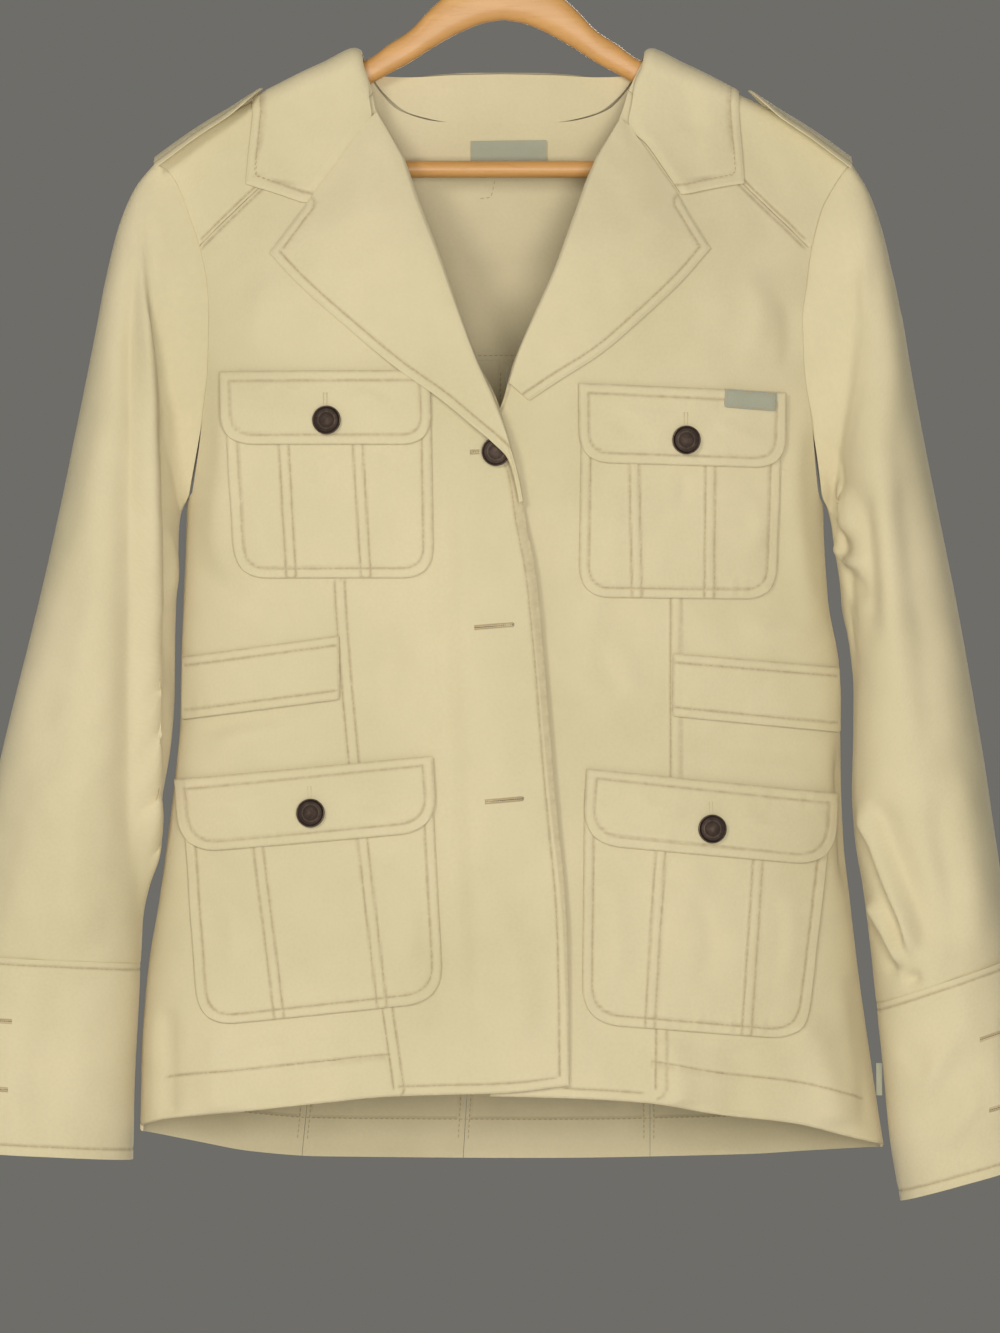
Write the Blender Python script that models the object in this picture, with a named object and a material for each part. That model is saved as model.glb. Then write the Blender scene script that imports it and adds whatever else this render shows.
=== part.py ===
"""Safari jacket hanging on a wooden hanger.

Lengths are in millimetres until a mesh is made, and then in metres. A place on the garment is given
by x (across, to the viewer's right), by its drop below the point where the hook rests, and by its
depth (the front is negative). The cloth is worked out as one body surface. Every panel is a patch of
that surface, and every pocket, flap, band and label is a patch moved out from it.
"""
import math
from collections import namedtuple

import bpy
import numpy as np

MM = 0.001
CLOTH = 1.2
PATCH_CLOTH = 1.0
SEAM = 0.3
HALF_SEAM = SEAM / 2
RIDGE_RADIUS = 7.5
RIDGE_FADE = 0.35
HANG_LENGTH = 140.0
FLATNESS = 0.85
NORMAL_STEP = 0.5
ANGLE_STEP = 0.002

POCKET_LIFT = 2.0
FLAP_LIFT = 3.6
FLAP_TOP = FLAP_LIFT + CLOTH
BAND_LIFT = 2.1
BUTTON_RADIUS = 8.9
BUTTON_HEIGHT = 3.6
BUTTON_GAP = 0.3
BUTTON_SIDES = 12
NECK_LABEL_GAP = 0.8

FRONT = -1
BACK = 1
LEFT = -1
RIGHT = 1

# Body outline and fullness by drop
BodyRow = namedtuple("BodyRow", "drop left right front back")
BODY = (
    BodyRow(120, -234.0, 236.0, 34, 22),
    BodyRow(193, -229.0, 231.0, 40, 25),
    BodyRow(245, -211.0, 214.0, 47, 29),
    BodyRow(290, -203.0, 207.0, 51, 32),
    BodyRow(346, -199.0, 203.0, 54, 34),
    BodyRow(406, -195.5, 198.0, 54, 34),
    BodyRow(465, -197.5, 201.0, 50, 31),
    BodyRow(508, -199.0, 208.0, 47, 30),
    BodyRow(539, -199.5, 208.5, 47, 30),
    BodyRow(577, -203.0, 209.0, 49, 32),
    BodyRow(614, -207.5, 210.5, 51, 34),
    BodyRow(651, -212.5, 214.5, 53, 35),
    BodyRow(694, -219.5, 219.5, 54, 36),
    BodyRow(744, -223.5, 226.5, 55, 38),
    BodyRow(794, -224.5, 234.0, 55, 39),
    BodyRow(830, -225.5, 240.0, 55, 39),
)

# Shoulder line over the hanger by distance from the middle
RidgeRow = namedtuple("RidgeRow", "out drop")
RIDGE = (
    RidgeRow(0, 126.5),
    RidgeRow(84, 127.2),
    RidgeRow(110, 136.0),
    RidgeRow(150, 153.2),
    RidgeRow(185, 171.0),
    RidgeRow(218, 193.8),
    RidgeRow(240, 212.0),
)

# Armhole seam by drop, the same on the front and the back
ArmholeRow = namedtuple("ArmholeRow", "drop left right")
ARMHOLE = (
    ArmholeRow(193.9, -217.0, 217.0),
    ArmholeRow(197, -209.5, 213.0),
    ArmholeRow(203, -204.5, 208.6),
    ArmholeRow(212, -200.0, 203.0),
    ArmholeRow(224, -195.3, 197.0),
    ArmholeRow(245, -188.3, 191.5),
    ArmholeRow(267, -183.3, 188.0),
    ArmholeRow(290, -181.8, 185.5),
    ArmholeRow(318, -182.3, 186.0),
    ArmholeRow(346, -185.0, 189.3),
    ArmholeRow(370, -187.8, 192.2),
    ArmholeRow(388, -190.2, 193.8),
    ArmholeRow(400, -192.3, 195.2),
    ArmholeRow(406, -195.5, 198.0),
)
ARMHOLE_DROPS = (193.9, 194.8, 195.9, 197.5, 203, 212, 226, 245.3, 268, 292, 318, 344, 368, 388, 400, 406)
YOKE_FRONT_DROP = 245.3
YOKE_BACK_DROP = 318.0
UNDERARM_DROP = 406.0

# Neck edge, lapel roll line and front edge by drop: left front on top, right front below
OpeningRow = namedtuple("OpeningRow", "drop left")
LEFT_OPENING = (
    OpeningRow(127, -88.6),
    OpeningRow(140, -84.0),
    OpeningRow(149, -81.2),
    OpeningRow(160, -78.6),
    OpeningRow(192, -60.8),
    OpeningRow(216, -52.9),
    OpeningRow(251, -39.0),
    OpeningRow(291, -25.2),
    OpeningRow(318, -15.3),
    OpeningRow(342, -3.5),
    OpeningRow(358, 1.2),
    OpeningRow(372, 3.7),
    OpeningRow(389, 9.9),
    OpeningRow(418, 14.3),
    OpeningRow(446, 19.8),
    OpeningRow(489, 24.2),
    OpeningRow(573, 31.0),
    OpeningRow(673, 39.3),
    OpeningRow(766, 41.0),
)
UnderRow = namedtuple("UnderRow", "drop right")
RIGHT_OPENING = (
    UnderRow(127, 88.6),
    UnderRow(140, 82.0),
    UnderRow(149, 78.0),
    UnderRow(166, 72.5),
    UnderRow(184, 61.8),
    UnderRow(202, 52.6),
    UnderRow(253, 35.0),
    UnderRow(290, 18.6),
    UnderRow(319, 6.2),
    UnderRow(345, -1.2),
    UnderRow(362, -12.0),
    UnderRow(380, -20.0),
    UnderRow(480, -20.0),
    UnderRow(589, -15.0),
    UnderRow(777, -8.0),
)

# How far the left front stands over the right front, by drop
OverlapRow = namedtuple("OverlapRow", "drop lift")
OVERLAP = (
    OverlapRow(315, 0.0),
    OverlapRow(338, 2.0),
    OverlapRow(385, 2.0),
    OverlapRow(430, 5.9),
    OverlapRow(640, 5.9),
    OverlapRow(780, 2.6),
)
OVERLAP_START = 18.0
OVERLAP_RUN = 16.0
OVERLAP_TOP_DROP = 380.0

# Hems by x
HemRow = namedtuple("HemRow", "x drop")
LEFT_HEM = (
    HemRow(-226, 791.5),
    HemRow(-208, 786.5),
    HemRow(-160, 781.5),
    HemRow(-114, 776.2),
    HemRow(-69, 771.8),
    HemRow(1, 769.5),
    HemRow(41, 765.0),
)
RIGHT_HEM = (
    HemRow(-10, 771.5),
    HemRow(40, 772.8),
    HemRow(88, 775.8),
    HemRow(133, 783.2),
    HemRow(179, 788.8),
    HemRow(210, 796.5),
    HemRow(236, 803.5),
)
BACK_HEM = (
    HemRow(-226, 795.0),
    HemRow(-191, 802.5),
    HemRow(-157, 809.0),
    HemRow(-114, 812.4),
    HemRow(20, 813.6),
    HemRow(148, 811.0),
    HemRow(194, 808.0),
    HemRow(236, 805.0),
)

# Back seams by drop
SeamRow = namedtuple("SeamRow", "drop left_side middle right_side")
BACK_SEAMS = (
    SeamRow(300, -104.0, 3.0, 108.0),
    SeamRow(420, -96.0, 0.0, 98.0),
    SeamRow(540, -100.0, -8.0, 92.0),
    SeamRow(815, -126.0, -25.0, 92.0),
)

# Front yoke seam and back neck line by x
YokeRow = namedtuple("YokeRow", "out drop")
FRONT_YOKE = (
    YokeRow(78, 148.5),
    YokeRow(118, 177.0),
    YokeRow(155, 212.5),
    YokeRow(190, 246.5),
)
BACK_NECK = (
    YokeRow(0, 169.5),
    YokeRow(40, 167.5),
    YokeRow(64, 161.0),
    YokeRow(79, 146.0),
    YokeRow(88.6, 127.6),
)
BACK_YOKE = (
    YokeRow(0, 314.5),
    YokeRow(110, 316.0),
    YokeRow(190, 318.0),
)

# Sleeve rings: edge points seen from the front, depth of the low and high front, and the back
SleeveRow = namedtuple("SleeveRow", "outer_x outer_drop inner_x inner_drop low high fold back")
LEFT_SLEEVE = (
    SleeveRow(-228.5, 208, -200.6, 412.5, 21, 6, 0.70, 24),
    SleeveRow(-238.5, 231, -201.4, 419, 22, 10, 0.70, 27),
    SleeveRow(-247.0, 265, -201.8, 430, 22, 15, 0.72, 29),
    SleeveRow(-254.2, 303, -202.0, 447, 22, 19, 0.74, 31),
    SleeveRow(-264.2, 353, -203.4, 470, 21, 22, 0.76, 32),
    SleeveRow(-274.4, 403, -204.0, 495, 20, 24, 0.78, 32),
    SleeveRow(-284.6, 449, -204.2, 522, 20, 25, 0.80, 32),
    SleeveRow(-295.0, 492, -206.0, 550, 20, 25, 0.84, 32),
    SleeveRow(-305.0, 532, -210.6, 580, 20, 25, 0.90, 32),
    SleeveRow(-314.3, 571, -217.2, 608, 21, 24, 0.97, 32),
    SleeveRow(-323.2, 610, -221.6, 635, 22, 23, 1.0, 32),
    SleeveRow(-332.0, 648, -223.8, 662, 23, 22, 1.0, 32),
    SleeveRow(-340.2, 684.0, -225.4, 690.0, 24, 20, 1.0, 32),
)
RIGHT_SLEEVE = (
    SleeveRow(227.5, 211, 203.0, 412.5, 21, 6, 0.80, 24),
    SleeveRow(236.2, 236, 204.4, 419, 22, 10, 0.80, 27),
    SleeveRow(242.6, 264, 205.6, 430, 22, 15, 0.82, 29),
    SleeveRow(249.0, 295, 208.4, 447, 22, 19, 0.86, 31),
    SleeveRow(256.2, 336, 211.5, 470, 21, 22, 0.90, 32),
    SleeveRow(264.8, 381, 215.6, 495, 20, 24, 0.94, 32),
    SleeveRow(273.8, 426, 218.0, 522, 20, 25, 0.98, 32),
    SleeveRow(282.8, 471, 217.8, 552, 20, 25, 1.0, 32),
    SleeveRow(291.2, 518, 217.0, 584, 20, 25, 1.0, 32),
    SleeveRow(298.8, 563, 219.0, 614, 21, 24, 1.0, 32),
    SleeveRow(305.6, 609, 224.0, 645, 22, 23, 1.0, 32),
    SleeveRow(311.8, 650, 228.4, 680, 23, 22, 1.0, 32),
    SleeveRow(317.8, 685.0, 232.2, 714.5, 24, 20, 1.0, 32),
)
SLEEVE_SHIFT = -4.0
UNDERARM_EASE_DROP = 330.0
UNDERARM_CLEARANCE = 3.4
SLEEVE_TURN_DROP = 352.0

# Cuff rings, from the cuff seam to the cuff's edge
CuffRow = namedtuple("CuffRow", "outer_x outer_drop inner_x inner_drop front back")
LEFT_CUFF = (
    CuffRow(-341.0, 684.7, -225.6, 690.7, 44, 32),
    CuffRow(-343.6, 722, -227.4, 728, 43, 33),
    CuffRow(-346.4, 764, -229.4, 770, 41, 34),
    CuffRow(-349.0, 806, -230.0, 812.5, 39, 35),
)
RIGHT_CUFF = (
    CuffRow(318.4, 685.9, 232.4, 715.6, 44, 32),
    CuffRow(325.0, 725, 236.6, 755, 43, 33),
    CuffRow(331.6, 769, 240.4, 797, 41, 34),
    CuffRow(338.4, 811.5, 247.0, 838, 39, 35),
)
CUFF_LAP_START = 78.0
CUFF_LAP_ANGLE = 56.0
CUFF_LAP_LIFT = 2.0
CUFF_LAP_EASE = 24.0
CUFF_SEGMENTS = 30
CUFF_FLATNESS = 0.9
CUFF_BUTTON_ANGLE = 46.0
CUFF_BUTTON_SHARES = (0.35, 0.69)
CUFF_BUTTON_GAP = 0.9

# Lapels: points on the roll line and on the outer edge, with the edge's lift
LapelRow = namedtuple("LapelRow", "roll_x roll_drop edge_x edge_drop roll_lift edge_lift")
LEFT_LAPEL = (
    LapelRow(-78.0, 163.0, -82.5, 167.2, 4.0, 3.2),
    LapelRow(-70.0, 176.2, -98.8, 190.2, 5.5, 2.6),
    LapelRow(-61.2, 191.5, -121.4, 221.2, 6.2, 2.4),
    LapelRow(-52.9, 216.0, -143.8, 251.0, 6.5, 2.4),
    LapelRow(-45.6, 235.0, -127.5, 268.5, 6.5, 2.4),
    LapelRow(-35.9, 260.0, -98.5, 294.5, 6.5, 2.4),
    LapelRow(-25.2, 291.0, -65.0, 322.5, 6.5, 5.2),
    LapelRow(-15.3, 318.0, -37.5, 342.0, 7.5, 6.6),
    LapelRow(-5.5, 338.0, -19.0, 356.6, 9.0, 9.0),
    LapelRow(0.6, 356.0, -5.5, 370.0, 9.4, 9.4),
)
RIGHT_LAPEL = (
    LapelRow(72.6, 167.0, 77.2, 171.2, 4.0, 3.2),
    LapelRow(66.0, 177.6, 90.0, 190.0, 5.5, 2.6),
    LapelRow(57.6, 192.0, 110.4, 219.6, 6.2, 2.4),
    LapelRow(49.6, 212.0, 127.6, 248.0, 6.5, 2.4),
    LapelRow(41.3, 235.0, 113.0, 265.0, 6.5, 2.4),
    LapelRow(32.0, 260.0, 88.0, 289.0, 6.2, 2.4),
    LapelRow(18.6, 290.0, 59.0, 314.0, 5.5, 2.2),
    LapelRow(9.0, 313.0, 34.0, 330.0, 4.4, 2.2),
    LapelRow(3.4, 331.0, 16.0, 342.0, 3.2, 2.0),
)
LAPEL_SHARES = (0.0, 0.0, 0.03, 0.12, 0.3, 0.55, 0.8, 1.0)
LAPEL_RISE = (0.0, 0.45, 0.85, 1.0, 0.9, 0.55, 0.2, 0.0)
LAPEL_START_LIFT = 2.0

# Collar leaf: points on the roll (or gorge seam) and on the outer edge, by arc from the shoulder line
CollarRow = namedtuple("CollarRow", "roll_out roll_arc edge_out edge_arc roll_lift edge_lift")
LEFT_COLLAR = (
    CollarRow(122.4, -83.6, 159.3, -54.0, 2.8, 2.4),
    CollarRow(99.6, -61.0, 158.0, -37.4, 3.2, 2.4),
    CollarRow(83.2, -42.0, 156.6, -24.0, 3.9, 2.4),
    CollarRow(83.4, -21.0, 155.4, -12.0, 6.0, 2.4),
    CollarRow(86.6, -9.0, 154.8, -5.0, 6.4, 2.4),
    CollarRow(87.2, 0.0, 154.2, 2.0, 6.4, 2.4),
    CollarRow(85.6, 9.0, 152.6, 11.0, 7.0, 2.4),
    CollarRow(79.0, 15.5, 149.0, 26.0, 8.0, 2.4),
    CollarRow(60.0, 16.5, 128.0, 58.0, 9.0, 2.2),
    CollarRow(40.0, 15.0, 86.0, 82.0, 9.5, 2.2),
    CollarRow(20.0, 14.0, 43.0, 89.0, 9.8, 2.2),
    CollarRow(0.0, 14.0, 0.0, 91.0, 10.0, 2.2),
)
RIGHT_COLLAR = (
    CollarRow(111.6, -82.6, 149.2, -58.6, 2.8, 2.4),
    CollarRow(92.0, -61.6, 148.2, -41.0, 3.2, 2.4),
    CollarRow(79.4, -46.6, 147.0, -26.0, 3.9, 2.4),
    CollarRow(81.8, -22.0, 146.2, -13.0, 6.0, 2.4),
    CollarRow(86.6, -9.0, 145.6, -5.0, 6.4, 2.4),
    CollarRow(87.6, 0.0, 145.2, 2.0, 6.4, 2.4),
    CollarRow(85.6, 9.0, 144.4, 11.0, 7.0, 2.4),
    CollarRow(79.0, 15.5, 141.0, 27.0, 8.0, 2.4),
    CollarRow(60.0, 16.5, 122.0, 60.0, 9.0, 2.2),
    CollarRow(40.0, 15.0, 84.0, 82.0, 9.5, 2.2),
    CollarRow(20.0, 14.0, 42.0, 89.0, 9.8, 2.2),
    CollarRow(0.0, 14.0, 0.0, 91.0, 10.0, 2.2),
)
COLLAR_SHARES = (0.0, 0.03, 0.08, 0.25, 0.5, 0.75, 1.0)
COLLAR_STEPS = 2
COLLAR_FOLD_START = 2.0
COLLAR_FOLD_RUN = 1.5

# Rows and columns of the panels' points
SHOULDER_END = 217.0
NECK_POINT = 88.6
NECK_SEAM_DROP = {LEFT: 149.5, RIGHT: 150.2}
FRONT_CORNER_DROP = {LEFT: 764.6, RIGHT: 771.6}
YOKE_SEAM_END = 188.3
FRONT_SHARES = np.array((0, 0.09, 0.18, 0.27, 0.36, 0.46, 0.56, 0.64, 0.71,
                         0.755, 0.80, 0.845, 0.89, 0.945, 1))
FRONT_LOW_ROWS = 14
YOKE_GAP_END = 112.0
YOKE_GAP_RUN = 24.0
FRONT_YOKE_COLUMNS = 10
ROUND_ARCS = (0.0, 4.0, 8.0, 12.0)
NECK_STEPS = 60
BACK_SHOULDER_COLUMNS = 9
BACK_YOKE_END = 182.0
BACK_SIDE_COLUMNS = 7
BACK_MIDDLE_COLUMNS = 5
BACK_LOW_ROWS = 12
BACK_SIDE_DROP = 795.0
BACK_SEAM_GAP = 0.00075

# Stand of the collar, inside the neck, by distance from the middle of the back
StandRow = namedtuple("StandRow", "out seam_arc roll_arc roll_lift")
STAND = (
    StandRow(0.0, 46.4, 15.0, 5.4),
    StandRow(30.0, 45.0, 15.4, 5.2),
    StandRow(58.0, 39.0, 16.6, 4.8),
    StandRow(74.0, 26.6, 16.0, 4.2),
    StandRow(82.6, 14.6, 11.0, 3.2),
)

# Patches on the fronts: corners seen from the front
ROUND_STEPS = 4
EDGE_SAMPLES = 80
MEAN_GIRTH = 205.0


class Flap:
    """Outline of a patch with a straight top, slanting sides and rounded lower corners."""

    def __init__(self, top_left, top_right, low_right, low_left, radius):
        self.top_left = np.array(top_left, dtype=float)
        self.top_right = np.array(top_right, dtype=float)
        self.low_right = np.array(low_right, dtype=float)
        self.low_left = np.array(low_left, dtype=float)
        self.radius = radius

    def sides(self, across, down):
        """Return the top, bottom, left and right edges as arrays of (x, drop)."""
        left_bend = round_corner(self.top_left, self.low_left, self.low_right, self.radius)
        right_bend = round_corner(self.low_left, self.low_right, self.top_right, self.radius)
        middle = len(left_bend) // 2
        top = np.array([self.top_left, self.top_right])
        left = np.vstack([self.top_left, left_bend[:middle + 1]])
        bottom = np.vstack([left_bend[middle:], right_bend[:middle + 1]])
        right = np.vstack([right_bend[middle:], self.top_right])[::-1]
        return [on_girth(edge, count) for edge, count in
                ((top, across), (bottom, across), (left, down), (right, down))]


def on_girth(edge, count):
    """Return an edge seen from the front as points (angle, drop), evenly spaced round the body."""
    places = as_angles(along(edge, EDGE_SAMPLES)) * [MEAN_GIRTH, 1]
    return along(places, count) / [MEAN_GIRTH, 1]


def round_corner(before, corner, after, radius):
    """Return points of a curve that rounds a corner, tangent to both edges at the radius."""
    start = corner + (before - corner) * radius / np.linalg.norm(before - corner)
    end = corner + (after - corner) * radius / np.linalg.norm(after - corner)
    share = np.linspace(0, 1, 2 * ROUND_STEPS + 1)[:, None]
    return (1 - share) ** 2 * start + 2 * share * (1 - share) * corner + share ** 2 * end


CHEST_FLAPS = {
    LEFT: Flap((-173.6, 323.6), (-45.3, 323.6), (-43.8, 369.2), (-171.5, 368.8), 19),
    RIGHT: Flap((46.5, 331.5), (174.0, 336.6), (172.8, 383.4), (47.0, 380.2), 19),
}
CHEST_POCKETS = {
    LEFT: Flap((-170.5, 334.0), (-44.6, 334.0), (-42.6, 451.2), (-165.0, 451.4), 20),
    RIGHT: Flap((48.4, 342.5), (171.6, 347.0), (168.4, 464.6), (46.6, 463.2), 20),
}
LOW_FLAPS = {
    LEFT: Flap((-200.8, 576.6), (-43.4, 561.8), (-40.4, 608.2), (-197.8, 622.4), 24),
    RIGHT: Flap((51.5, 569.6), (205.6, 585.0), (202.8, 630.4), (48.8, 616.0), 24),
}
LOW_POCKETS = {
    LEFT: Flap((-197.5, 588.6), (-44.0, 574.2), (-36.8, 713.2), (-188.2, 729.4), 24),
    RIGHT: Flap((50.2, 582.0), (203.2, 597.2), (187.4, 737.6), (48.6, 726.4), 24),
}
BANDS = {
    LEFT: Flap((-197.0, 500.2), (-101.0, 487.0), (-100.6, 526.6), (-197.2, 539.2), 2),
    RIGHT: Flap((104.8, 497.9), (206.6, 506.6), (207.4, 547.2), (104.4, 537.0), 2),
}
CHEST_LABEL = Flap((136.2, 334.8), (167.6, 337.0), (166.9, 348.2), (135.5, 346.0), 1.5)
NECK_LABEL = Flap((-20.0, 178.6), (27.0, 178.0), (27.0, 200.4), (-20.0, 201.0), 1.5)
SIDE_LABEL_TOP = 753.0
SIDE_LABEL_LOW = 773.0
SIDE_LABEL_WIDTH = 3.6

ButtonPlace = namedtuple("ButtonPlace", "name x drop lift")
FRONT_BUTTONS = (
    ButtonPlace("button_chest_left", -107.9, 353.9, FLAP_TOP),
    ButtonPlace("button_chest_right", 112.2, 366.2, FLAP_TOP),
    ButtonPlace("button_pocket_left", -117.8, 597.2, FLAP_TOP),
    ButtonPlace("button_pocket_right", 128.3, 606.9, FLAP_TOP),
    ButtonPlace("button_front_top", -4.3, 373.6, 3.8),
    ButtonPlace("button_front_middle", -5.0, 480.5, CLOTH),
    ButtonPlace("button_front_low", 1.2, 589.0, CLOTH),
)

# Shoulder straps by distance from the middle
EpauletteRow = namedtuple("EpauletteRow", "out half_width lift droop")
EPAULETTE = (
    EpauletteRow(216.0, 20.0, 2.2, 7.0),
    EpauletteRow(207.0, 20.5, 2.2, 7.0),
    EpauletteRow(196.0, 20.5, 2.3, 6.5),
    EpauletteRow(184.0, 20.0, 2.6, 6.0),
    EpauletteRow(172.0, 19.0, 3.2, 5.0),
    EpauletteRow(162.0, 17.5, 4.8, 3.0),
    EpauletteRow(155.5, 10.0, 5.8, 1.2),
    EpauletteRow(151.5, 2.0, 6.2, 0.1),
)
EPAULETTE_TIP_SHIFT = {LEFT: -2.0, RIGHT: 1.0}
EPAULETTE_TIP_START = 190.0
EPAULETTE_TIP_RUN = 30.0
EPAULETTE_COLUMNS = 9

# Hanger wood by distance from the middle
WoodRow = namedtuple("WoodRow", "out top bottom thickness")
WOOD = (
    WoodRow(0, 76.0, 104.0, 13.0),
    WoodRow(12, 77.5, 106.0, 13.0),
    WoodRow(26, 82.0, 111.5, 13.0),
    WoodRow(44, 96.0, 121.5, 12.8),
    WoodRow(58, 110.5, 130.5, 12.6),
    WoodRow(72, 119.8, 138.0, 12.4),
    WoodRow(84, 128.4, 144.5, 12.4),
    WoodRow(110, 137.4, 156.0, 12.2),
    WoodRow(150, 154.8, 177.0, 11.8),
    WoodRow(170, 164.4, 187.2, 11.4),
    WoodRow(174, 166.6, 189.6, 11.4),
    WoodRow(175, 167.2, 204.0, 11.4),
    WoodRow(185, 172.8, 205.4, 11.0),
    WoodRow(196, 180.6, 203.4, 10.0),
    WoodRow(200, 186.4, 198.4, 8.0),
)
WOOD_SIDES = 10
BAR_HALF_LENGTH = 173.6
BAR_RADIUS = 5.25
BAR_DROP = 196.8
BAR_SIDES = 14
WIRE_RADIUS = 2.0
WIRE_SIDES = 10
HOOK_RADIUS = 22.0
HOOK_CENTRE_DROP = 20.0
HOOK_STEM_DROP = 75.6
HOOK_NECK_DROP = 56.0

KHAKI = (0.66, 0.58, 0.36, 1.0)
LABEL = (0.60, 0.63, 0.56, 1.0)
BRONZE = (0.10, 0.07, 0.05, 1.0)
BEECH = (0.72, 0.42, 0.18, 1.0)
STEEL = (0.70, 0.70, 0.70, 1.0)


def smooth(knots, values, at):
    """Return values along a monotone cubic through the knots, held flat past both ends."""
    knots = np.asarray(knots, dtype=float)
    values = np.asarray(values, dtype=float)
    at = np.clip(np.asarray(at, dtype=float), knots[0], knots[-1])
    steps = np.diff(knots).reshape((-1,) + (1,) * (values.ndim - 1))
    slopes = np.diff(values, axis=0) / steps
    before = slopes[:-1]
    after = slopes[1:]
    total = np.where(before + after == 0, 1.0, before + after)
    inner = np.where(before * after > 0, 2 * before * after / total, 0.0)
    tangents = np.concatenate([slopes[:1], inner, slopes[-1:]])
    index = np.clip(np.searchsorted(knots, at, side="right") - 1, 0, len(knots) - 2)
    share = (at - knots[index]) / (knots[index + 1] - knots[index])
    share = share.reshape(share.shape + (1,) * (values.ndim - 1))
    width = steps[index]
    if values.ndim == 1:
        width = width.reshape(share.shape)
    return ((1 + 2 * share) * (1 - share) ** 2 * values[index]
            + share * (1 - share) ** 2 * width * tangents[index]
            + share ** 2 * (3 - 2 * share) * values[index + 1]
            + share ** 2 * (share - 1) * width * tangents[index + 1])


def column(table, name, at, by="drop"):
    """Return a named column of a table at any value of its key column."""
    knots = [getattr(row, by) for row in table]
    values = [getattr(row, name) for row in table]
    return smooth(knots, values, at)


def ease(share):
    """Return a smooth step from 0 to 1."""
    share = np.clip(share, 0, 1)
    return share * share * (3 - 2 * share)


def ridge(x):
    """Return the drop of the shoulder line."""
    return column(RIDGE, "drop", np.abs(x), by="out")


def depth(x, drop, side):
    """Return how far the cloth stands in front of or behind the hanger's plane.

    Over the hanger it is a quarter round. Below that it eases out to an oval as full as the body
    table says, flat in the middle and closing at the side edges.
    """
    left = column(BODY, "left", drop)
    right = column(BODY, "right", drop)
    full = column(BODY, "front" if side == FRONT else "back", drop)
    share = np.clip(np.abs(x - (left + right) / 2) / ((right - left) / 2), 0, 1)
    oval = (1 - share ** 2) ** (FLATNESS / 2)
    near = RIDGE_RADIUS * (1 - (1 - np.clip(oval / RIDGE_FADE, 0, 1)) ** 2)
    below = np.maximum(drop - ridge(x), 0)
    bend = np.sqrt(np.maximum(1 - (1 - np.clip(below / RIDGE_RADIUS, 0, 1)) ** 2, 0))
    return near * bend + np.maximum(full * oval - near, 0) * ease(below / HANG_LENGTH)


def overlap_lift(x, drop):
    """Return how far the left front is raised where it lies over the right front."""
    start = column(RIGHT_OPENING, "right", np.maximum(drop, OVERLAP_TOP_DROP)) - OVERLAP_START
    return column(OVERLAP, "lift", drop) * ease((x - start) / OVERLAP_RUN)


def on_body(angle, drop, side):
    """Return points at an angle round the body: 0 in the middle, 90 degrees at the side edges."""
    left = column(BODY, "left", drop)
    right = column(BODY, "right", drop)
    x = (left + right) / 2 + (right - left) / 2 * np.sin(angle)
    y = side * (depth(x, drop, side) + HALF_SEAM)
    return np.stack([x, y, -drop], axis=-1)


def to_angle(x, drop):
    """Return the angle round the body of a place seen from the front."""
    left = column(BODY, "left", drop)
    right = column(BODY, "right", drop)
    share = (x - (left + right) / 2) / ((right - left) / 2)
    return np.arcsin(np.clip(share, -1, 1))


def over_shoulder(x, arc):
    """Return points at a distance along the cloth from the shoulder line, negative in front."""
    turn = np.minimum(np.abs(arc) / RIDGE_RADIUS, math.pi / 2)
    below = RIDGE_RADIUS * (1 - np.cos(turn)) + np.abs(arc) - turn * RIDGE_RADIUS
    drop = ridge(x) + below
    y = np.where(arc < 0, -depth(x, drop, FRONT) - HALF_SEAM, depth(x, drop, BACK) + HALF_SEAM)
    return np.stack([x, y, -drop], axis=-1)


def to_arc(x, drop, side):
    """Return the distance along the cloth from the shoulder line down to a drop."""
    below = np.maximum(drop - ridge(x), 0)
    turn = np.arccos(np.clip(1 - below / RIDGE_RADIUS, 0, 1))
    return side * (RIDGE_RADIUS * turn + np.maximum(below - RIDGE_RADIUS, 0))


def outward(surface, first, second, steps, side):
    """Return unit normals of a surface from its slopes, pointing away from the body."""
    slope_first = surface(first + steps[0], second) - surface(first - steps[0], second)
    slope_second = surface(first, second + steps[1]) - surface(first, second - steps[1])
    normal = np.cross(slope_first, slope_second)
    normal /= np.maximum(np.linalg.norm(normal, axis=-1, keepdims=True), 1e-9)
    return normal * side


def body_sheet(edges, side, lift=0.0, over=False):
    """Return the points of a body patch, given its edges in (angle, drop), and its normals."""
    angle, drop = edges[..., 0], edges[..., 1]

    def surface(angles, drops):
        return on_body(np.clip(angles, -math.pi / 2, math.pi / 2), drops, side)

    points = surface(angle, drop)
    normals = outward(surface, angle, drop, (ANGLE_STEP, NORMAL_STEP), side)
    raised = np.broadcast_to(np.asarray(lift, dtype=float), drop.shape)
    if over:
        raised = raised + overlap_lift(points[..., 0], drop)
    return points + normals * raised[..., None], normals


def shoulder_sheet(edges, lift=0.0):
    """Return the points of a shoulder patch, given its edges in (x, arc), and its normals."""
    x, arc = edges[..., 0], edges[..., 1]
    points = over_shoulder(x, arc)
    normals = outward(over_shoulder, x, arc, (NORMAL_STEP, NORMAL_STEP), 1)
    raised = np.broadcast_to(np.asarray(lift, dtype=float), arc.shape)
    return points + normals * raised[..., None], normals


def along(points, count):
    """Return evenly spaced points along a line through the given points."""
    reach = np.concatenate([[0], np.cumsum(np.linalg.norm(np.diff(points, axis=0), axis=1))])
    at = np.linspace(0, reach[-1], count)
    return np.stack([np.interp(at, reach, points[:, axis]) for axis in range(points.shape[1])], axis=1)


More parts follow.
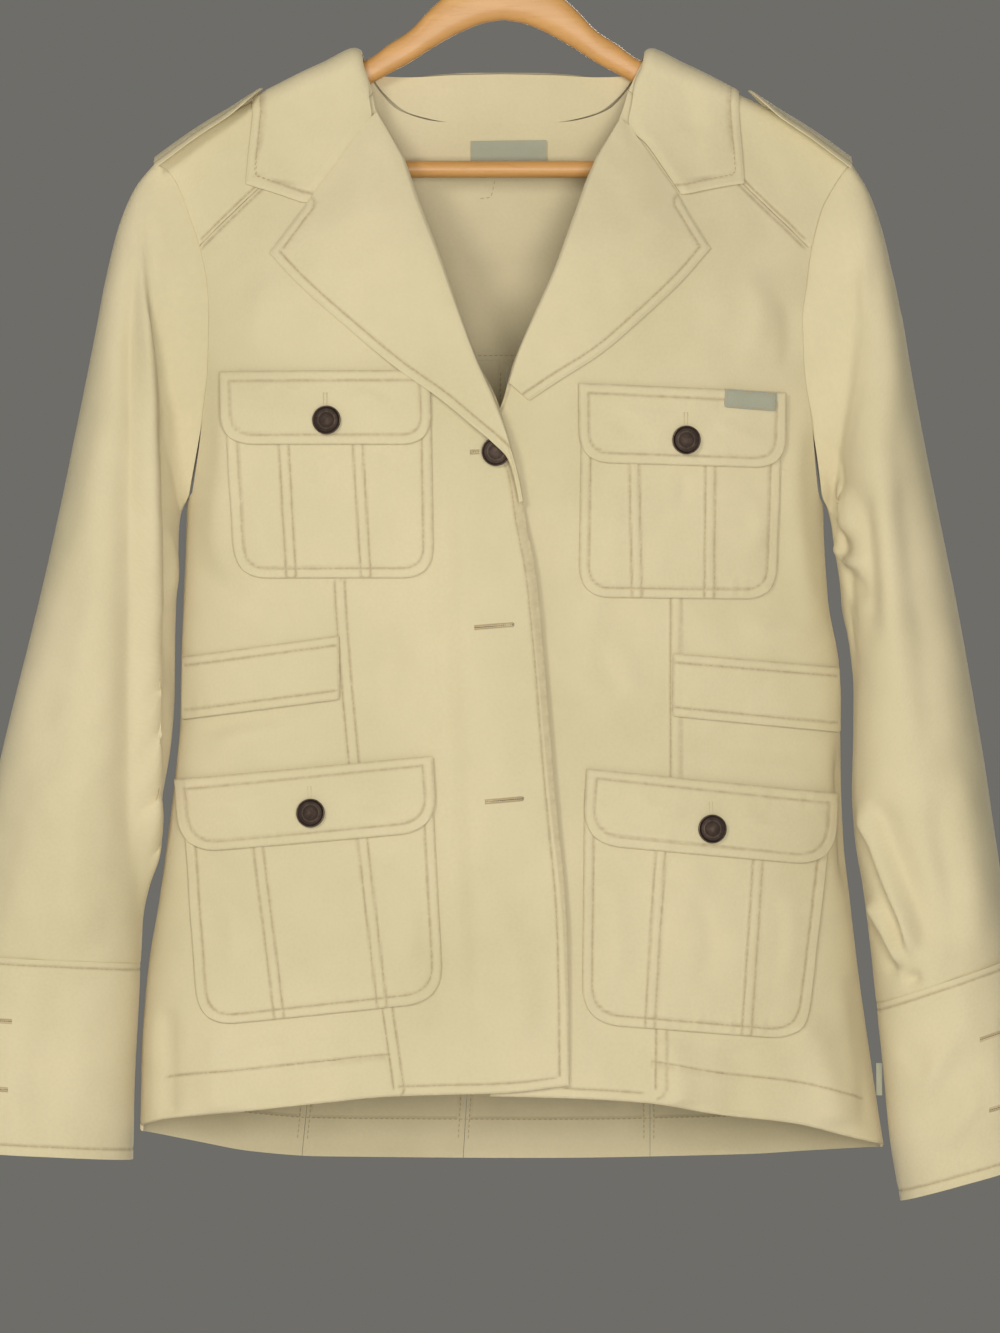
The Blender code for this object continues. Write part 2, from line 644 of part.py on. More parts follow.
def shares(first, second):
    """Return the mean running share of the length of two facing edges."""
    total = 0
    for edge in (first, second):
        run = np.concatenate([[0], np.cumsum(np.linalg.norm(np.diff(edge, axis=0), axis=1))])
        total = total + run / max(run[-1], 1e-9)
    return total / 2


def coons(top, bottom, left, right):
    """Fill a patch between four edges: blend across, blend down, and take off the corners' blend."""
    u = shares(top, bottom)[None, :, None]
    v = shares(left, right)[:, None, None]
    across = (1 - u) * left[:, None] + u * right[:, None]
    down = (1 - v) * top[None] + v * bottom[None]
    corners = ((1 - u) * (1 - v) * top[0] + u * (1 - v) * top[-1]
               + (1 - u) * v * bottom[0] + u * v * bottom[-1])
    return across + down - corners


def in_scene(points):
    """Return points in metres."""
    return np.asarray(points, dtype=float).reshape(-1, 3) * MM


def add_mesh(name, points, faces, material):
    """Add an object with outward faces."""
    mesh = bpy.data.meshes.new(name)
    points = in_scene(points)
    volume = 0.0
    for face in faces:
        for step in range(1, len(face) - 1):
            volume += np.dot(points[face[0]], np.cross(points[face[step]], points[face[step + 1]]))
    if volume < 0:
        faces = [face[::-1] for face in faces]
    mesh.from_pydata(points.tolist(), [], [list(face) for face in faces])
    mesh.validate()
    mesh.update()
    mesh.shade_smooth()
    mesh.materials.append(material)
    piece = bpy.data.objects.new(name, mesh)
    bpy.context.collection.objects.link(piece)
    return piece


def add_wall(name, inner, outer, material):
    """Add a closed wall between an inner and an outer grid of points."""
    rows, columns = inner.shape[:2]
    count = rows * columns
    points = np.concatenate([outer.reshape(-1, 3), inner.reshape(-1, 3)])
    faces = []
    for row in range(rows - 1):
        for step in range(columns - 1):
            corner = row * columns + step
            face = (corner, corner + 1, corner + columns + 1, corner + columns)
            faces.append(face)
            faces.append(tuple(count + point for point in reversed(face)))
    rim = ([step for step in range(columns)]
           + [row * columns + columns - 1 for row in range(1, rows)]
           + [(rows - 1) * columns + step for step in range(columns - 2, -1, -1)]
           + [row * columns for row in range(rows - 2, 0, -1)])
    for first, second in zip(rim, rim[1:] + rim[:1]):
        faces.append((second, first, count + first, count + second))
    return add_mesh(name, points, faces, material)


def add_sheet(name, points, normals, thickness, material):
    """Add a wall of even thickness over a grid of points."""
    return add_wall(name, points, points + normals * thickness, material)


def add_loft(name, rings, material):
    """Add a closed body through rings of points, with flat ends."""
    count, sides = rings.shape[:2]
    faces = []
    for ring in range(count - 1):
        for step in range(sides):
            following = (step + 1) % sides
            faces.append((ring * sides + step, ring * sides + following,
                          (ring + 1) * sides + following, (ring + 1) * sides + step))
    faces.append(tuple(reversed(range(sides))))
    faces.append(tuple((count - 1) * sides + step for step in range(sides)))
    return add_mesh(name, rings, faces, material)


def make_material(name, colour, roughness, metallic=0.0):
    """Add a plain material."""
    material = bpy.data.materials.new(name)
    material.use_nodes = True
    shader = material.node_tree.nodes["Principled BSDF"]
    shader.inputs["Base Color"].default_value = colour
    shader.inputs["Roughness"].default_value = roughness
    shader.inputs["Metallic"].default_value = metallic
    material.diffuse_color = colour
    return material


def side_word(side):
    """Return the side's name, as the viewer sees it."""
    return "left" if side == LEFT else "right"


def armhole_edge(side, drops, gap):
    """Return armhole points (x, drop), moved in from the seam by a gap."""
    x = column(ARMHOLE, side_word(side), drops)
    return np.stack([x - side * gap, drops], axis=1)


def opening_edge(side, drops):
    """Return points (x, drop) of the neck edge, roll line and front edge."""
    if side == LEFT:
        return np.stack([column(LEFT_OPENING, "left", drops), drops], axis=1)
    return np.stack([column(RIGHT_OPENING, "right", drops), drops], axis=1)


def as_angles(places):
    """Return places seen from the front as (angle, drop)."""
    return np.stack([to_angle(places[..., 0], places[..., 1]), places[..., 1]], axis=-1)


def as_arcs(places, side):
    """Return places seen from the front as (x, arc)."""
    return np.stack([places[..., 0], to_arc(places[..., 0], places[..., 1], side)], axis=-1)




def make_front(side, material):
    """Add one front, from the yoke seam and the roll line to the hem."""
    hem_table = LEFT_HEM if side == LEFT else RIGHT_HEM
    upper = np.array([drop for drop in ARMHOLE_DROPS if drop >= YOKE_FRONT_DROP])
    hem_side = column(hem_table, "drop", side * 225.0, by="x")
    lower = np.linspace(UNDERARM_DROP, hem_side, FRONT_LOW_ROWS)[1:]
    drops = np.concatenate([[upper[0] + SEAM], upper[1:], lower])
    outer = armhole_edge(side, drops, SEAM)
    outer = np.stack([np.where(drops < UNDERARM_DROP, to_angle(outer[:, 0], drops),
                               side * math.pi / 2), drops], axis=1)
    hem_drop = FRONT_CORNER_DROP[side]
    share = (drops - drops[0]) / (drops[-1] - drops[0])
    rows = NECK_SEAM_DROP[side] + SEAM + (hem_drop - NECK_SEAM_DROP[side]) * share
    inner = as_angles(opening_edge(side, rows) + [side * SEAM, 0])
    seam_x = side * YOKE_SEAM_END + (inner_x(side, rows[0]) - side * YOKE_SEAM_END) * FRONT_SHARES
    seam_gap = SEAM * (1 + 2 * ease((YOKE_GAP_END - np.abs(seam_x)) / YOKE_GAP_RUN))
    seam_drop = column(FRONT_YOKE, "drop", np.abs(seam_x), by="out") + seam_gap
    top = as_angles(np.stack([seam_x, seam_drop], axis=1))
    bottom_turn = np.array([side * math.pi / 2, inner[-1, 0]])
    bottom_turn = bottom_turn[0] + (bottom_turn[1] - bottom_turn[0]) * FRONT_SHARES
    bottom_x = on_body(bottom_turn, np.full(len(bottom_turn), hem_drop), FRONT)[:, 0]
    bottom = as_angles(np.stack([bottom_x, column(hem_table, "drop", bottom_x, by="x")], axis=1))
    top[0], top[-1] = outer[0], inner[0]
    bottom[0], bottom[-1] = outer[-1], inner[-1]
    grid = coons(top, bottom, outer, inner)
    points, normals = body_sheet(grid, FRONT, over=side == LEFT)
    add_sheet("front_" + side_word(side), points, normals, CLOTH, material)


def inner_x(side, drop):
    """Return the x of a front's inner edge at one drop."""
    return float(opening_edge(side, np.array([drop]))[0, 0]) + side * SEAM


def make_front_yoke(side, material):
    """Add one front yoke, from the shoulder line to the yoke seam."""
    drops = np.array([drop for drop in ARMHOLE_DROPS if drop <= YOKE_FRONT_DROP])
    outer = as_arcs(armhole_edge(side, drops, SEAM), FRONT)
    neck_drops = np.linspace(ridge(NECK_POINT), NECK_SEAM_DROP[LEFT], NECK_STEPS)
    neck = as_arcs(opening_edge(side, neck_drops), FRONT)
    arcs = np.concatenate([ROUND_ARCS, np.linspace(ROUND_ARCS[-1], -neck[-1, 1], len(drops) - 3)[1:]])
    inner = np.stack([np.interp(arcs, -neck[:, 1], neck[:, 0]), -arcs], axis=1)
    outer[0, 1] = inner[0, 1] = 0
    outer[0, 0] = side * SHOULDER_END
    x = np.linspace(outer[0, 0], inner[0, 0], FRONT_YOKE_COLUMNS)
    top = np.stack([x, 0 * x], axis=1)
    x = np.linspace(outer[-1, 0], inner[-1, 0], FRONT_YOKE_COLUMNS)
    drop = column(FRONT_YOKE, "drop", np.abs(x), by="out")
    bottom = as_arcs(np.stack([x, drop], axis=1), FRONT)
    bottom[0], bottom[-1] = outer[-1], inner[-1]
    points, normals = shoulder_sheet(coons(top, bottom, outer, inner) - [0, 1e-4])
    add_sheet("yoke_front_" + side_word(side), points, normals, CLOTH, material)


def make_back_yoke(material):
    """Add the back yoke, one piece from shoulder to shoulder."""
    drops = np.array([drop for drop in ARMHOLE_DROPS if drop <= YOKE_BACK_DROP])
    left = as_arcs(armhole_edge(LEFT, drops, SEAM), BACK)
    right = as_arcs(armhole_edge(RIGHT, drops, SEAM), BACK)
    left[0] = (-SHOULDER_END, 0)
    right[0] = (SHOULDER_END, 0)
    neck = np.array([NECK_POINT, 86.0, 79.0, 64.0, 40.0])
    shoulder = np.linspace(SHOULDER_END, NECK_POINT, BACK_SHOULDER_COLUMNS)[:-1]
    out = np.concatenate([shoulder, neck])
    x = np.concatenate([-out, [0], out[::-1]])
    drop = np.where(np.abs(x) >= NECK_POINT, ridge(x), column(BACK_NECK, "drop", np.abs(x), by="out"))
    top = as_arcs(np.stack([x, drop], axis=1), BACK)
    low = x * BACK_YOKE_END / SHOULDER_END
    bottom = as_arcs(np.stack([low, column(BACK_YOKE, "drop", np.abs(low), by="out")], axis=1), BACK)
    top[0], top[-1] = left[0], right[0]
    bottom[0], bottom[-1] = left[-1], right[-1]
    points, normals = shoulder_sheet(coons(top, bottom, left, right) + [0, 1e-4])
    add_sheet("yoke_back", points, normals, CLOTH, material)


def back_drops():
    """Return the rows of the back panels, which match the armhole's."""
    upper = np.array([drop for drop in ARMHOLE_DROPS if drop >= YOKE_BACK_DROP])
    lower = np.linspace(UNDERARM_DROP, BACK_SIDE_DROP, BACK_LOW_ROWS)[1:]
    return np.concatenate([[upper[0] + SEAM], upper[1:], lower])


def back_seam(name, drops):
    """Return points (angle, drop) of a back seam."""
    last = column(BACK_HEM, "drop", column(BACK_SEAMS, name, 812.0), by="x")
    first = column(BACK_YOKE, "drop", np.abs(column(BACK_SEAMS, name, 316.0)), by="out") + SEAM
    rows = first + (last - first) * (drops - drops[0]) / (drops[-1] - drops[0])
    return as_angles(np.stack([column(BACK_SEAMS, name, rows), rows], axis=1))


def back_side(side, drops):
    """Return points (angle, drop) of the back's outer edge: the armhole, then the side seam."""
    edge = armhole_edge(side, drops, SEAM)
    angle = np.where(drops < UNDERARM_DROP, to_angle(edge[:, 0], drops), side * math.pi / 2)
    return np.stack([angle, drops], axis=1)


def make_back_panel(name, left, right, columns, material):
    """Add one back panel between two edges."""
    share = np.linspace(0, 1, columns)
    top = left[0] + (right[0] - left[0]) * share[:, None]
    bottom = left[-1] + (right[-1] - left[-1]) * share[:, None]
    hem_x = on_body(bottom[:, 0], bottom[:, 1], BACK)[:, 0]
    bottom[1:-1, 1] = column(BACK_HEM, "drop", hem_x, by="x")[1:-1]
    points, normals = body_sheet(coons(top, bottom, left, right), BACK)
    add_sheet(name, points, normals, CLOTH, material)


def make_back(material):
    """Add the four back panels."""
    drops = back_drops()
    edges = {
        "left": back_side(LEFT, drops),
        "left_side": back_seam("left_side", drops),
        "middle": back_seam("middle", drops),
        "right_side": back_seam("right_side", drops),
        "right": back_side(RIGHT, drops),
    }
    parts = (
        ("back_side_left", "left", "left_side", BACK_SIDE_COLUMNS),
        ("back_middle_left", "left_side", "middle", BACK_MIDDLE_COLUMNS),
        ("back_middle_right", "middle", "right_side", BACK_MIDDLE_COLUMNS),
        ("back_side_right", "right_side", "right", BACK_SIDE_COLUMNS),
    )
    for name, left, right, columns in parts:
        inset_left = 0 if left == "left" else BACK_SEAM_GAP
        inset_right = 0 if right == "right" else BACK_SEAM_GAP
        make_back_panel(name, edges[left] + [inset_left, 0], edges[right] - [inset_right, 0],
                        columns, material)


def sleeve_rings(side, angles):
    """Return the sleeve's rings. The first lies on the armhole seam, the rest follow the table.

    An angle of 0 is the outer edge, half a turn is the inner edge, and the front comes between.
    """
    table = LEFT_SLEEVE if side == LEFT else RIGHT_SLEEVE
    share = (1 - np.cos(angles)) / 2
    front = np.sin(angles) >= 0
    drop = ARMHOLE_DROPS[0] + (UNDERARM_DROP - ARMHOLE_DROPS[0]) * share
    x = column(ARMHOLE, side_word(side), drop) + side * SEAM
    y = np.where(front, -depth(x, drop, FRONT), depth(x, drop, BACK))
    clear = ease((drop - UNDERARM_EASE_DROP) / (UNDERARM_DROP - UNDERARM_EASE_DROP))
    rings = [np.stack([x + side * clear * UNDERARM_CLEARANCE, y, -drop - clear * CLOTH], axis=1)]
    for row in table:
        x = row.outer_x + (row.inner_x - row.outer_x) * share
        drop = row.outer_drop + (row.inner_drop - row.outer_drop) * share
        bulge = np.clip(share / row.fold, 0, 1)
        bulge = np.sqrt(np.maximum(1 - (2 * bulge - 1) ** 2, 0))
        reach = np.where(front, row.low * np.abs(np.sin(angles)) + row.high * bulge,
                         row.back * np.abs(np.sin(angles)))
        y = np.where(front, -reach, reach) + SLEEVE_SHIFT * ease(len(rings) / 4)
        rings.append(np.stack([x, y, -drop], axis=1))
    return np.array(rings)


def grid_normals(points, side):
    """Return unit normals of a grid from its neighbouring points."""
    down = np.gradient(points, axis=0)
    across = np.gradient(points, axis=1)
    normal = np.cross(down, across)
    normal /= np.maximum(np.linalg.norm(normal, axis=-1, keepdims=True), 1e-9)
    return normal * side


def make_sleeve(side, material):
    """Add a sleeve as its front and back halves, seamed along both edges."""
    share = (np.array(ARMHOLE_DROPS) - ARMHOLE_DROPS[0]) / (UNDERARM_DROP - ARMHOLE_DROPS[0])
    angles = np.arccos(1 - 2 * share)
    for name, turn, sign in (("front", angles, FRONT), ("back", -angles, BACK)):
        rings = sleeve_rings(side, turn)
        normals = grid_normals(rings, side)
        drop = -rings[0, :, 2]
        angle = to_angle(rings[0, :, 0], drop)
        along_body = outward(lambda turns, drops: on_body(turns, drops, sign), angle, drop,
                             (ANGLE_STEP, NORMAL_STEP), sign)
        lower = ease((drop - SLEEVE_TURN_DROP) / (UNDERARM_DROP - SLEEVE_TURN_DROP))[:, None]
        normals[0] = along_body * (1 - lower) + normals[0] * lower
        rings[..., 1] += sign * HALF_SEAM
        normals[:, (0, -1), 1] = 0
        normals /= np.linalg.norm(normals, axis=-1, keepdims=True)
        add_sheet("sleeve_" + side_word(side) + "_" + name, rings, normals, CLOTH, material)


def cuff_surface(side, angles, shares_down):
    """Return the points and normals of the cuff's inner face, a cloth's thickness inside its table."""
    table = LEFT_CUFF if side == LEFT else RIGHT_CUFF
    index = np.linspace(0, 1, len(table))
    outer, outer_drop, inner, inner_drop, front, back = (
        smooth(index, [row[place] for row in table], shares_down)[:, None] for place in range(6))
    across = (1 - np.cos(angles))[None] / 2
    x = outer + (inner - outer) * across
    drop = outer_drop + (inner_drop - outer_drop) * across
    turn = np.sin(angles)[None]
    y = np.where(turn > 0, -front, back) * np.abs(turn) ** CUFF_FLATNESS + SLEEVE_SHIFT
    points = np.stack([x, y, -drop], axis=-1)
    normals = grid_normals(points, side)
    return points - normals * CLOTH, normals


def make_cuff(side, material):
    """Add a cuff: a strip round the wrist from under its lap, behind, and back over the lap."""
    turn = np.linspace(0, 360 + CUFF_LAP_ANGLE, CUFF_SEGMENTS)
    points, normals = cuff_surface(side, np.radians(CUFF_LAP_START - turn), np.array([0, 0.33, 0.67, 1]))
    lift = CUFF_LAP_LIFT * ease((turn - 360 + CUFF_LAP_EASE) / CUFF_LAP_EASE)
    points = points + normals * lift[None, :, None]
    add_sheet("cuff_" + side_word(side), points, normals, CLOTH, material)


def make_lapel(side, material):
    """Add a lapel: the front's facing, turned out over the roll line and laid on the chest."""
    table = LEFT_LAPEL if side == LEFT else RIGHT_LAPEL
    columns = {name: np.array([getattr(row, name) for row in table])[:, None]
               for name in LapelRow._fields}
    share = np.array(LAPEL_SHARES)[None]
    rise = np.array(LAPEL_RISE)[None]
    x = columns["roll_x"] + (columns["edge_x"] - columns["roll_x"]) * share
    drop = columns["roll_drop"] + (columns["edge_drop"] - columns["roll_drop"]) * share
    level = LAPEL_START_LIFT + (columns["edge_lift"] - LAPEL_START_LIFT) * share
    lift = level + (columns["roll_lift"] - level) * rise
    points, normals = body_sheet(as_angles(np.stack([x, drop], axis=-1)), FRONT, lift, side == LEFT)
    add_sheet("lapel_" + side_word(side), points, normals, CLOTH, material)


def make_collar(material):
    """Add the collar's leaf, which rolls over at the neck and lies on the shoulders and the yokes."""
    halves = []
    for side, table in ((LEFT, LEFT_COLLAR), (RIGHT, RIGHT_COLLAR)):
        at = np.linspace(0, len(table) - 1, COLLAR_STEPS * (len(table) - 1) + 1)
        index = np.arange(len(table))
        columns = {name: smooth(index, [getattr(row, name) for row in table], at)[:, None]
                   for name in CollarRow._fields}
        share = np.array(COLLAR_SHARES)[None]
        out = columns["roll_out"] + (columns["edge_out"] - columns["roll_out"]) * share
        arc = columns["roll_arc"] + (columns["edge_arc"] - columns["roll_arc"]) * share
        high = columns["roll_lift"]
        level = high + (columns["edge_lift"] - high) * share
        folded = ease((at[:, None] - COLLAR_FOLD_START) / COLLAR_FOLD_RUN)
        start = np.where(share == 0, 0.45, np.where(share < 0.05, 0.16, 0.0)) * folded * high
        halves.append((side * out, arc, level - start))
    x, arc, lift = (np.concatenate([first, second[::-1][1:]]) for first, second in zip(*halves))
    points, normals = shoulder_sheet(np.stack([x, arc], axis=-1), lift)
    add_sheet("collar", points, normals, CLOTH, material)


def make_stand(material):
    """Add the collar's stand, from the back neck seam up to the roll."""
    out = np.linspace(-82.6, 82.6, 19)
    seam_arc = column(STAND, "seam_arc", np.abs(out), by="out")[:, None]
    roll_arc = column(STAND, "roll_arc", np.abs(out), by="out")[:, None]
    roll_lift = column(STAND, "roll_lift", np.abs(out), by="out")[:, None]
    share = np.linspace(0, 1, 5)[None]
    arc = seam_arc + (roll_arc - seam_arc) * share
    lift = (roll_lift - CLOTH) * share ** 1.5
    points, normals = shoulder_sheet(np.stack([out[:, None] + 0 * share, arc], axis=-1), lift)
    add_sheet("collar_stand", points, normals, CLOTH, material)


def make_patch(name, outline, lift, thickness, counts, material, side=FRONT):
    """Add a patch that lies on a front, or on the inside of the back where the lift is negative."""
    edges = coons(*outline.sides(*counts))
    points, normals = body_sheet(edges, side, lift)
    add_sheet(name, points, normals, thickness, material)


def make_pockets(material):
    """Add the patch pockets, their flaps and the waist bands."""
    for side in (LEFT, RIGHT):
        word = side_word(side)
        make_patch("pocket_chest_" + word, CHEST_POCKETS[side], POCKET_LIFT, PATCH_CLOTH, (8, 6), material)
        make_patch("pocket_low_" + word, LOW_POCKETS[side], POCKET_LIFT, PATCH_CLOTH, (11, 7), material)
        make_patch("flap_chest_" + word, CHEST_FLAPS[side], FLAP_LIFT, CLOTH, (8, 4), material)
        make_patch("flap_low_" + word, LOW_FLAPS[side], FLAP_LIFT, CLOTH, (12, 4), material)
        make_patch("waist_band_" + word, BANDS[side], BAND_LIFT, CLOTH, (12, 3), material)


def make_epaulette(side, material):
    """Add a shoulder strap, stiff and slightly arched over the shoulder line, pointed at the neck."""
    base, half, lift, droop = (np.array([row[place] for row in EPAULETTE])[:, None] for place in range(4))
    out = base + EPAULETTE_TIP_SHIFT[side] * ease((EPAULETTE_TIP_START - base) / EPAULETTE_TIP_RUN)
    across = np.linspace(-1, 1, EPAULETTE_COLUMNS)[None]
    x = side * out + 0 * across
    y = half * across
    drop = ridge(out) - lift + droop * across ** 2
    points = np.stack([x, y, -drop], axis=-1)
    normals = grid_normals(points, -side)
    add_sheet("epaulette_" + side_word(side), points, normals, CLOTH, material)


def make_labels(material):
    """Add the bare labels: on the right chest flap, inside the neck and in the right side seam."""
    make_patch("label_chest", CHEST_LABEL, FLAP_TOP + SEAM, PATCH_CLOTH, (4, 3), material)
    edges = coons(*NECK_LABEL.sides(6, 5))
    points, normals = body_sheet(edges, BACK, -NECK_LABEL_GAP - PATCH_CLOTH)
    add_sheet("label_neck", points, normals, PATCH_CLOTH, material)
    near = float(column(BODY, "right", SIDE_LABEL_LOW)) + CLOTH + SEAM
    x, drop = np.meshgrid([near, near + SIDE_LABEL_WIDTH], [SIDE_LABEL_LOW, SIDE_LABEL_TOP])
    low = np.stack([x, 0 * x - PATCH_CLOTH / 2, -drop], axis=-1)
    add_wall("label_side", low, low + [0, PATCH_CLOTH, 0], material)


def turned(name, place, axis, material, radius=BUTTON_RADIUS, height=BUTTON_HEIGHT, sides=BUTTON_SIDES):
    """Add a round button: a flat back, a straight rim and a dished face."""
    axis = axis / np.linalg.norm(axis)
    first = np.cross(axis, [0.3, 0.1, 1.0])
    first /= np.linalg.norm(first)
    second = np.cross(axis, first)
    profile = ((radius * 0.62, 0.0), (radius, height * 0.42), (radius * 0.97, height * 0.8),
               (radius * 0.84, height), (radius * 0.7, height * 0.78))
    turn = np.linspace(0, 2 * math.pi, sides, endpoint=False)[:, None]
    circle = np.cos(turn) * first + np.sin(turn) * second
    rings = np.array([place + circle * reach + axis * rise for reach, rise in profile])
    add_loft(name, rings, material)


def make_buttons(material):
    """Add the pocket and front buttons, and two on each cuff."""
    for button in FRONT_BUTTONS:
        at = as_angles(np.array([[button.x, button.drop]]))
        points, normals = body_sheet(at, FRONT, button.lift + BUTTON_GAP)
        turned(button.name, points[0], normals[0], material)
    for side in (LEFT, RIGHT):
        angles = np.radians(CUFF_BUTTON_ANGLE + np.array([1.0, 0.0, -1.0]))
        for word, share in zip(("upper", "lower"), CUFF_BUTTON_SHARES):
            points, normals = cuff_surface(side, angles, share + np.array([-0.01, 0, 0.01]))
            axis = normals[1, 1]
            place = points[1, 1] + axis * (CUFF_LAP_LIFT + CLOTH + CUFF_BUTTON_GAP)
            turned("button_cuff_" + side_word(side) + "_" + word, place, axis, material)


def make_hanger(wood, steel):
    """Add the hanger: bowed wood with lobed ends, a trouser bar between them and a wire hook."""
    rows = list(reversed(WOOD))
    stations = [(-row.out, row) for row in rows] + [(row.out, row) for row in WOOD[1:]]
    turn = (np.arange(WOOD_SIDES) + 0.5) * 2 * math.pi / WOOD_SIDES
    rings = []
    for x, row in stations:
        middle = -(row.top + row.bottom) / 2
        half = (row.bottom - row.top) / 2
        bow = np.abs(np.cos(turn)) ** 0.7 * np.sign(np.cos(turn))
        rise = np.abs(np.sin(turn)) ** 0.8 * np.sign(np.sin(turn))
        across = np.full(WOOD_SIDES, float(x))
        rings.append(np.stack([across, row.thickness / 2 * bow, middle + half * rise], axis=1))
    add_loft("hanger_wood", np.array(rings), wood)
    turn = np.linspace(0, 2 * math.pi, BAR_SIDES, endpoint=False)
    depths = BAR_RADIUS * np.cos(turn)
    heights = BAR_RADIUS * np.sin(turn) - BAR_DROP
    bar = [np.stack([np.full(BAR_SIDES, x), depths, heights], axis=1)
           for x in (-BAR_HALF_LENGTH, BAR_HALF_LENGTH)]
    add_loft("hanger_bar", np.array(bar), wood)
    make_hook(steel)


def make_hook(steel):
    """Add the wire hook: a straight stem, a bend to one side and three quarters of a circle."""
    lead = np.array([[0, -HOOK_STEM_DROP], [0, -66.0], [0.4, -HOOK_NECK_DROP], [5.5, -47.5], [13.0, -41.0]])
    turn = np.radians(np.linspace(-38, 205, 17))
    circle = np.stack([HOOK_RADIUS * np.cos(turn), HOOK_RADIUS * np.sin(turn) - HOOK_CENTRE_DROP], axis=1)
    path = np.vstack([lead, circle])
    slope = np.gradient(path, axis=0)
    slope /= np.linalg.norm(slope, axis=1, keepdims=True)
    turn = np.linspace(0, 2 * math.pi, WIRE_SIDES, endpoint=False)[None]
    x = path[:, :1] + WIRE_RADIUS * np.cos(turn) * slope[:, 1:]
    z = path[:, 1:] - WIRE_RADIUS * np.cos(turn) * slope[:, :1]
    y = WIRE_RADIUS * np.sin(turn) + 0 * x
    add_loft("hanger_hook", np.stack([x, y, z], axis=-1), steel)


def main():
    """Clear the scene and add every piece."""
    for piece in list(bpy.data.objects):
        bpy.data.objects.remove(piece, do_unlink=True)
    cloth = make_material("khaki_twill", KHAKI, 0.9)
    label = make_material("label_weave", LABEL, 0.85)
    bronze = make_material("button_bronze", BRONZE, 0.4, 1.0)
    wood = make_material("hanger_beech", BEECH, 0.45)
    steel = make_material("hook_steel", STEEL, 0.25, 1.0)
    for side in (LEFT, RIGHT):
        make_front(side, cloth)
        make_front_yoke(side, cloth)
        make_lapel(side, cloth)
        make_sleeve(side, cloth)
        make_cuff(side, cloth)
        make_epaulette(side, cloth)
    make_back_yoke(cloth)
    make_back(cloth)
    make_collar(cloth)
    make_stand(cloth)
    make_pockets(cloth)
    make_labels(label)
    make_buttons(bronze)
    make_hanger(wood, steel)


main()
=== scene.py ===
"""Safari jacket on a wooden hanger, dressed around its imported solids.

Lengths are in millimetres until a mesh is made. A place is x (to the viewer's right), its drop below the
point where the hook rests, and its depth (the front is negative). Every panel is a patch of one body
surface. Pockets, flaps, bands and labels are patches moved out from it, so all share the same folds.
"""
import logging
import math
from dataclasses import dataclass, field
from enum import Enum
from typing import Sequence

import bpy
import numpy as np
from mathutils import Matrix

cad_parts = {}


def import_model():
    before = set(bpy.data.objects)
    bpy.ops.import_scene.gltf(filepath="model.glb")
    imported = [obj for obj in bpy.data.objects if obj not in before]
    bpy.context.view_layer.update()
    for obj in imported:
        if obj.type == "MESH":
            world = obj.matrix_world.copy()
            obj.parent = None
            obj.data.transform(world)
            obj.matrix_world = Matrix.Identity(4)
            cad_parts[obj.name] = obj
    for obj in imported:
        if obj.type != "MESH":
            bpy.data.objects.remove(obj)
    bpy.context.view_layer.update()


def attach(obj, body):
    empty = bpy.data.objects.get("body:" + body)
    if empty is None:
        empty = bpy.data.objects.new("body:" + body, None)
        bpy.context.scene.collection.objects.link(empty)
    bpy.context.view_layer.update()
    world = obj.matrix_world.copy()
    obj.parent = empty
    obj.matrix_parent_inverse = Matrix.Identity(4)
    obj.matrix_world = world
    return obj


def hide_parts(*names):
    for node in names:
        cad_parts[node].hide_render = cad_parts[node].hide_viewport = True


LOG = logging.getLogger("safari_jacket")
MM = 0.001
CLOTH = 1.2
PATCH_CLOTH = 1.0
SEAM_GAP = 0.3
JOIN_GAP = 0.06
RIDGE_RADIUS = 7.5
RIDGE_FADE = 0.35
HANG_LENGTH = 140.0
FLATNESS = 0.85
MEAN_GIRTH = 205.0
GRID_STEP = 3.8
FINE_STEPS = (0.0, 0.5, 1.2, 2.0, 2.8, 3.6, 4.4, 5.2, 6.0, 6.8, 7.8, 9.2, 11.2)
GROOVE_WIDTH = 0.8
ROW_WIDTH = 0.85
WIDE_ROW = 0.9
TINY = 1e-9
Array = np.ndarray


class Side(Enum):
    """A side of the garment, as the viewer sees it."""

    LEFT = -1
    RIGHT = 1

    @property
    def word(self) -> str:
        """The side's name in lower case."""
        return self.name.lower()


class Face(Enum):
    """The front or the back of the body."""

    FRONT = -1
    BACK = 1


def smooth(knots: Array, values: Array, at: Array) -> Array:
    """Read a monotone cubic: Hermite pieces with harmonic mean slopes, held flat past both ends.

    Args:
        knots: Rising places of the known values.
        values: Known values, one row for each knot.
        at: Places to read.

    Returns:
        The values at those places.
    """
    knots = np.asarray(knots, dtype=float)
    values = np.asarray(values, dtype=float)
    at = np.clip(np.asarray(at, dtype=float), knots[0], knots[-1])
    steps = np.diff(knots).reshape((-1,) + (1,) * (values.ndim - 1))
    slopes = np.diff(values, axis=0) / steps
    before, after = slopes[:-1], slopes[1:]
    total = np.where(before + after == 0, 1.0, before + after)
    inner = np.where(before * after > 0, 2 * before * after / total, 0.0)
    tangents = np.concatenate([slopes[:1], inner, slopes[-1:]])
    index = np.clip(np.searchsorted(knots, at, side="right") - 1, 0, len(knots) - 2)
    share = (at - knots[index]) / (knots[index + 1] - knots[index])
    share = share.reshape(share.shape + (1,) * (values.ndim - 1))
    width = steps[index].reshape(share.shape) if values.ndim == 1 else steps[index]
    return ((1 + 2 * share) * (1 - share) ** 2 * values[index]
            + share * (1 - share) ** 2 * width * tangents[index]
            + share ** 2 * (3 - 2 * share) * values[index + 1]
            + share ** 2 * (share - 1) * width * tangents[index + 1])


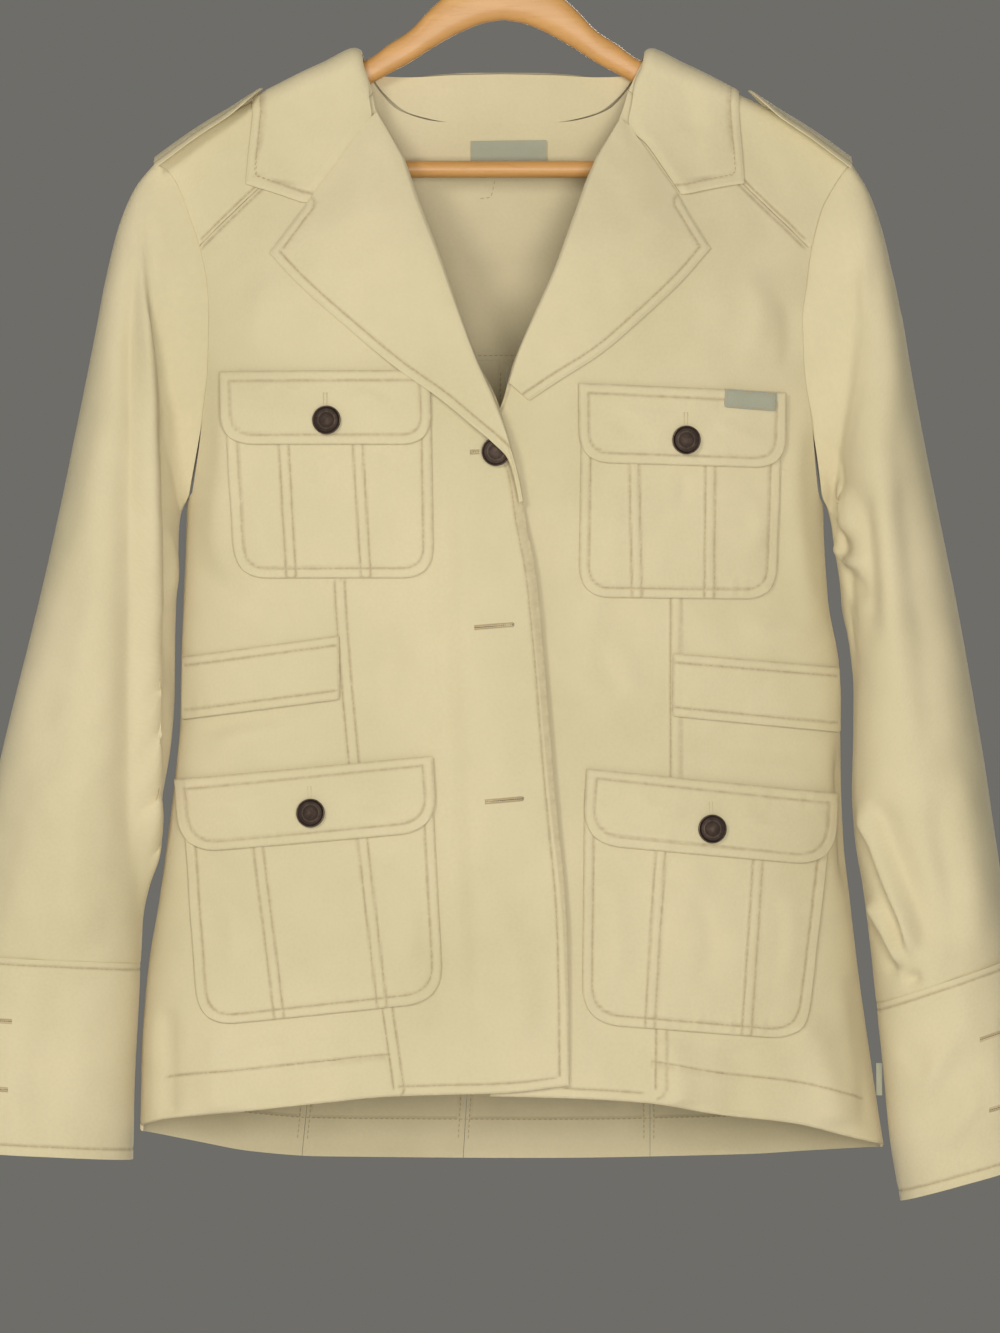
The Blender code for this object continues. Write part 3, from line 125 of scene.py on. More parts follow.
def ease(share: Array) -> Array:
    """Return a smooth step from 0 to 1: 3s^2 - 2s^3."""
    share = np.clip(share, 0, 1)
    return share * share * (3 - 2 * share)


@dataclass(frozen=True)
class Table:
    """Rows of named measures, read at any value of the first column."""

    names: str
    rows: tuple[tuple[float, ...], ...]

    def read(self, name: str, at: Array) -> Array:
        """Return one column at any values of the first one."""
        rows = np.array(self.rows, dtype=float)
        return smooth(rows[:, 0], rows[:, self.names.split().index(name)], at)

    def columns(self, at: Array) -> list[Array]:
        """Return all columns, as upright arrays, at any row numbers."""
        rows = np.array(self.rows, dtype=float)
        return [smooth(np.arange(len(rows)), rows[:, place], at)[:, None] for place in range(rows.shape[1])]

    def bent(self, at: Array, corner: int) -> list[Array]:
        """Return all columns, straight from row to row up to a corner row and smooth after it."""
        rows = np.array(self.rows, dtype=float)
        index = np.arange(len(rows))
        result = []
        for place in range(rows.shape[1]):
            curved = smooth(index[corner:], rows[corner:, place], at)
            result.append(np.where(at < corner, np.interp(at, index, rows[:, place]), curved)[:, None])
        return result

    def count(self) -> int:
        """Return the number of rows."""
        return len(self.rows)


BODY = Table("drop left right front back", (
    (120, -234.0, 236.0, 34, 22), (193, -229.0, 231.0, 40, 25), (245, -211.0, 214.0, 47, 29),
    (290, -203.0, 207.0, 51, 32), (346, -199.0, 203.0, 54, 34), (406, -195.5, 198.0, 54, 34),
    (465, -197.5, 201.0, 50, 31), (508, -199.0, 208.0, 47, 30), (539, -199.5, 208.5, 47, 30),
    (577, -203.0, 209.0, 49, 32), (614, -207.5, 210.5, 51, 34), (651, -212.5, 214.5, 53, 35),
    (694, -219.5, 219.5, 54, 36), (744, -223.5, 226.5, 55, 38), (794, -224.5, 234.0, 55, 39),
    (830, -225.5, 240.0, 55, 39)))
RIDGE = Table("out drop", ((0, 126.5), (84, 127.2), (110, 136.0), (150, 153.2), (185, 171.0), (218, 193.8),
                           (240, 212.0)))
ARMHOLE = Table("drop left right", (
    (193.9, -217.0, 217.0), (197, -209.5, 213.0), (203, -204.5, 208.6), (212, -200.0, 203.0),
    (224, -195.3, 197.0), (245, -188.3, 191.5), (267, -183.3, 188.0), (290, -181.8, 185.5),
    (318, -182.3, 186.0), (346, -185.0, 189.3), (370, -187.8, 192.2), (388, -190.2, 193.8),
    (400, -192.3, 195.2), (406, -195.5, 198.0)))
OPENING = {
    Side.LEFT: Table("drop x", (
        (127, -88.6), (140, -84.0), (149, -81.2), (160, -78.6), (192, -60.8), (216, -52.9), (251, -39.0),
        (291, -25.2), (318, -15.3), (342, -3.5), (358, 1.2), (372, 3.7), (389, 9.9), (418, 14.3),
        (446, 19.8), (489, 24.2), (573, 31.0), (673, 39.3), (766, 41.0))),
    Side.RIGHT: Table("drop x", (
        (127, 88.6), (140, 82.0), (149, 78.0), (166, 72.5), (184, 61.8), (202, 52.6), (253, 35.0),
        (290, 18.6), (319, 6.2), (345, -1.2), (362, -12.0), (380, -20.0), (480, -20.0), (589, -15.0),
        (777, -8.0))),
}
OVERLAP = Table("drop lift", ((315, 0.0), (338, 2.0), (385, 2.0), (430, 5.9), (640, 5.9), (780, 2.6)))
OVERLAP_START = 18.0
OVERLAP_RUN = 16.0
OVERLAP_TOP_DROP = 380.0
HEM = {
    Side.LEFT: Table("x drop", ((-226, 791.5), (-208, 786.5), (-160, 781.5), (-114, 776.2), (-69, 771.8),
                                (1, 769.5), (41, 765.0))),
    Side.RIGHT: Table("x drop", ((-10, 771.5), (40, 772.8), (88, 775.8), (133, 783.2), (179, 788.8),
                                 (210, 796.5), (236, 803.5))),
}
BACK_HEM = Table("x drop", ((-226, 795.0), (-191, 802.5), (-157, 809.0), (-114, 812.4), (20, 813.6),
                            (148, 811.0), (194, 808.0), (236, 805.0)))
BACK_SEAMS = Table("drop left_side middle right_side", (
    (300, -104.0, 3.0, 108.0), (420, -96.0, 0.0, 98.0), (540, -100.0, -8.0, 92.0),
    (815, -126.0, -25.0, 92.0)))
PRINCESS = {
    Side.LEFT: Table("drop x", ((160, -112.0), (300, -108.0), (451, -104.0), (562, -95.5), (717, -74.5),
                                (780, -65.5))),
    Side.RIGHT: Table("drop x", ((160, 112.0), (300, 108.0), (464, 103.5), (573, 103.5), (730, 94.5),
                                 (780, 94.0))),
}
FRONT_YOKE = Table("out drop", ((78, 148.5), (118, 177.0), (155, 212.5), (190, 246.5)))
BACK_NECK = Table("out drop", ((0, 169.5), (40, 167.5), (64, 161.0), (79, 146.0), (88.6, 127.6)))
BACK_YOKE = Table("out drop", ((0, 314.5), (110, 316.0), (190, 318.0)))
SHOULDER_END = 217.0
NECK_POINT = 88.6
YOKE_STITCH_GAP = 2.8
YOKE_FRONT_DROP = 245.3
YOKE_BACK_DROP = 318.0
UNDERARM_DROP = 406.0
ARMHOLE_TOP = 193.9
BACK_YOKE_END = 182.0
BACK_SIDE_DROP = 795.0
NECK_SEAM_DROP = {Side.LEFT: 149.5, Side.RIGHT: 150.2}
CORNER_DROP = {Side.LEFT: 764.6, Side.RIGHT: 771.6}


def curve_through(points: Sequence[Sequence[float]], count: int) -> Array:
    """Return a Catmull-Rom curve through points, in a given number of points a stretch."""
    knots = np.asarray(points, dtype=float)
    if len(knots) < 3:
        return along(knots, count + 1)
    padded = np.vstack([2 * knots[0] - knots[1], knots, 2 * knots[-1] - knots[-2]])
    share = np.linspace(0, 1, count, endpoint=False)[None, :, None]
    a, b, c, d = (padded[start:len(padded) - 3 + start, None] for start in range(4))
    curve = 0.5 * (2 * b + (c - a) * share + (2 * a - 5 * b + 4 * c - d) * share ** 2
                   + (3 * b - a - 3 * c + d) * share ** 3)
    return np.vstack([curve.reshape(-1, knots.shape[1]), knots[-1:]])


def pairs(first: Array, second: Array) -> Array:
    """Return two equal arrays side by side, as places or as (angle, drop)."""
    return np.stack([first, second], axis=-1)


def running(points: Array) -> Array:
    """Return the running length of a line of points."""
    return np.concatenate([[0], np.cumsum(np.linalg.norm(np.diff(points, axis=0), axis=1))])


def along(points: Array, count: int) -> Array:
    """Return evenly spaced points along a line."""
    return at_shares(points, np.linspace(0, 1, count))


def at_shares(points: Array, at: Array) -> Array:
    """Return points at shares of a line's running length."""
    points = np.asarray(points, dtype=float)
    reach = running(points)
    return np.stack([np.interp(at * reach[-1], reach, points[:, axis]) for axis in range(points.shape[1])], 1)


def beside(path: Array, x: Array, drop: Array) -> tuple[Array, Array]:
    """Measure places against a line.

    The nearest point of each straight stretch is found by projection, clamped to the stretch.

    Args:
        path: Points (x, drop) of the line.
        x: Places across.
        drop: Places down.

    Returns:
        The distance, negative on the line's left, and the running length of the nearest point.
    """
    start, way = path[:-1], np.diff(path, axis=0)
    size = np.maximum((way ** 2).sum(axis=1), TINY)
    off_x, off_drop = x[:, None] - start[None, :, 0], drop[:, None] - start[None, :, 1]
    share = np.clip((off_x * way[:, 0] + off_drop * way[:, 1]) / size, 0, 1)
    gap_x, gap_drop = off_x - share * way[:, 0], off_drop - share * way[:, 1]
    distance = np.hypot(gap_x, gap_drop)
    nearest = distance.argmin(axis=1)
    row = np.arange(len(x))
    turn = way[nearest, 0] * gap_drop[row, nearest] - way[nearest, 1] * gap_x[row, nearest]
    reach = running(path)
    length = reach[nearest] + share[row, nearest] * np.sqrt(size)[nearest]
    return distance[row, nearest] * np.where(turn < 0, 1, -1), length


@dataclass(frozen=True)
class Crease:
    """A fold of the cloth: a ridge, or a trough where its height is negative, along a line.

    The height falls off as exp(-(d/reach)^2) on each side and eases to nothing at the line's ends.
    """

    line: tuple[tuple[float, float], ...]
    height: float
    left: float
    right: float
    taper: float = 0.35

    def add_to(self, height: Array, x: Array, drop: Array) -> None:
        """Add the crease to heights at places.

        Args:
            height: Heights so far, changed in place.
            x: Places across.
            drop: Places down.
        """
        path = curve_through(self.line, 5)
        reach = 2.6 * max(self.left, self.right)
        low, high = path.min(axis=0) - reach, path.max(axis=0) + reach
        near = (x > low[0]) & (x < high[0]) & (drop > low[1]) & (drop < high[1])
        if not near.any():
            return
        distance, length = beside(path, x[near], drop[near])
        share = length / running(path)[-1]
        fade = ease(share / self.taper) * ease((1 - share) / self.taper) if self.taper else 1.0
        width = np.where(distance < 0, self.left, self.right)
        height[near] += self.height * bell(distance, width) * fade


def fold_height(creases: Sequence[Crease], x: Array, drop: Array) -> Array:
    """Return the summed height of creases at places of any shape."""
    flat_x, flat_drop = x.ravel(), drop.ravel()
    height = crumple(flat_x, flat_drop)
    for crease in creases:
        crease.add_to(height, flat_x, flat_drop)
    return height.reshape(x.shape)


def crumple(x: Array, drop: Array) -> Array:
    """Return the washed cloth's slight unevenness: crossed waves of 25 to 80 mm that bend each other."""
    bend = 7.0 * np.sin(drop / 23.0 + 1.1)
    sway = 8.0 * np.sin(x / 19.0 + 0.7)
    small = 0.20 * np.sin((x + bend) / 4.3) * np.sin((drop + sway) / 9.1 + 0.6)
    slant, across = 0.8 * x + 0.6 * drop + bend, 0.9 * drop - 0.5 * x + sway
    return small + 0.34 * np.sin(slant / 7.7) * np.sin(across / 13.0 + 1.9)


def bell(distance: Array, width: float | Array) -> Array:
    """Return exp(-(d/w)^2): 1 where the distance is nothing, and fading on both sides."""
    return np.exp(-(distance / width) ** 2)


def ripple(length: Array, phase: float) -> Array:
    """Return uneven small waves along a seam: three sines of unlike lengths, 5 to 17 mm."""
    return (np.sin(length / 1.05 + phase) * 0.5 + np.sin(length / 1.6 + 2.3 * phase) * 0.55
            + np.sin(length / 2.9 + 4.1 * phase) * 0.55) * (0.7 + 0.4 * np.sin(length / 21 + 2 * phase))


@dataclass(frozen=True)
class Seam:
    """A line of sewing on one piece: its stitch rows, the raised cloth between them and its pucker."""

    line: tuple[tuple[float, float], ...] | Array
    rows: tuple[float, ...] = (0.0,)
    welt: float = 0.0
    groove: float = 0.42
    pucker: float = 0.3
    phase: float = 0.0

    def path(self) -> Array:
        """Return the seam's line as points."""
        return np.asarray(self.line, dtype=float)

    def relief(self, x: Array, drop: Array) -> tuple[Array, Array]:
        """Return the height that the seam adds and how strongly it shows, at places.

        Each row is a groove exp(-(d/0.8)^2). The welt between the outer rows is a smooth step. The
        pucker is a ripple along the line that fades as exp(-(d/s)^2), where s is 5 mm and half the rows'
        spacing.

        Args:
            x: Places across, flat.
            drop: Places down, flat.

        Returns:
            The added height and the seam mask, which paints the stitch lines' colour and the shade in their
            grooves.
        """
        height, mask = np.zeros(x.shape), np.zeros(x.shape)
        path = self.path()
        low, high = path.min(axis=0) - 16, path.max(axis=0) + 16
        near = (x > low[0]) & (x < high[0]) & (drop > low[1]) & (drop < high[1])
        if not near.any():
            return height, mask
        distance, length = beside(path, x[near], drop[near])
        rise = np.zeros(distance.shape)
        show = np.zeros(distance.shape)
        for row in self.rows:
            rise -= self.groove * bell(distance - row, GROOVE_WIDTH)
            # The mask darkens each row: the thread line's own colour and painted shade in its groove.
            show = np.maximum(show, bell(distance - row, ROW_WIDTH))
        first, last = min(self.rows), max(self.rows)
        rise += self.welt * ease((distance - first + 2.2) / 1.6) * ease((last + 2.2 - distance) / 1.6)
        middle = (first + last) / 2
        spread = 5.0 + (last - first) / 2
        rise += self.pucker * ripple(length, self.phase + 1.0) * bell(distance - middle, spread)
        height[near] = rise
        mask[near] = show
        return height, mask

    def stitch_lines(self) -> list[Array]:
        """Return the line of each stitch row: the seam's line moved sideways along its own normals."""
        path = curve_through(self.path(), 4) if len(self.path()) < 12 else self.path()
        way = np.gradient(path, axis=0)
        way /= np.maximum(np.linalg.norm(way, axis=1, keepdims=True), TINY)
        aside = pairs(way[:, 1], -way[:, 0])
        return [path + aside * row for row in self.rows]


class BodyForm:
    """The surface that the hung cloth follows: a quarter round over the hanger, then an oval body."""

    step_angle: float = 0.002
    step_length: float = 0.5

    def ridge(self, x: Array) -> Array:
        """Return the drop of the shoulder line."""
        return RIDGE.read("drop", np.abs(x))

    def depth(self, x: Array, drop: Array, face: Face) -> Array:
        """Return how far the cloth stands in front of or behind the hanger's plane.

        Over the hanger it is a quarter round. Below that it eases out to the oval (1 - s^2)^(f/2) times
        the fullness, where s runs from the middle to the side edge.

        Args:
            x: Places across.
            drop: Places down.
            face: Front or back.

        Returns:
            The depth, always positive.
        """
        left, right = BODY.read("left", drop), BODY.read("right", drop)
        full = BODY.read("front" if face is Face.FRONT else "back", drop)
        share = np.clip(np.abs(x - (left + right) / 2) / ((right - left) / 2), 0, 1)
        oval = (1 - share ** 2) ** (FLATNESS / 2)
        near = RIDGE_RADIUS * (1 - (1 - np.clip(oval / RIDGE_FADE, 0, 1)) ** 2)
        below = np.maximum(drop - self.ridge(x), 0)
        bend = np.sqrt(np.maximum(1 - (1 - np.clip(below / RIDGE_RADIUS, 0, 1)) ** 2, 0))
        return near * bend + np.maximum(full * oval - near, 0) * ease(below / HANG_LENGTH)

    def on_body(self, angle: Array, drop: Array, face: Face) -> Array:
        """Return points at angles round the body, with 0 in the middle and a quarter turn at the sides."""
        angle = np.clip(angle, -math.pi / 2, math.pi / 2)
        left, right = BODY.read("left", drop), BODY.read("right", drop)
        x = (left + right) / 2 + (right - left) / 2 * np.sin(angle)
        return np.stack([x, face.value * (self.depth(x, drop, face) + SEAM_GAP / 2), -drop], axis=-1)

    def over_shoulder(self, x: Array, arc: Array) -> Array:
        """Return points at a distance along the cloth from the shoulder line, negative in front."""
        turn = np.minimum(np.abs(arc) / RIDGE_RADIUS, math.pi / 2)
        below = RIDGE_RADIUS * (1 - np.cos(turn)) + np.abs(arc) - turn * RIDGE_RADIUS
        drop = self.ridge(x) + below
        y = np.where(arc < 0, -self.depth(x, drop, Face.FRONT) - SEAM_GAP / 2,
                     self.depth(x, drop, Face.BACK) + SEAM_GAP / 2)
        return np.stack([x, y, -drop], axis=-1)

    def to_angle(self, x: Array, drop: Array) -> Array:
        """Return the angle round the body of places seen from the front."""
        left, right = BODY.read("left", drop), BODY.read("right", drop)
        return np.arcsin(np.clip((x - (left + right) / 2) / ((right - left) / 2), -1, 1))

    def to_arc(self, x: Array, drop: Array, face: Face) -> Array:
        """Return the distance along the cloth from the shoulder line down to a drop."""
        below = np.maximum(drop - self.ridge(x), 0)
        turn = np.arccos(np.clip(1 - below / RIDGE_RADIUS, 0, 1))
        return face.value * (RIDGE_RADIUS * turn + np.maximum(below - RIDGE_RADIUS, 0))

    def body_frame(self, angle: Array, drop: Array, face: Face) -> tuple[Array, Array]:
        """Return points on the body and their outward normals, from the slopes both ways."""
        across = (self.on_body(angle + self.step_angle, drop, face)
                  - self.on_body(angle - self.step_angle, drop, face))
        down = (self.on_body(angle, drop + self.step_length, face)
                - self.on_body(angle, drop - self.step_length, face))
        return self.on_body(angle, drop, face), unit(np.cross(across, down)) * face.value

    def shoulder_frame(self, x: Array, arc: Array) -> tuple[Array, Array]:
        """Return points over the shoulder and their outward normals, from the slopes both ways."""
        step = self.step_length
        across = self.over_shoulder(x + step, arc) - self.over_shoulder(x - step, arc)
        down = self.over_shoulder(x, arc + step) - self.over_shoulder(x, arc - step)
        return self.over_shoulder(x, arc), unit(np.cross(across, down))


FORM = BodyForm()


def unit(vectors: Array) -> Array:
    """Return vectors at length one."""
    return vectors / np.maximum(np.linalg.norm(vectors, axis=-1, keepdims=True), TINY)


def grid_normals(points: Array, sign: float, closed: bool = False) -> Array:
    """Return unit normals of a grid from its neighbouring points.

    Args:
        points: Grid of points.
        sign: 1 or -1, for the outward side.
        closed: Whether the last column meets the first.

    Returns:
        A grid of normals.
    """
    down = np.gradient(points, axis=0)
    if closed:
        wide = np.concatenate([points[:, -1:], points, points[:, :1]], axis=1)
        across = (wide[:, 2:] - wide[:, :-2]) / 2
    else:
        across = np.gradient(points, axis=1)
    return unit(np.cross(down, across)) * sign


def stations(length: float, fine_start: bool, fine_end: bool, step: float = GRID_STEP,
             extra: Sequence[float] = ()) -> Array:
    """Return shares along a length, close together at the ends that carry sewing and at extra places."""
    fine = np.array(FINE_STEPS)
    first = fine if fine_start else fine[:1]
    last = length - (fine if fine_end else fine[:1])
    count = max(int(round((last[-1] - first[-1]) / step)), 2)
    middle = np.linspace(first[-1], last[-1], count + 1)[1:-1]
    for place in extra:
        near = place + np.arange(-3.0, 3.1, 0.75)
        middle = np.concatenate([middle[np.abs(middle - place) > 3.6], near])
    return np.concatenate([first, np.sort(middle), last[::-1]]) / length


def crossing(gap: Array, level: float, *grids: Array) -> list[Array]:
    """Return what grids hold where each row's gap falls to a level, worked out in a straight line.

    Args:
        gap: Distances from an edge, falling along each row.
        level: The distance to find.
        grids: Grids of vectors.

    Returns:
        One line of vectors for each grid, without the rows that stay below the level.
    """
    keep = gap[:, 0] > level + 0.3
    gap = gap[keep]
    rows = np.arange(len(gap))
    index = np.clip((gap > level).sum(axis=1), 1, gap.shape[1] - 1)
    before, after = gap[rows, index - 1], gap[rows, index]
    share = np.clip((before - level) / np.maximum(before - after, TINY), 0, 1)[:, None]
    return [grid[keep][rows, index - 1] * (1 - share) + grid[keep][rows, index] * share for grid in grids]


def coons(top: Array, bottom: Array, left: Array, right: Array) -> Array:
    """Fill a patch between four edges: blend across, blend down, and take off the corners' blend."""
    u = edge_shares(top, bottom)[None, :, None]
    v = edge_shares(left, right)[:, None, None]
    across = (1 - u) * left[:, None] + u * right[:, None]
    down = (1 - v) * top[None] + v * bottom[None]
    corners = ((1 - u) * (1 - v) * top[0] + u * (1 - v) * top[-1]
               + (1 - u) * v * bottom[0] + u * v * bottom[-1])
    return across + down - corners


def edge_shares(first: Array, second: Array) -> Array:
    """Return the mean running share of two facing edges."""
    parts = [running(edge) for edge in (first, second)]
    return sum(part / max(part[-1], TINY) for part in parts) / 2


def as_angles(places: Array) -> Array:
    """Return places seen from the front as (angle, drop)."""
    return pairs(FORM.to_angle(places[..., 0], places[..., 1]), places[..., 1])


def as_arcs(places: Array, face: Face) -> Array:
    """Return places seen from the front as (x, arc)."""
    arcs = FORM.to_arc(places[..., 0], places[..., 1], face)
    return pairs(places[..., 0], arcs)


def new_mesh(name: str, points: Array, faces: Array, uv: Array | None = None,
             masks: dict[str, Array] | None = None, sharp: float = 55.0) -> bpy.types.Object:
    """Make a mesh object from arrays, turned so that its faces point outwards.

    Args:
        name: The piece's name.
        points: Points in millimetres.
        faces: Four corners a face.
        uv: A flat place for each point, in millimetres.
        masks: Named values for each point.
        sharp: Angle in degrees above which an edge is sharp.

    Returns:
        The new object.
    """
    points = points.reshape(-1, 3) * MM
    corner = points[faces]
    volume = (np.einsum("ij,ij->", corner[:, 0], np.cross(corner[:, 1], corner[:, 2]))
              + np.einsum("ij,ij->", corner[:, 0], np.cross(corner[:, 2], corner[:, 3])))
    if volume < 0:
        faces = faces[:, ::-1]
    faces = np.ascontiguousarray(faces, dtype=np.int32)
    mesh = bpy.data.meshes.new(name)
    mesh.vertices.add(len(points))
    mesh.vertices.foreach_set("co", points.astype(np.float32).ravel())
    mesh.loops.add(faces.size)
    mesh.loops.foreach_set("vertex_index", faces.ravel())
    mesh.polygons.add(len(faces))
    mesh.polygons.foreach_set("loop_start", np.arange(0, faces.size, 4, dtype=np.int32))
    mesh.update(calc_edges=True)
    if uv is not None:
        layer = mesh.uv_layers.new(name="UVMap")
        layer.data.foreach_set("uv", (uv.reshape(-1, 2) * MM)[faces.ravel()].astype(np.float32).ravel())
    for key, values in (masks or {}).items():
        attribute = mesh.attributes.new(key, "FLOAT", "POINT")
        attribute.data.foreach_set("value", values.ravel().astype(np.float32))
    mesh.shade_smooth()
    mesh.set_sharp_from_angle(angle=math.radians(sharp))
    piece = bpy.data.objects.new(name, mesh)
    bpy.context.collection.objects.link(piece)
    return piece


def grid_faces(rows: int, columns: int, closed: bool) -> Array:
    """Return the four corners of each face of a grid."""
    index = np.arange(rows * columns).reshape(rows, columns)
    if closed:
        index = np.concatenate([index, index[:, :1]], axis=1)
    return np.stack([index[:-1, :-1], index[:-1, 1:], index[1:, 1:], index[1:, :-1]], axis=-1).reshape(-1, 4)


def end_fans(rows: int, sides: int) -> list[Array]:
    """Return the faces that close both ends of a ringed body, whose two middle points come last."""
    total = rows * sides
    base = total - sides
    even = np.arange(0, sides, 2)
    after = (even + 2) % sides
    return [np.stack([np.full(len(even), total), after, even + 1, even], axis=1),
            np.stack([np.full(len(even), total + 1), even + base, even + 1 + base, after + base], axis=1)]


def wall_faces(rows: int, columns: int, closed: bool) -> Array:
    """Return the faces of a wall between two grids: both sheets and the rim that joins them."""
    count = rows * columns
    outer = grid_faces(rows, columns, closed)
    index = np.arange(count).reshape(rows, columns)
    if closed:
        rims = [np.append(index[0], index[0, 0]), np.append(index[-1], index[-1, 0])[::-1]]
    else:
        rims = [np.concatenate([index[0], index[1:, -1], index[-1, -2::-1], index[-2::-1, 0]])]
    sides = [np.stack([rim[1:], rim[:-1], rim[:-1] + count, rim[1:] + count], axis=-1) for rim in rims]
    return np.concatenate([outer, outer[:, ::-1] + count] + sides)


@dataclass
class ClothGrid:
    """A piece of cloth as a grid: its inner points, outward normals, thickness, flat places and masks."""

    inner: Array
    normals: Array
    thickness: Array
    uv: Array
    seam: Array
    fold: Array
    closed: bool = False

    def outer(self) -> Array:
        """Return the points of the outer side."""
        return self.inner + self.normals * self.thickness[..., None]

    def build(self, name: str) -> bpy.types.Object:
        """Make the closed thin shell, with its flat places and masks."""
        outer = self.outer()
        points = np.concatenate([outer.reshape(-1, 3), self.inner.reshape(-1, 3)])
        uv = np.concatenate([self.uv.reshape(-1, 2)] * 2)
        # The seam mask, on the outer side only, paints stitch lines and shade along rows and free edges.
        masks = {"seam": np.concatenate([self.seam.ravel(), 0 * self.seam.ravel()]),
                 "fold": np.concatenate([self.fold.ravel(), self.fold.ravel()])}
        faces = wall_faces(*self.inner.shape[:2], self.closed)
        return new_mesh(name, points, faces, uv, masks)


class Needle:
    """Collects rows of stitches and makes them into one mesh of small beads of thread."""

    pitch: float = 3.3
    length: float = 2.3
    half_width: float = 0.36
    height: float = 0.36
    spread: float = 1.0

    def __init__(self) -> None:
        """Start with no stitches."""
        self.starts: list[Array] = []
        self.ends: list[Array] = []
        self.normals: list[Array] = []

    @classmethod
    def worked(cls) -> tuple["Needle", "Needle"]:
        """Return a needle for the close stitches round a buttonhole, and one for dark beads that paint the
        shade in the slit between.
        """
        round_it, slit = cls(), cls()
        round_it.pitch, round_it.length, round_it.half_width, round_it.height = 0.62, 0.5, 0.8, 0.45
        slit.pitch, slit.length, slit.half_width, slit.height = 1.3, 1.35, 0.34, 0.12
        return round_it, slit

    def sew(self, points: Array, normals: Array) -> None:
        """Add a row of stitches along points on the cloth.

        Args:
            points: Close points along the row, on the cloth's outer side.
            normals: The cloth's normals there.
        """
        reach = running(points)
        count = int(reach[-1] / self.pitch)
        if count < 1:
            return
        middle = (np.arange(count) + 0.5) * reach[-1] / count
        for shift, store in ((-self.length / 2, self.starts), (self.length / 2, self.ends)):
            at = middle + shift
            store.append(np.stack([np.interp(at, reach, points[:, axis]) for axis in range(3)], axis=1))
        normal = np.stack([np.interp(middle, reach, normals[:, axis]) for axis in range(3)], axis=1)
        self.normals.append(unit(normal))

    def build(self, name: str) -> bpy.types.Object | None:
        """Make the beads: three sections of four corners each, low at both ends."""
        if not self.starts:
            return None
        start, end, up = (np.concatenate(part) for part in (self.starts, self.ends, self.normals))
        side = unit(np.cross(unit(end - start), up))
        share = np.array([0.0, 0.5, 1.0])[None, :, None, None]
        wide = np.array([0.55, 1.0, 0.55])[None, :, None, None] * self.half_width
        high = np.array([0.1, 1.0, 0.1])[None, :, None, None] * self.height
        across = np.array([-1.0, 0.0, 1.0, 0.0])[None, None, :, None]
        rise = np.array([0.0, 1.0, 0.0, 0.0])[None, None, :, None]
        sink = np.array([-0.02, 0.0, -0.02, -0.24])[None, None, :, None]
        line = start[:, None, None] + (end - start)[:, None, None] * share
        points = line + side[:, None, None] * across * wide + up[:, None, None] * (rise * high + sink)
        ring = np.arange(4)
        following = (ring + 1) % 4
        bands = [np.stack([ring + base, following + base, following + base + 4, ring + base + 4], axis=1)
                 for base in (0, 4)]
        ends = [np.array([[3, 2, 1, 0]]), np.array([[8, 9, 10, 11]])]
        one = np.concatenate(bands + ends)
        faces = (one[None] + 12 * np.arange(len(start))[:, None, None]).reshape(-1, 4)
        return new_mesh(name, points, faces)


@dataclass
class Layer:
    """One thickness of cloth that follows the body's form, with its own sewing and shared folds."""

    face: Face
    creases: Sequence[Crease]
    lift: float = 0.0
    thickness: float = CLOTH
    seams: list[Seam] = field(default_factory=list)
    over: bool = False
    inner_fold: float = 0.0
    side_fade: float = 0.35
    # How dark the painted shade along free edges is.
    rim_shade: float = 0.8

    def sewing(self, x: Array, drop: Array) -> tuple[Array, Array]:
        """Return the sewing's added thickness and its mask of stitch lines with painted shade in their
        grooves.
        """
        height, mask = np.zeros(x.size), np.zeros(x.size)
        for seam in self.seams:
            rise, show = seam.relief(x.ravel(), drop.ravel())
            height += rise
            mask = np.maximum(mask, show)
        return height.reshape(x.shape), mask.reshape(x.shape)

    def overlap(self, x: Array, drop: Array) -> Array:
        """Return how far the left front is raised where it lies over the right one."""
        start = OPENING[Side.RIGHT].read("x", np.maximum(drop, OVERLAP_TOP_DROP)) - OVERLAP_START
        return OVERLAP.read("lift", drop) * ease((x - start) / OVERLAP_RUN)

    def finish(self, points: Array, normals: Array, uv: Array, lift: Array | float = 0.0,
               rim: Array | None = None) -> ClothGrid:
        """Raise a grid of the form to the layer, fold it and sew it.

        Args:
            points: Grid on the bare form.
            normals: Its outward normals.
            uv: Flat places.
            lift: Height over the layer's own lift.
            rim: Distance from the nearest free edge, for its rounded rim and the painted shade along it.

        Returns:
            The cloth as a grid.
        """
        x, drop = points[..., 0], -points[..., 2]
        fold = fold_height(self.creases, x, drop) * ease(np.abs(normals[..., 1]) / self.side_fade)
        raised = self.lift + lift + fold
        if self.over:
            raised = raised + self.overlap(x, drop)
        rise, mask = self.sewing(x, drop)
        thickness = self.thickness + rise
        if rim is not None:
            thickness = thickness * (0.5 + 0.5 * ease(rim / 1.8))
            # Painted shade along the free edges, added to the seam mask.
            mask = np.maximum(mask, self.rim_shade * bell(rim, GROOVE_WIDTH))
        inner = points + normals * np.broadcast_to(raised, x.shape)[..., None]
        return ClothGrid(inner, normals, np.maximum(thickness, 0.35), uv, mask, fold)

    def on_top(self, places: Array, inside: bool = False) -> tuple[Array, Array]:
        """Return points and normals on the outer side, or on the inside, at places (x, drop)."""
        turned = as_angles(places)
        points, normals = FORM.body_frame(turned[:, 0], turned[:, 1], self.face)
        grid = self.finish(points[None], normals[None], np.zeros((1, len(places), 2)))
        if inside:
            return (grid.inner - grid.normals * self.inner_fold)[0], -grid.normals[0]
        return grid.outer()[0], grid.normals[0]

    def sew(self, needle: Needle, inside: bool = False) -> None:
        """Put stitches on every row of every seam, outside or inside the garment."""
        for seam in self.seams:
            for line in seam.stitch_lines():
                places = along(line, max(int(running(line)[-1] / 1.5), 3))
                needle.sew(*self.on_top(places, inside))


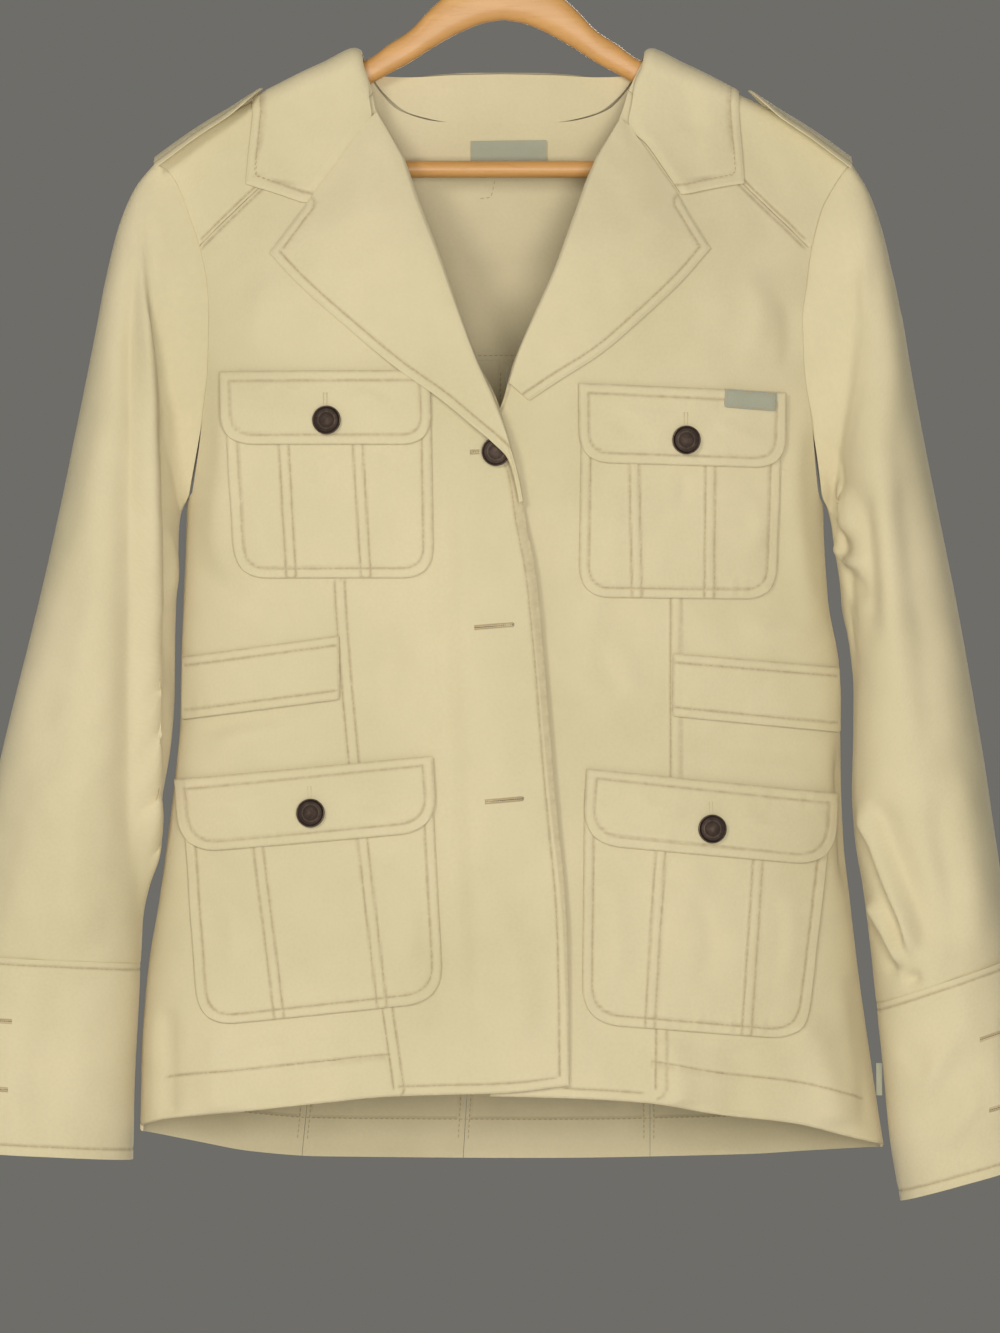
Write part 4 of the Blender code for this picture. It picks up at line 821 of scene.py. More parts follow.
FRONT_FOLDS: tuple[Crease, ...] = (
    Crease(((-152, 258), (-149, 290), (-156, 318)), 2.0, 8, 11),
    Crease(((-178, 300), (-170, 350), (-176, 420), (-172, 470)), 3.4, 8, 12),
    Crease(((-192, 436), (-160, 466), (-120, 478)), -2.2, 6, 7),
    Crease(((-186, 458), (-150, 474), (-112, 470)), 1.8, 6, 8),
    Crease(((-192, 560), (-150, 547), (-110, 549)), 2.2, 7, 7),
    Crease(((-196, 548), (-160, 540), (-120, 538)), -1.6, 5, 6),
    Crease(((-60, 400), (-45, 470), (-52, 545)), 2.4, 12, 12),
    Crease(((-30, 470), (-5, 540), (0, 620)), 1.9, 12, 15),
    Crease(((-62, 470), (-74, 520), (-64, 560)), -1.8, 9, 9),
    Crease(((-20, 620), (8, 700), (10, 760)), 2.6, 12, 11),
    Crease(((-60, 640), (-40, 700), (-45, 765)), -2.4, 9, 11),
    Crease(((-110, 732), (-104, 762), (-106, 782)), 3.0, 8, 9, 0.15),
    Crease(((-172, 728), (-178, 756), (-174, 786)), 3.6, 9, 10, 0.15),
    Crease(((-141, 733), (-143, 760), (-138, 783)), -3.2, 8, 9, 0.15),
    Crease(((-208, 716), (-208, 750), (-207, 790)), -3.6, 4, 6, 0.15),
    Crease(((60, 430), (50, 500), (62, 560)), 2.2, 11, 13),
    Crease(((30, 400), (36, 450), (28, 500)), -1.8, 9, 11),
    Crease(((62, 486), (74, 508), (84, 528)), 1.8, 4, 7),
    Crease(((146, 470), (168, 487), (202, 478)), 2.4, 7, 8),
    Crease(((196, 330), (180, 380), (186, 450), (198, 490)), 3.0, 8, 7),
    Crease(((110, 550), (150, 557), (202, 560)), -2.0, 6, 7),
    Crease(((205, 545), (211, 590), (212, 654)), -4.2, 4, 4),
    Crease(((48, 600), (40, 680), (46, 765)), 2.2, 11, 11),
    Crease(((180, 722), (196, 752), (207, 794)), 4.2, 10, 11, 0.15),
    Crease(((140, 738), (147, 760), (143, 786)), -3.4, 9, 10, 0.15),
    Crease(((100, 734), (108, 756), (110, 780)), 3.0, 9, 10, 0.15),
    Crease(((215, 690), (222, 740), (226, 800)), -2.6, 6, 8, 0.15),
    Crease(((150, 258), (158, 288), (150, 320)), 2.2, 9, 9),
    Crease(((172, 270), (178, 300), (172, 330)), -1.8, 6, 8),
    Crease(((-100, 210), (-110, 250), (-104, 290)), 1.2, 12, 12),
)
FLAP_FOLDS: tuple[Crease, ...] = FRONT_FOLDS + (
    Crease(((-164, 334), (-151, 338), (-141, 332), (-131, 336), (-123, 344)), 1.2, 2.4, 3.0),
    Crease(((-160, 340), (-148, 344), (-137, 339)), -0.8, 2.4, 3.0),
    Crease(((-100, 338), (-84, 333), (-68, 341), (-56, 338)), -0.9, 3.0, 3.4),
    Crease(((-96, 346), (-82, 341), (-66, 350)), 0.9, 3.2, 4.0),
    Crease(((-156, 352), (-142, 361), (-128, 357)), 0.9, 4.0, 4.0),
    Crease(((66, 343), (86, 352), (102, 346)), 1.1, 3.0, 3.6),
    Crease(((62, 352), (80, 362), (96, 360)), -0.9, 3.4, 4.0),
    Crease(((126, 352), (146, 362), (162, 366)), 1.0, 3.6, 3.6),
    Crease(((-190, 589), (-162, 592), (-140, 584)), 1.2, 3.6, 4.4),
    Crease(((-184, 600), (-160, 604), (-136, 596)), -0.9, 4.0, 4.4),
    Crease(((-104, 580), (-82, 590), (-60, 584)), 1.1, 3.6, 4.4),
    Crease(((-96, 594), (-76, 600), (-56, 594)), -0.9, 4.0, 4.0),
    Crease(((76, 582), (98, 596), (118, 592)), 1.2, 3.6, 4.4),
    Crease(((140, 592), (164, 606), (190, 602)), 1.2, 4.0, 4.4),
    Crease(((70, 596), (90, 606), (110, 604)), -0.9, 4.0, 4.0),
)
POCKET_FOLDS: tuple[Crease, ...] = FRONT_FOLDS + (
    Crease(((-120, 372), (-112, 384), (-116, 400)), 1.0, 4.0, 4.4),
    Crease(((-78, 372), (-66, 380), (-56, 376)), -1.0, 3.4, 4.0),
    Crease(((-158, 404), (-150, 424), (-154, 440)), 0.8, 6.0, 6.0),
    Crease(((60, 392), (70, 412), (66, 440)), 0.9, 6.0, 6.0),
    Crease(((150, 396), (158, 420), (150, 444)), 1.0, 6.0, 6.0),
    Crease(((104, 384), (112, 396), (106, 412)), -0.8, 4.0, 5.0),
    Crease(((-176, 640), (-166, 670), (-170, 700)), 1.2, 7.0, 7.0),
    Crease(((-118, 624), (-110, 650), (-116, 690)), -1.0, 7.0, 8.0),
    Crease(((-62, 630), (-56, 664), (-60, 700)), 1.1, 6.0, 7.0),
    Crease(((66, 640), (72, 680), (66, 712)), 1.1, 6.0, 7.0),
    Crease(((116, 640), (128, 670), (120, 710)), -1.1, 7.0, 8.0),
    Crease(((172, 640), (178, 676), (170, 716)), 1.3, 6.0, 7.0),
)
BACK_FOLDS: tuple[Crease, ...] = (
    Crease(((-150, 330), (-156, 450), (-150, 560)), 2.4, 14, 16),
    Crease(((-60, 340), (-66, 480), (-58, 620)), 1.8, 16, 18),
    Crease(((40, 350), (52, 500), (44, 640)), 2.0, 16, 16),
    Crease(((150, 340), (144, 470), (156, 600)), 2.4, 14, 14),
    Crease(((-180, 420), (-140, 450), (-90, 452)), -1.8, 9, 10),
    Crease(((180, 430), (140, 462), (96, 458)), -1.8, 9, 10),
    Crease(((-60, 250), (0, 262), (70, 252)), 1.4, 10, 14),
    Crease(((-140, 240), (-100, 262), (-60, 268)), -1.2, 9, 10),
    Crease(((140, 236), (104, 260), (62, 270)), -1.2, 9, 10),
    Crease(((-170, 640), (-176, 720), (-168, 806)), 2.8, 14, 14, 0.2),
    Crease(((-92, 660), (-96, 740), (-90, 812)), -2.4, 13, 14, 0.2),
    Crease(((-20, 650), (-12, 740), (-16, 813)), 2.2, 14, 14, 0.2),
    Crease(((70, 650), (78, 740), (72, 812)), -2.4, 14, 13, 0.2),
    Crease(((160, 640), (170, 730), (176, 808)), 2.6, 14, 13, 0.2),
)


@dataclass(frozen=True)
class Outline:
    """Outline of a patch: a straight top, slanting sides and rounded lower corners."""

    top_left: tuple[float, float]
    top_right: tuple[float, float]
    low_right: tuple[float, float]
    low_left: tuple[float, float]
    radius: float

    def corners(self) -> list[Array]:
        """Return the four corners as arrays."""
        return [np.array(corner, dtype=float) for corner in
                (self.top_left, self.top_right, self.low_right, self.low_left)]

    def bend(self, before: Array, corner: Array, after: Array, radius: float) -> Array:
        """Return a rounded corner, a quadratic curve tangent to both edges at the radius."""
        start = corner + (before - corner) * radius / np.linalg.norm(before - corner)
        end = corner + (after - corner) * radius / np.linalg.norm(after - corner)
        share = np.linspace(0, 1, 17)[:, None]
        return (1 - share) ** 2 * start + 2 * share * (1 - share) * corner + share ** 2 * end

    def edges(self, across: Array, down: Array) -> list[Array]:
        """Return the top, bottom, left and right edges as (angle, drop) at shares of their lengths."""
        top_left, top_right, low_right, low_left = self.corners()
        left_bend = self.bend(top_left, low_left, low_right, self.radius)
        right_bend = self.bend(low_left, low_right, top_right, self.radius)
        half = len(left_bend) // 2
        edges = (np.array([top_left, top_right]), np.vstack([left_bend[half:], right_bend[:half + 1]]),
                 np.vstack([top_left, left_bend[:half + 1]]),
                 np.vstack([right_bend[half:], top_right])[::-1])
        result = []
        for edge, at in zip(edges, (across, across, down, down)):
            places = as_angles(along(edge, 80)) * [MEAN_GIRTH, 1]
            result.append(at_shares(places, at) / [MEAN_GIRTH, 1])
        return result

    def inset(self, gap: float, whole: bool) -> Array:
        """Return the stitch line inside the outline: all round, or without the top."""
        top_left, top_right, low_right, low_left = self.corners()
        middle = (top_left + low_right) / 2
        moved = []
        for corner in (top_left, top_right, low_right, low_left):
            moved.append(corner + np.sign(middle - corner) * gap)
        if not whole:
            moved[0][1], moved[1][1] = top_left[1] + 1.0, top_right[1] + 1.0
        radius = max(self.radius - gap, 0.6)
        line = [moved[0][None], self.bend(moved[0], moved[3], moved[2], radius),
                self.bend(moved[3], moved[2], moved[1], radius), moved[1][None]]
        path = np.vstack(line)
        if whole:
            path = np.vstack([path, path[:1]])
        return along(path, max(int(running(path)[-1] / 3.0), 20))


@dataclass(frozen=True)
class FabricFinish:
    """Washed cotton twill: its colours and how strongly the weave, mottle and sewing show."""

    name: str
    colour: tuple[float, float, float, float]
    # A paler tone, for the mottle and for raised folds.
    paler: tuple[float, float, float, float]
    # Colour of the stitch lines and of the painted shade in their grooves and along free edges.
    shadow: tuple[float, float, float, float]
    roughness: float = 0.92
    weave: float = 0.35
    wale: float = 1500.0
    mottle: float = 0.5

    def build(self, groups: "Groups") -> bpy.types.Material:
        """Make the material.

        Args:
            groups: The shared node groups.

        Returns:
            The finished material.
        """
        material = bpy.data.materials.new(self.name)
        tree = Tree.of(material)
        shader = tree.shader
        weave = tree.group(groups.weave, Wales=self.wale)
        mottle = tree.group(groups.mottle, Scale=7.0, Fine=170.0)
        colour_masks = tree.group(groups.colour_masks)
        first = tree.mix(mottle.outputs["Mask"], self.colour, self.paler)
        # The seam mask mixes in the shadow colour: the stitch lines' own colour and painted shade in their
        # grooves and along free edges.
        second = tree.mix(colour_masks.outputs["Seam"], first.outputs["Result"], self.shadow)
        # Raised folds mix towards the paler tone, in step with the fold height.
        third = tree.mix(colour_masks.outputs["Fade"], second.outputs["Result"], self.paler)
        shade = tree.math("MULTIPLY_ADD", weave.outputs["Shade"], 0.10, 0.95)
        last = tree.add("ShaderNodeMix", data_type="RGBA", blend_type="MULTIPLY")
        last.inputs["Factor"].default_value = 1.0
        tree.link(third.outputs["Result"], last.inputs["A"])
        tree.link(shade, last.inputs["B"])
        tree.link(last.outputs["Result"], shader.inputs["Base Color"])
        height = tree.math("MULTIPLY_ADD", mottle.outputs["Fine"], self.mottle, weave.outputs["Height"])
        tree.bump(height, self.weave, 0.00025)
        tree.set(shader, {"Roughness": self.roughness, "Sheen Weight": 0.12, "Sheen Roughness": 0.5,
                          "Specular IOR Level": 0.22})
        return material


@dataclass
class Tree:
    """Short hands for laying out a node tree."""

    nodes: bpy.types.Nodes
    links: bpy.types.NodeLinks
    shader: bpy.types.Node | None = None

    @classmethod
    def of(cls, material: bpy.types.Material) -> "Tree":
        """Return the tree of a new material, with its Principled shader."""
        material.use_nodes = True
        nodes = material.node_tree.nodes
        return cls(nodes, material.node_tree.links, nodes["Principled BSDF"])

    def add(self, kind: str, **settings: object) -> bpy.types.Node:
        """Add a node and set its named settings."""
        node = self.nodes.new(kind)
        for key, value in settings.items():
            setattr(node, key, value)
        return node

    def link(self, start: bpy.types.NodeSocket, end: bpy.types.NodeSocket) -> None:
        """Join two sockets."""
        self.links.new(start, end)

    def set(self, node: bpy.types.Node, values: dict[str, object]) -> None:
        """Set a node's inputs by name."""
        for key, value in values.items():
            node.inputs[key].default_value = value

    def group(self, tree: bpy.types.NodeTree, **values: float) -> bpy.types.Node:
        """Place a node group with its own values."""
        node = self.add("ShaderNodeGroup", node_tree=tree)
        self.set(node, values)
        return node

    def noise(self, place: bpy.types.NodeSocket, **values: float) -> bpy.types.Node:
        """Place a noise texture at places, with its own values."""
        node = self.add("ShaderNodeTexNoise")
        self.set(node, values)
        self.link(place, node.inputs["Vector"])
        return node

    def bump(self, height: bpy.types.NodeSocket, strength: float, distance: float) -> None:
        """Bump the shader by a height."""
        node = self.add("ShaderNodeBump")
        self.set(node, {"Strength": strength, "Distance": distance})
        self.link(height, node.inputs["Height"])
        self.link(node.outputs["Normal"], self.shader.inputs["Normal"])

    def mix(self, factor: bpy.types.NodeSocket, first: object, second: object) -> bpy.types.Node:
        """Mix two colours, each a socket or a fixed colour, by a factor."""
        node = self.add("ShaderNodeMix", data_type="RGBA")
        self.link(factor, node.inputs["Factor"])
        for name, value in (("A", first), ("B", second)):
            if isinstance(value, bpy.types.NodeSocket):
                self.link(value, node.inputs[name])
            else:
                node.inputs[name].default_value = value
        return node

    def math(self, operation: str, first: object, second: object = None,
             third: object = None) -> bpy.types.NodeSocket:
        """Add a Math node on sockets or numbers and return its output."""
        node = self.add("ShaderNodeMath", operation=operation)
        for place, value in enumerate((first, second, third)):
            if isinstance(value, bpy.types.NodeSocket):
                self.link(value, node.inputs[place])
            elif value is not None:
                node.inputs[place].default_value = value
        return node.outputs[0]


class Groups:
    """The effects that more than one material uses, each a node group built once."""

    def __init__(self) -> None:
        """Build the groups."""
        self.weave = self.make_weave()
        self.mottle = self.make_mottle()
        self.colour_masks = self.make_seam_shade()
        self.grain = self.make_grain()

    def start(self, name: str, inputs: dict[str, float],
              outputs: Sequence[str]) -> tuple[Tree, bpy.types.Node, bpy.types.Node]:
        """Start a group with named float inputs and outputs."""
        group = bpy.data.node_groups.new(name, "ShaderNodeTree")
        for key, value in inputs.items():
            socket = group.interface.new_socket(name=key, in_out="INPUT", socket_type="NodeSocketFloat")
            socket.default_value = value
        for key in outputs:
            group.interface.new_socket(name=key, in_out="OUTPUT", socket_type="NodeSocketFloat")
        tree = Tree(group.nodes, group.links)
        return tree, tree.add("NodeGroupInput"), tree.add("NodeGroupOutput")

    def make_weave(self) -> bpy.types.NodeTree:
        """Return twill: diagonal wales sin(2 pi w (u + v)) crossed by a finer thread, unevenly strong."""
        tree, given, out = self.start("twill_weave", {"Wales": 1500.0}, ("Shade", "Height"))
        place = tree.add("ShaderNodeUVMap", uv_map="UVMap")
        parts = tree.add("ShaderNodeSeparateXYZ")
        tree.link(place.outputs["UV"], parts.inputs[0])
        turn = tree.math("MULTIPLY", given.outputs["Wales"], 2 * math.pi)
        total = tree.math("ADD", parts.outputs[0], parts.outputs[1])
        wale = tree.math("SINE", tree.math("MULTIPLY", total, turn))
        thread = tree.math("SINE", tree.math("MULTIPLY", tree.math("MULTIPLY", parts.outputs[0], turn), 2.2))
        noise = tree.noise(place.outputs["UV"], Scale=420.0, Detail=2.0)
        both = tree.math("MULTIPLY_ADD", thread, 0.35, wale)
        height = tree.math("MULTIPLY", both, noise.outputs["Fac"])
        tree.link(height, out.inputs["Height"])
        tree.link(noise.outputs["Fac"], out.inputs["Shade"])
        return tree.nodes.id_data

    def make_mottle(self) -> bpy.types.NodeTree:
        """Return uneven washing: wide soft noise as a mask, and fine noise for the cloth's hand."""
        tree, given, out = self.start("washed_mottle", {"Scale": 7.0, "Fine": 170.0}, ("Mask", "Fine"))
        place = tree.add("ShaderNodeTexCoord")
        for key, socket, detail in (("Scale", "Mask", 5.0), ("Fine", "Fine", 3.0)):
            noise = tree.noise(place.outputs["Object"], Detail=detail, Roughness=0.6)
            tree.link(given.outputs[key], noise.inputs["Scale"])
            strength = tree.math("MULTIPLY_ADD", noise.outputs["Fac"], 2.2 if socket == "Mask" else 1.0,
                                 -0.6 if socket == "Mask" else 0.0)
            tree.link(strength, out.inputs[socket])
        return tree.nodes.id_data

    def make_seam_shade(self) -> bpy.types.NodeTree:
        """Return the seam mask, with the stitch lines and their painted shade, broken up by noise, and a
        paler tone on raised folds.
        """
        tree, _, out = self.start("seam_shade_and_ridge_tone", {}, ("Seam", "Fade"))
        place = tree.add("ShaderNodeTexCoord")
        noise = tree.noise(place.outputs["Object"], Scale=230.0, Detail=2.0)
        seam = tree.add("ShaderNodeAttribute", attribute_name="seam")
        fold = tree.add("ShaderNodeAttribute", attribute_name="fold")
        # The seam mask carries the stitch lines and painted shade; noise breaks it up.
        broken = tree.math("MULTIPLY", seam.outputs["Fac"], noise.outputs["Fac"])
        tree.link(tree.math("MULTIPLY", broken, 1.15), out.inputs["Seam"])
        # A paler tone where the fold height is raised, none in troughs.
        ridge = tree.math("MULTIPLY", fold.outputs["Fac"], 0.06)
        clear = tree.add("ShaderNodeClamp")
        tree.link(ridge, clear.inputs["Value"])
        tree.link(clear.outputs["Result"], out.inputs["Fade"])
        return tree.nodes.id_data

    def make_grain(self) -> bpy.types.NodeTree:
        """Return wood grain: noise stretched along the piece, and fine dark pores."""
        tree, _, out = self.start("wood_grain", {}, ("Grain", "Pores"))
        place = tree.add("ShaderNodeTexCoord")
        size = tree.add("ShaderNodeMapping")
        size.inputs["Scale"].default_value = (9.0, 130.0, 130.0)
        tree.link(place.outputs["Object"], size.inputs["Vector"])
        wide = tree.noise(size.outputs["Vector"], Scale=1.0, Detail=6.0, Distortion=0.6)
        fine = tree.noise(size.outputs["Vector"], Scale=6.0, Detail=2.0)
        tree.link(wide.outputs["Fac"], out.inputs["Grain"])
        tree.link(tree.math("GREATER_THAN", fine.outputs["Fac"], 0.62), out.inputs["Pores"])
        return tree.nodes.id_data


@dataclass(frozen=True)
class WoodFinish:
    """Varnished beech."""

    name: str = "varnished_beech"
    light: tuple[float, float, float, float] = (0.70, 0.375, 0.115, 1.0)
    dark: tuple[float, float, float, float] = (0.50, 0.235, 0.060, 1.0)

    def build(self, groups: Groups) -> bpy.types.Material:
        """Make the material from the shared grain."""
        material = bpy.data.materials.new(self.name)
        tree = Tree.of(material)
        grain = tree.group(groups.grain)
        colour = tree.mix(grain.outputs["Grain"], self.light, self.dark)
        pores = tree.math("MULTIPLY", grain.outputs["Pores"], 0.35)
        final = tree.mix(pores, colour.outputs["Result"], self.dark)
        tree.link(final.outputs["Result"], tree.shader.inputs["Base Color"])
        tree.bump(grain.outputs["Grain"], 0.15, 0.0002)
        tree.set(tree.shader, {"Roughness": 0.5, "Coat Weight": 0.12, "Coat Roughness": 0.2})
        return material


@dataclass(frozen=True)
class MetalFinish:
    """Metal with a dark patina, rubbed bright where it is touched."""

    name: str
    dark: tuple[float, float, float, float]
    bright: tuple[float, float, float, float]
    roughness: float

    def build(self, groups: Groups) -> bpy.types.Material:
        """Make the material from the shared mottle and the piece's own mask of rubbed places."""
        material = bpy.data.materials.new(self.name)
        tree = Tree.of(material)
        mottle = tree.group(groups.mottle, Scale=260.0, Fine=900.0)
        colour_masks = tree.add("ShaderNodeAttribute", attribute_name="seam")
        uneven = tree.math("MULTIPLY_ADD", mottle.outputs["Mask"], 1.2, 0.3)
        rubbed = tree.math("MULTIPLY", colour_masks.outputs["Fac"], uneven)
        colour = tree.mix(rubbed, self.dark, self.bright)
        tree.link(colour.outputs["Result"], tree.shader.inputs["Base Color"])
        tree.link(tree.math("MULTIPLY_ADD", mottle.outputs["Fine"], 0.25, self.roughness - 0.12),
                  tree.shader.inputs["Roughness"])
        tree.set(tree.shader, {"Metallic": 1.0})
        return material


class Jacket:
    """The whole jacket: holds what its pieces share and registers each finished piece."""

    def __init__(self) -> None:
        """Make the finishes."""
        groups = Groups()
        self.twill = FabricFinish("khaki_twill_cloth", (0.600, 0.520, 0.305, 1), (0.705, 0.600, 0.375, 1),
                                  (0.380, 0.290, 0.165, 1)).build(groups)
        self.thread = FabricFinish("khaki_thread", (0.430, 0.325, 0.175, 1), (0.520, 0.410, 0.230, 1),
                                   (0.36, 0.27, 0.14, 1), 0.85, 0.1, 900.0, 0.2).build(groups)
        self.tape = FabricFinish("label_tape", (0.345, 0.345, 0.245, 1), (0.420, 0.415, 0.300, 1),
                                 (0.30, 0.33, 0.28, 1), 0.8, 0.5, 1100.0, 0.2).build(groups)
        # Near-black cloth for the beads that paint the shade inside buttonhole slits and eyelets.
        self.shade = FabricFinish("painted_slit_shade", (0.10, 0.075, 0.045, 1), (0.14, 0.10, 0.06, 1),
                                  (0.08, 0.06, 0.035, 1), 0.9, 0.1, 900.0, 0.2).build(groups)
        self.bronze = MetalFinish("aged_bronze", (0.020, 0.013, 0.010, 1), (0.200, 0.150, 0.115, 1),
                                  0.5).build(groups)
        self.steel = MetalFinish("plated_wire", (0.30, 0.30, 0.31, 1), (0.42, 0.42, 0.42, 1),
                                 0.45).build(groups)
        self.beech = WoodFinish().build(groups)

    def register(self, piece: bpy.types.Object, material: bpy.types.Material, slot: str,
                 nodes: Sequence[str] = ()) -> None:
        """Give a piece its material and body, and hide the solids that it stands for."""
        piece.data.materials.append(material)
        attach(piece, "root")
        if nodes:
            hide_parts(*nodes)
        LOG.info("%s: %d faces", piece.name, len(piece.data.polygons))

    def cloth(self, grid: ClothGrid, name: str, rests_on: Sequence[str], nodes: Sequence[str] = (),
              material: bpy.types.Material | None = None, slot: str = "khaki_twill",
              doubled: float = 1.0) -> None:
        """Build a cloth piece and register it."""
        piece = grid.build(name + "_cloth")
        self.register(piece, material or self.twill, slot, nodes or (name,))

    def stitches(self, needle: Needle, name: str, finish: bpy.types.Material | None = None) -> None:
        """Build and register the stitches of one sub-assembly, in the thread or another finish."""
        piece = needle.build(name)
        if piece is not None:
            self.register(piece, finish or self.thread, "khaki_twill")


@dataclass
class Fronts:
    """The two fronts with their yokes, princess seams, hems and front edges."""

    jacket: Jacket
    hem_depth: float = 26.0
    edge_inset: float = 6.0
    row_gap: float = 6.2

    def front_layer(self, side: Side) -> Layer:
        """Return the front's layer with its sewing."""
        sign = side.value
        drops = np.arange(455.0, 772.0, 6.0)
        princess = pairs(PRINCESS[side].read("x", drops), drops)
        if side is Side.LEFT:
            edge_drops = np.concatenate([np.arange(362.0, 757.0, 6.0), [758.5]])
            edge = pairs(OPENING[side].read("x", edge_drops) - self.edge_inset, edge_drops)
            edges = [Seam(edge, phase=2.0)]
            hem_x = np.arange(-64.0, 34.0, 6.0)
            side_x = np.arange(-208.0, -65.0, 6.0)
        else:
            edges = []
            hem_x = np.arange(38.0, 90.0, 6.0)
            side_x = np.arange(92.0, 229.0, 6.0)
        hem = pairs(hem_x, HEM[side].read("drop", hem_x) - self.edge_inset)
        low = pairs(side_x, HEM[side].read("drop", side_x) - self.hem_depth)
        x = np.linspace(84.0, 186.0, 30)
        yoke = pairs(sign * x, FRONT_YOKE.read("drop", x) + 3.4)
        seams = [Seam(princess, (0.0, self.row_gap), 0.35, phase=1.0), *edges,
                 Seam(hem, phase=3.0), Seam(low, phase=4.0), Seam(yoke, phase=5.0)]
        return Layer(Face.FRONT, FRONT_FOLDS, seams=seams, over=side is Side.LEFT)

    def build_front(self, side: Side) -> None:
        """Build one front: two filled patches that meet on the princess line."""
        sign = side.value
        hem_side = float(HEM[side].read("drop", sign * 225.0))
        rows = stations(540.0, True, True, GRID_STEP, (513.5, 507.5))
        outer_drop = YOKE_FRONT_DROP + JOIN_GAP + (hem_side - YOKE_FRONT_DROP - JOIN_GAP) * rows
        outer_x = ARMHOLE.read(side.word, np.minimum(outer_drop, UNDERARM_DROP)) - sign * JOIN_GAP
        outer = np.stack([np.where(outer_drop < UNDERARM_DROP, FORM.to_angle(outer_x, outer_drop),
                                   sign * math.pi / 2), outer_drop], axis=1)
        neck, corner = NECK_SEAM_DROP[side] + JOIN_GAP, CORNER_DROP[side]
        inner_drop = neck + (corner - neck) * rows
        inner_x = OPENING[side].read("x", inner_drop) + sign * JOIN_GAP
        inner = as_angles(pairs(inner_x, inner_drop))
        split_top = 112.0
        split_low = float(PRINCESS[side].read("x", 776.0))
        split_drop = FRONT_YOKE.read("drop", split_top) + JOIN_GAP
        split_drop = split_drop + (float(HEM[side].read("drop", split_low)) - split_drop) * rows
        split = as_angles(pairs(PRINCESS[side].read("x", split_drop), split_drop))
        grids = []
        for first, second, columns in ((outer, split, stations(100.0, False, True)),
                                       (split, inner, stations(125.0, True, True))):
            top = self.edge_line(first[0], second[0], columns, side, True)
            low = self.edge_line(first[-1], second[-1], columns, side, False)
            grids.append(coons(top, low, first, second))
        grid = np.concatenate([grids[0], grids[1][:, 1:]], axis=1)
        points, normals = FORM.body_frame(grid[..., 0], grid[..., 1], Face.FRONT)
        rim = np.full(grid.shape[:2], 9.0)
        rim[:, -1], rim[-1], rim[0] = 0.0, 0.0, 0.4
        rim[:, -2], rim[-2], rim[1] = np.minimum(rim[:, -2], 0.6), np.minimum(rim[-2], 0.6), 1.0
        layer = self.front_layer(side)
        cloth = layer.finish(points, normals, grid * [MEAN_GIRTH, 1], 0.0, rim)
        self.jacket.cloth(cloth, "front_" + side.word, ["hanger_wood"])
        needle = Needle()
        layer.sew(needle)
        self.jacket.stitches(needle, "stitches_front_" + side.word)

    def edge_line(self, start: Array, end: Array, shares: Array, side: Side, top: bool) -> Array:
        """Return an edge between two corners that follows the yoke seam or the hem."""
        angle = start[0] + (end[0] - start[0]) * shares
        drop = start[1] + (end[1] - start[1]) * shares
        for _ in range(3):
            x = FORM.on_body(angle, drop, Face.FRONT)[..., 0]
            table = FRONT_YOKE.read("drop", np.abs(x)) + JOIN_GAP if top else HEM[side].read("drop", x)
            blend = np.minimum(1, np.minimum(shares, 1 - shares) * 1e6)
            drop = drop * (1 - blend) + table * blend
        return pairs(angle, drop)

    def build_yoke(self, side: Side) -> None:
        """Build one front yoke, from the shoulder line to the yoke seam."""
        sign = side.value
        rows = stations(60.0, False, True, 3.0)
        neck_drop = np.linspace(float(FORM.ridge(NECK_POINT)), NECK_SEAM_DROP[Side.LEFT], 60)
        neck = as_arcs(pairs(OPENING[side].read("x", neck_drop), neck_drop), Face.FRONT)
        outer_drop = np.linspace(ARMHOLE_TOP, YOKE_FRONT_DROP, 60)
        outer_x = ARMHOLE.read(side.word, outer_drop) - sign * JOIN_GAP
        outer = as_arcs(pairs(outer_x, outer_drop), Face.FRONT)
        outer[0] = (sign * SHOULDER_END, 0)
        neck[0, 1] = 0
        outer, inner = at_shares(outer, rows), at_shares(neck, rows)
        columns = stations(125.0, True, True)
        x = outer[0, 0] + (inner[0, 0] - outer[0, 0]) * columns
        top = pairs(x, 0 * x)
        x = outer[-1, 0] + (inner[-1, 0] - outer[-1, 0]) * columns
        low = as_arcs(pairs(x, FRONT_YOKE.read("drop", np.abs(x))), Face.FRONT)
        low[0], low[-1] = outer[-1], inner[-1]
        grid = coons(top, low, outer, inner) - [0, 1e-4]
        points, normals = FORM.shoulder_frame(grid[..., 0], grid[..., 1])
        x = np.linspace(84.0, 187.0, 30)
        seam = pairs(sign * x, FRONT_YOKE.read("drop", x) - YOKE_STITCH_GAP)
        layer = Layer(Face.FRONT, FRONT_FOLDS, seams=[Seam(seam, phase=6.0)])
        rim = np.full(grid.shape[:2], 9.0)
        rim[-1], rim[-2] = 0.4, 1.0
        cloth = layer.finish(points, normals, grid, 0.0, rim)
        self.jacket.cloth(cloth, "yoke_front_" + side.word, ["hanger_wood"])
        needle = Needle()
        layer.sew(needle)
        self.jacket.stitches(needle, "stitches_yoke_" + side.word)

    def build(self) -> None:
        """Build both sides."""
        for side in Side:
            self.build_front(side)
            self.build_yoke(side)


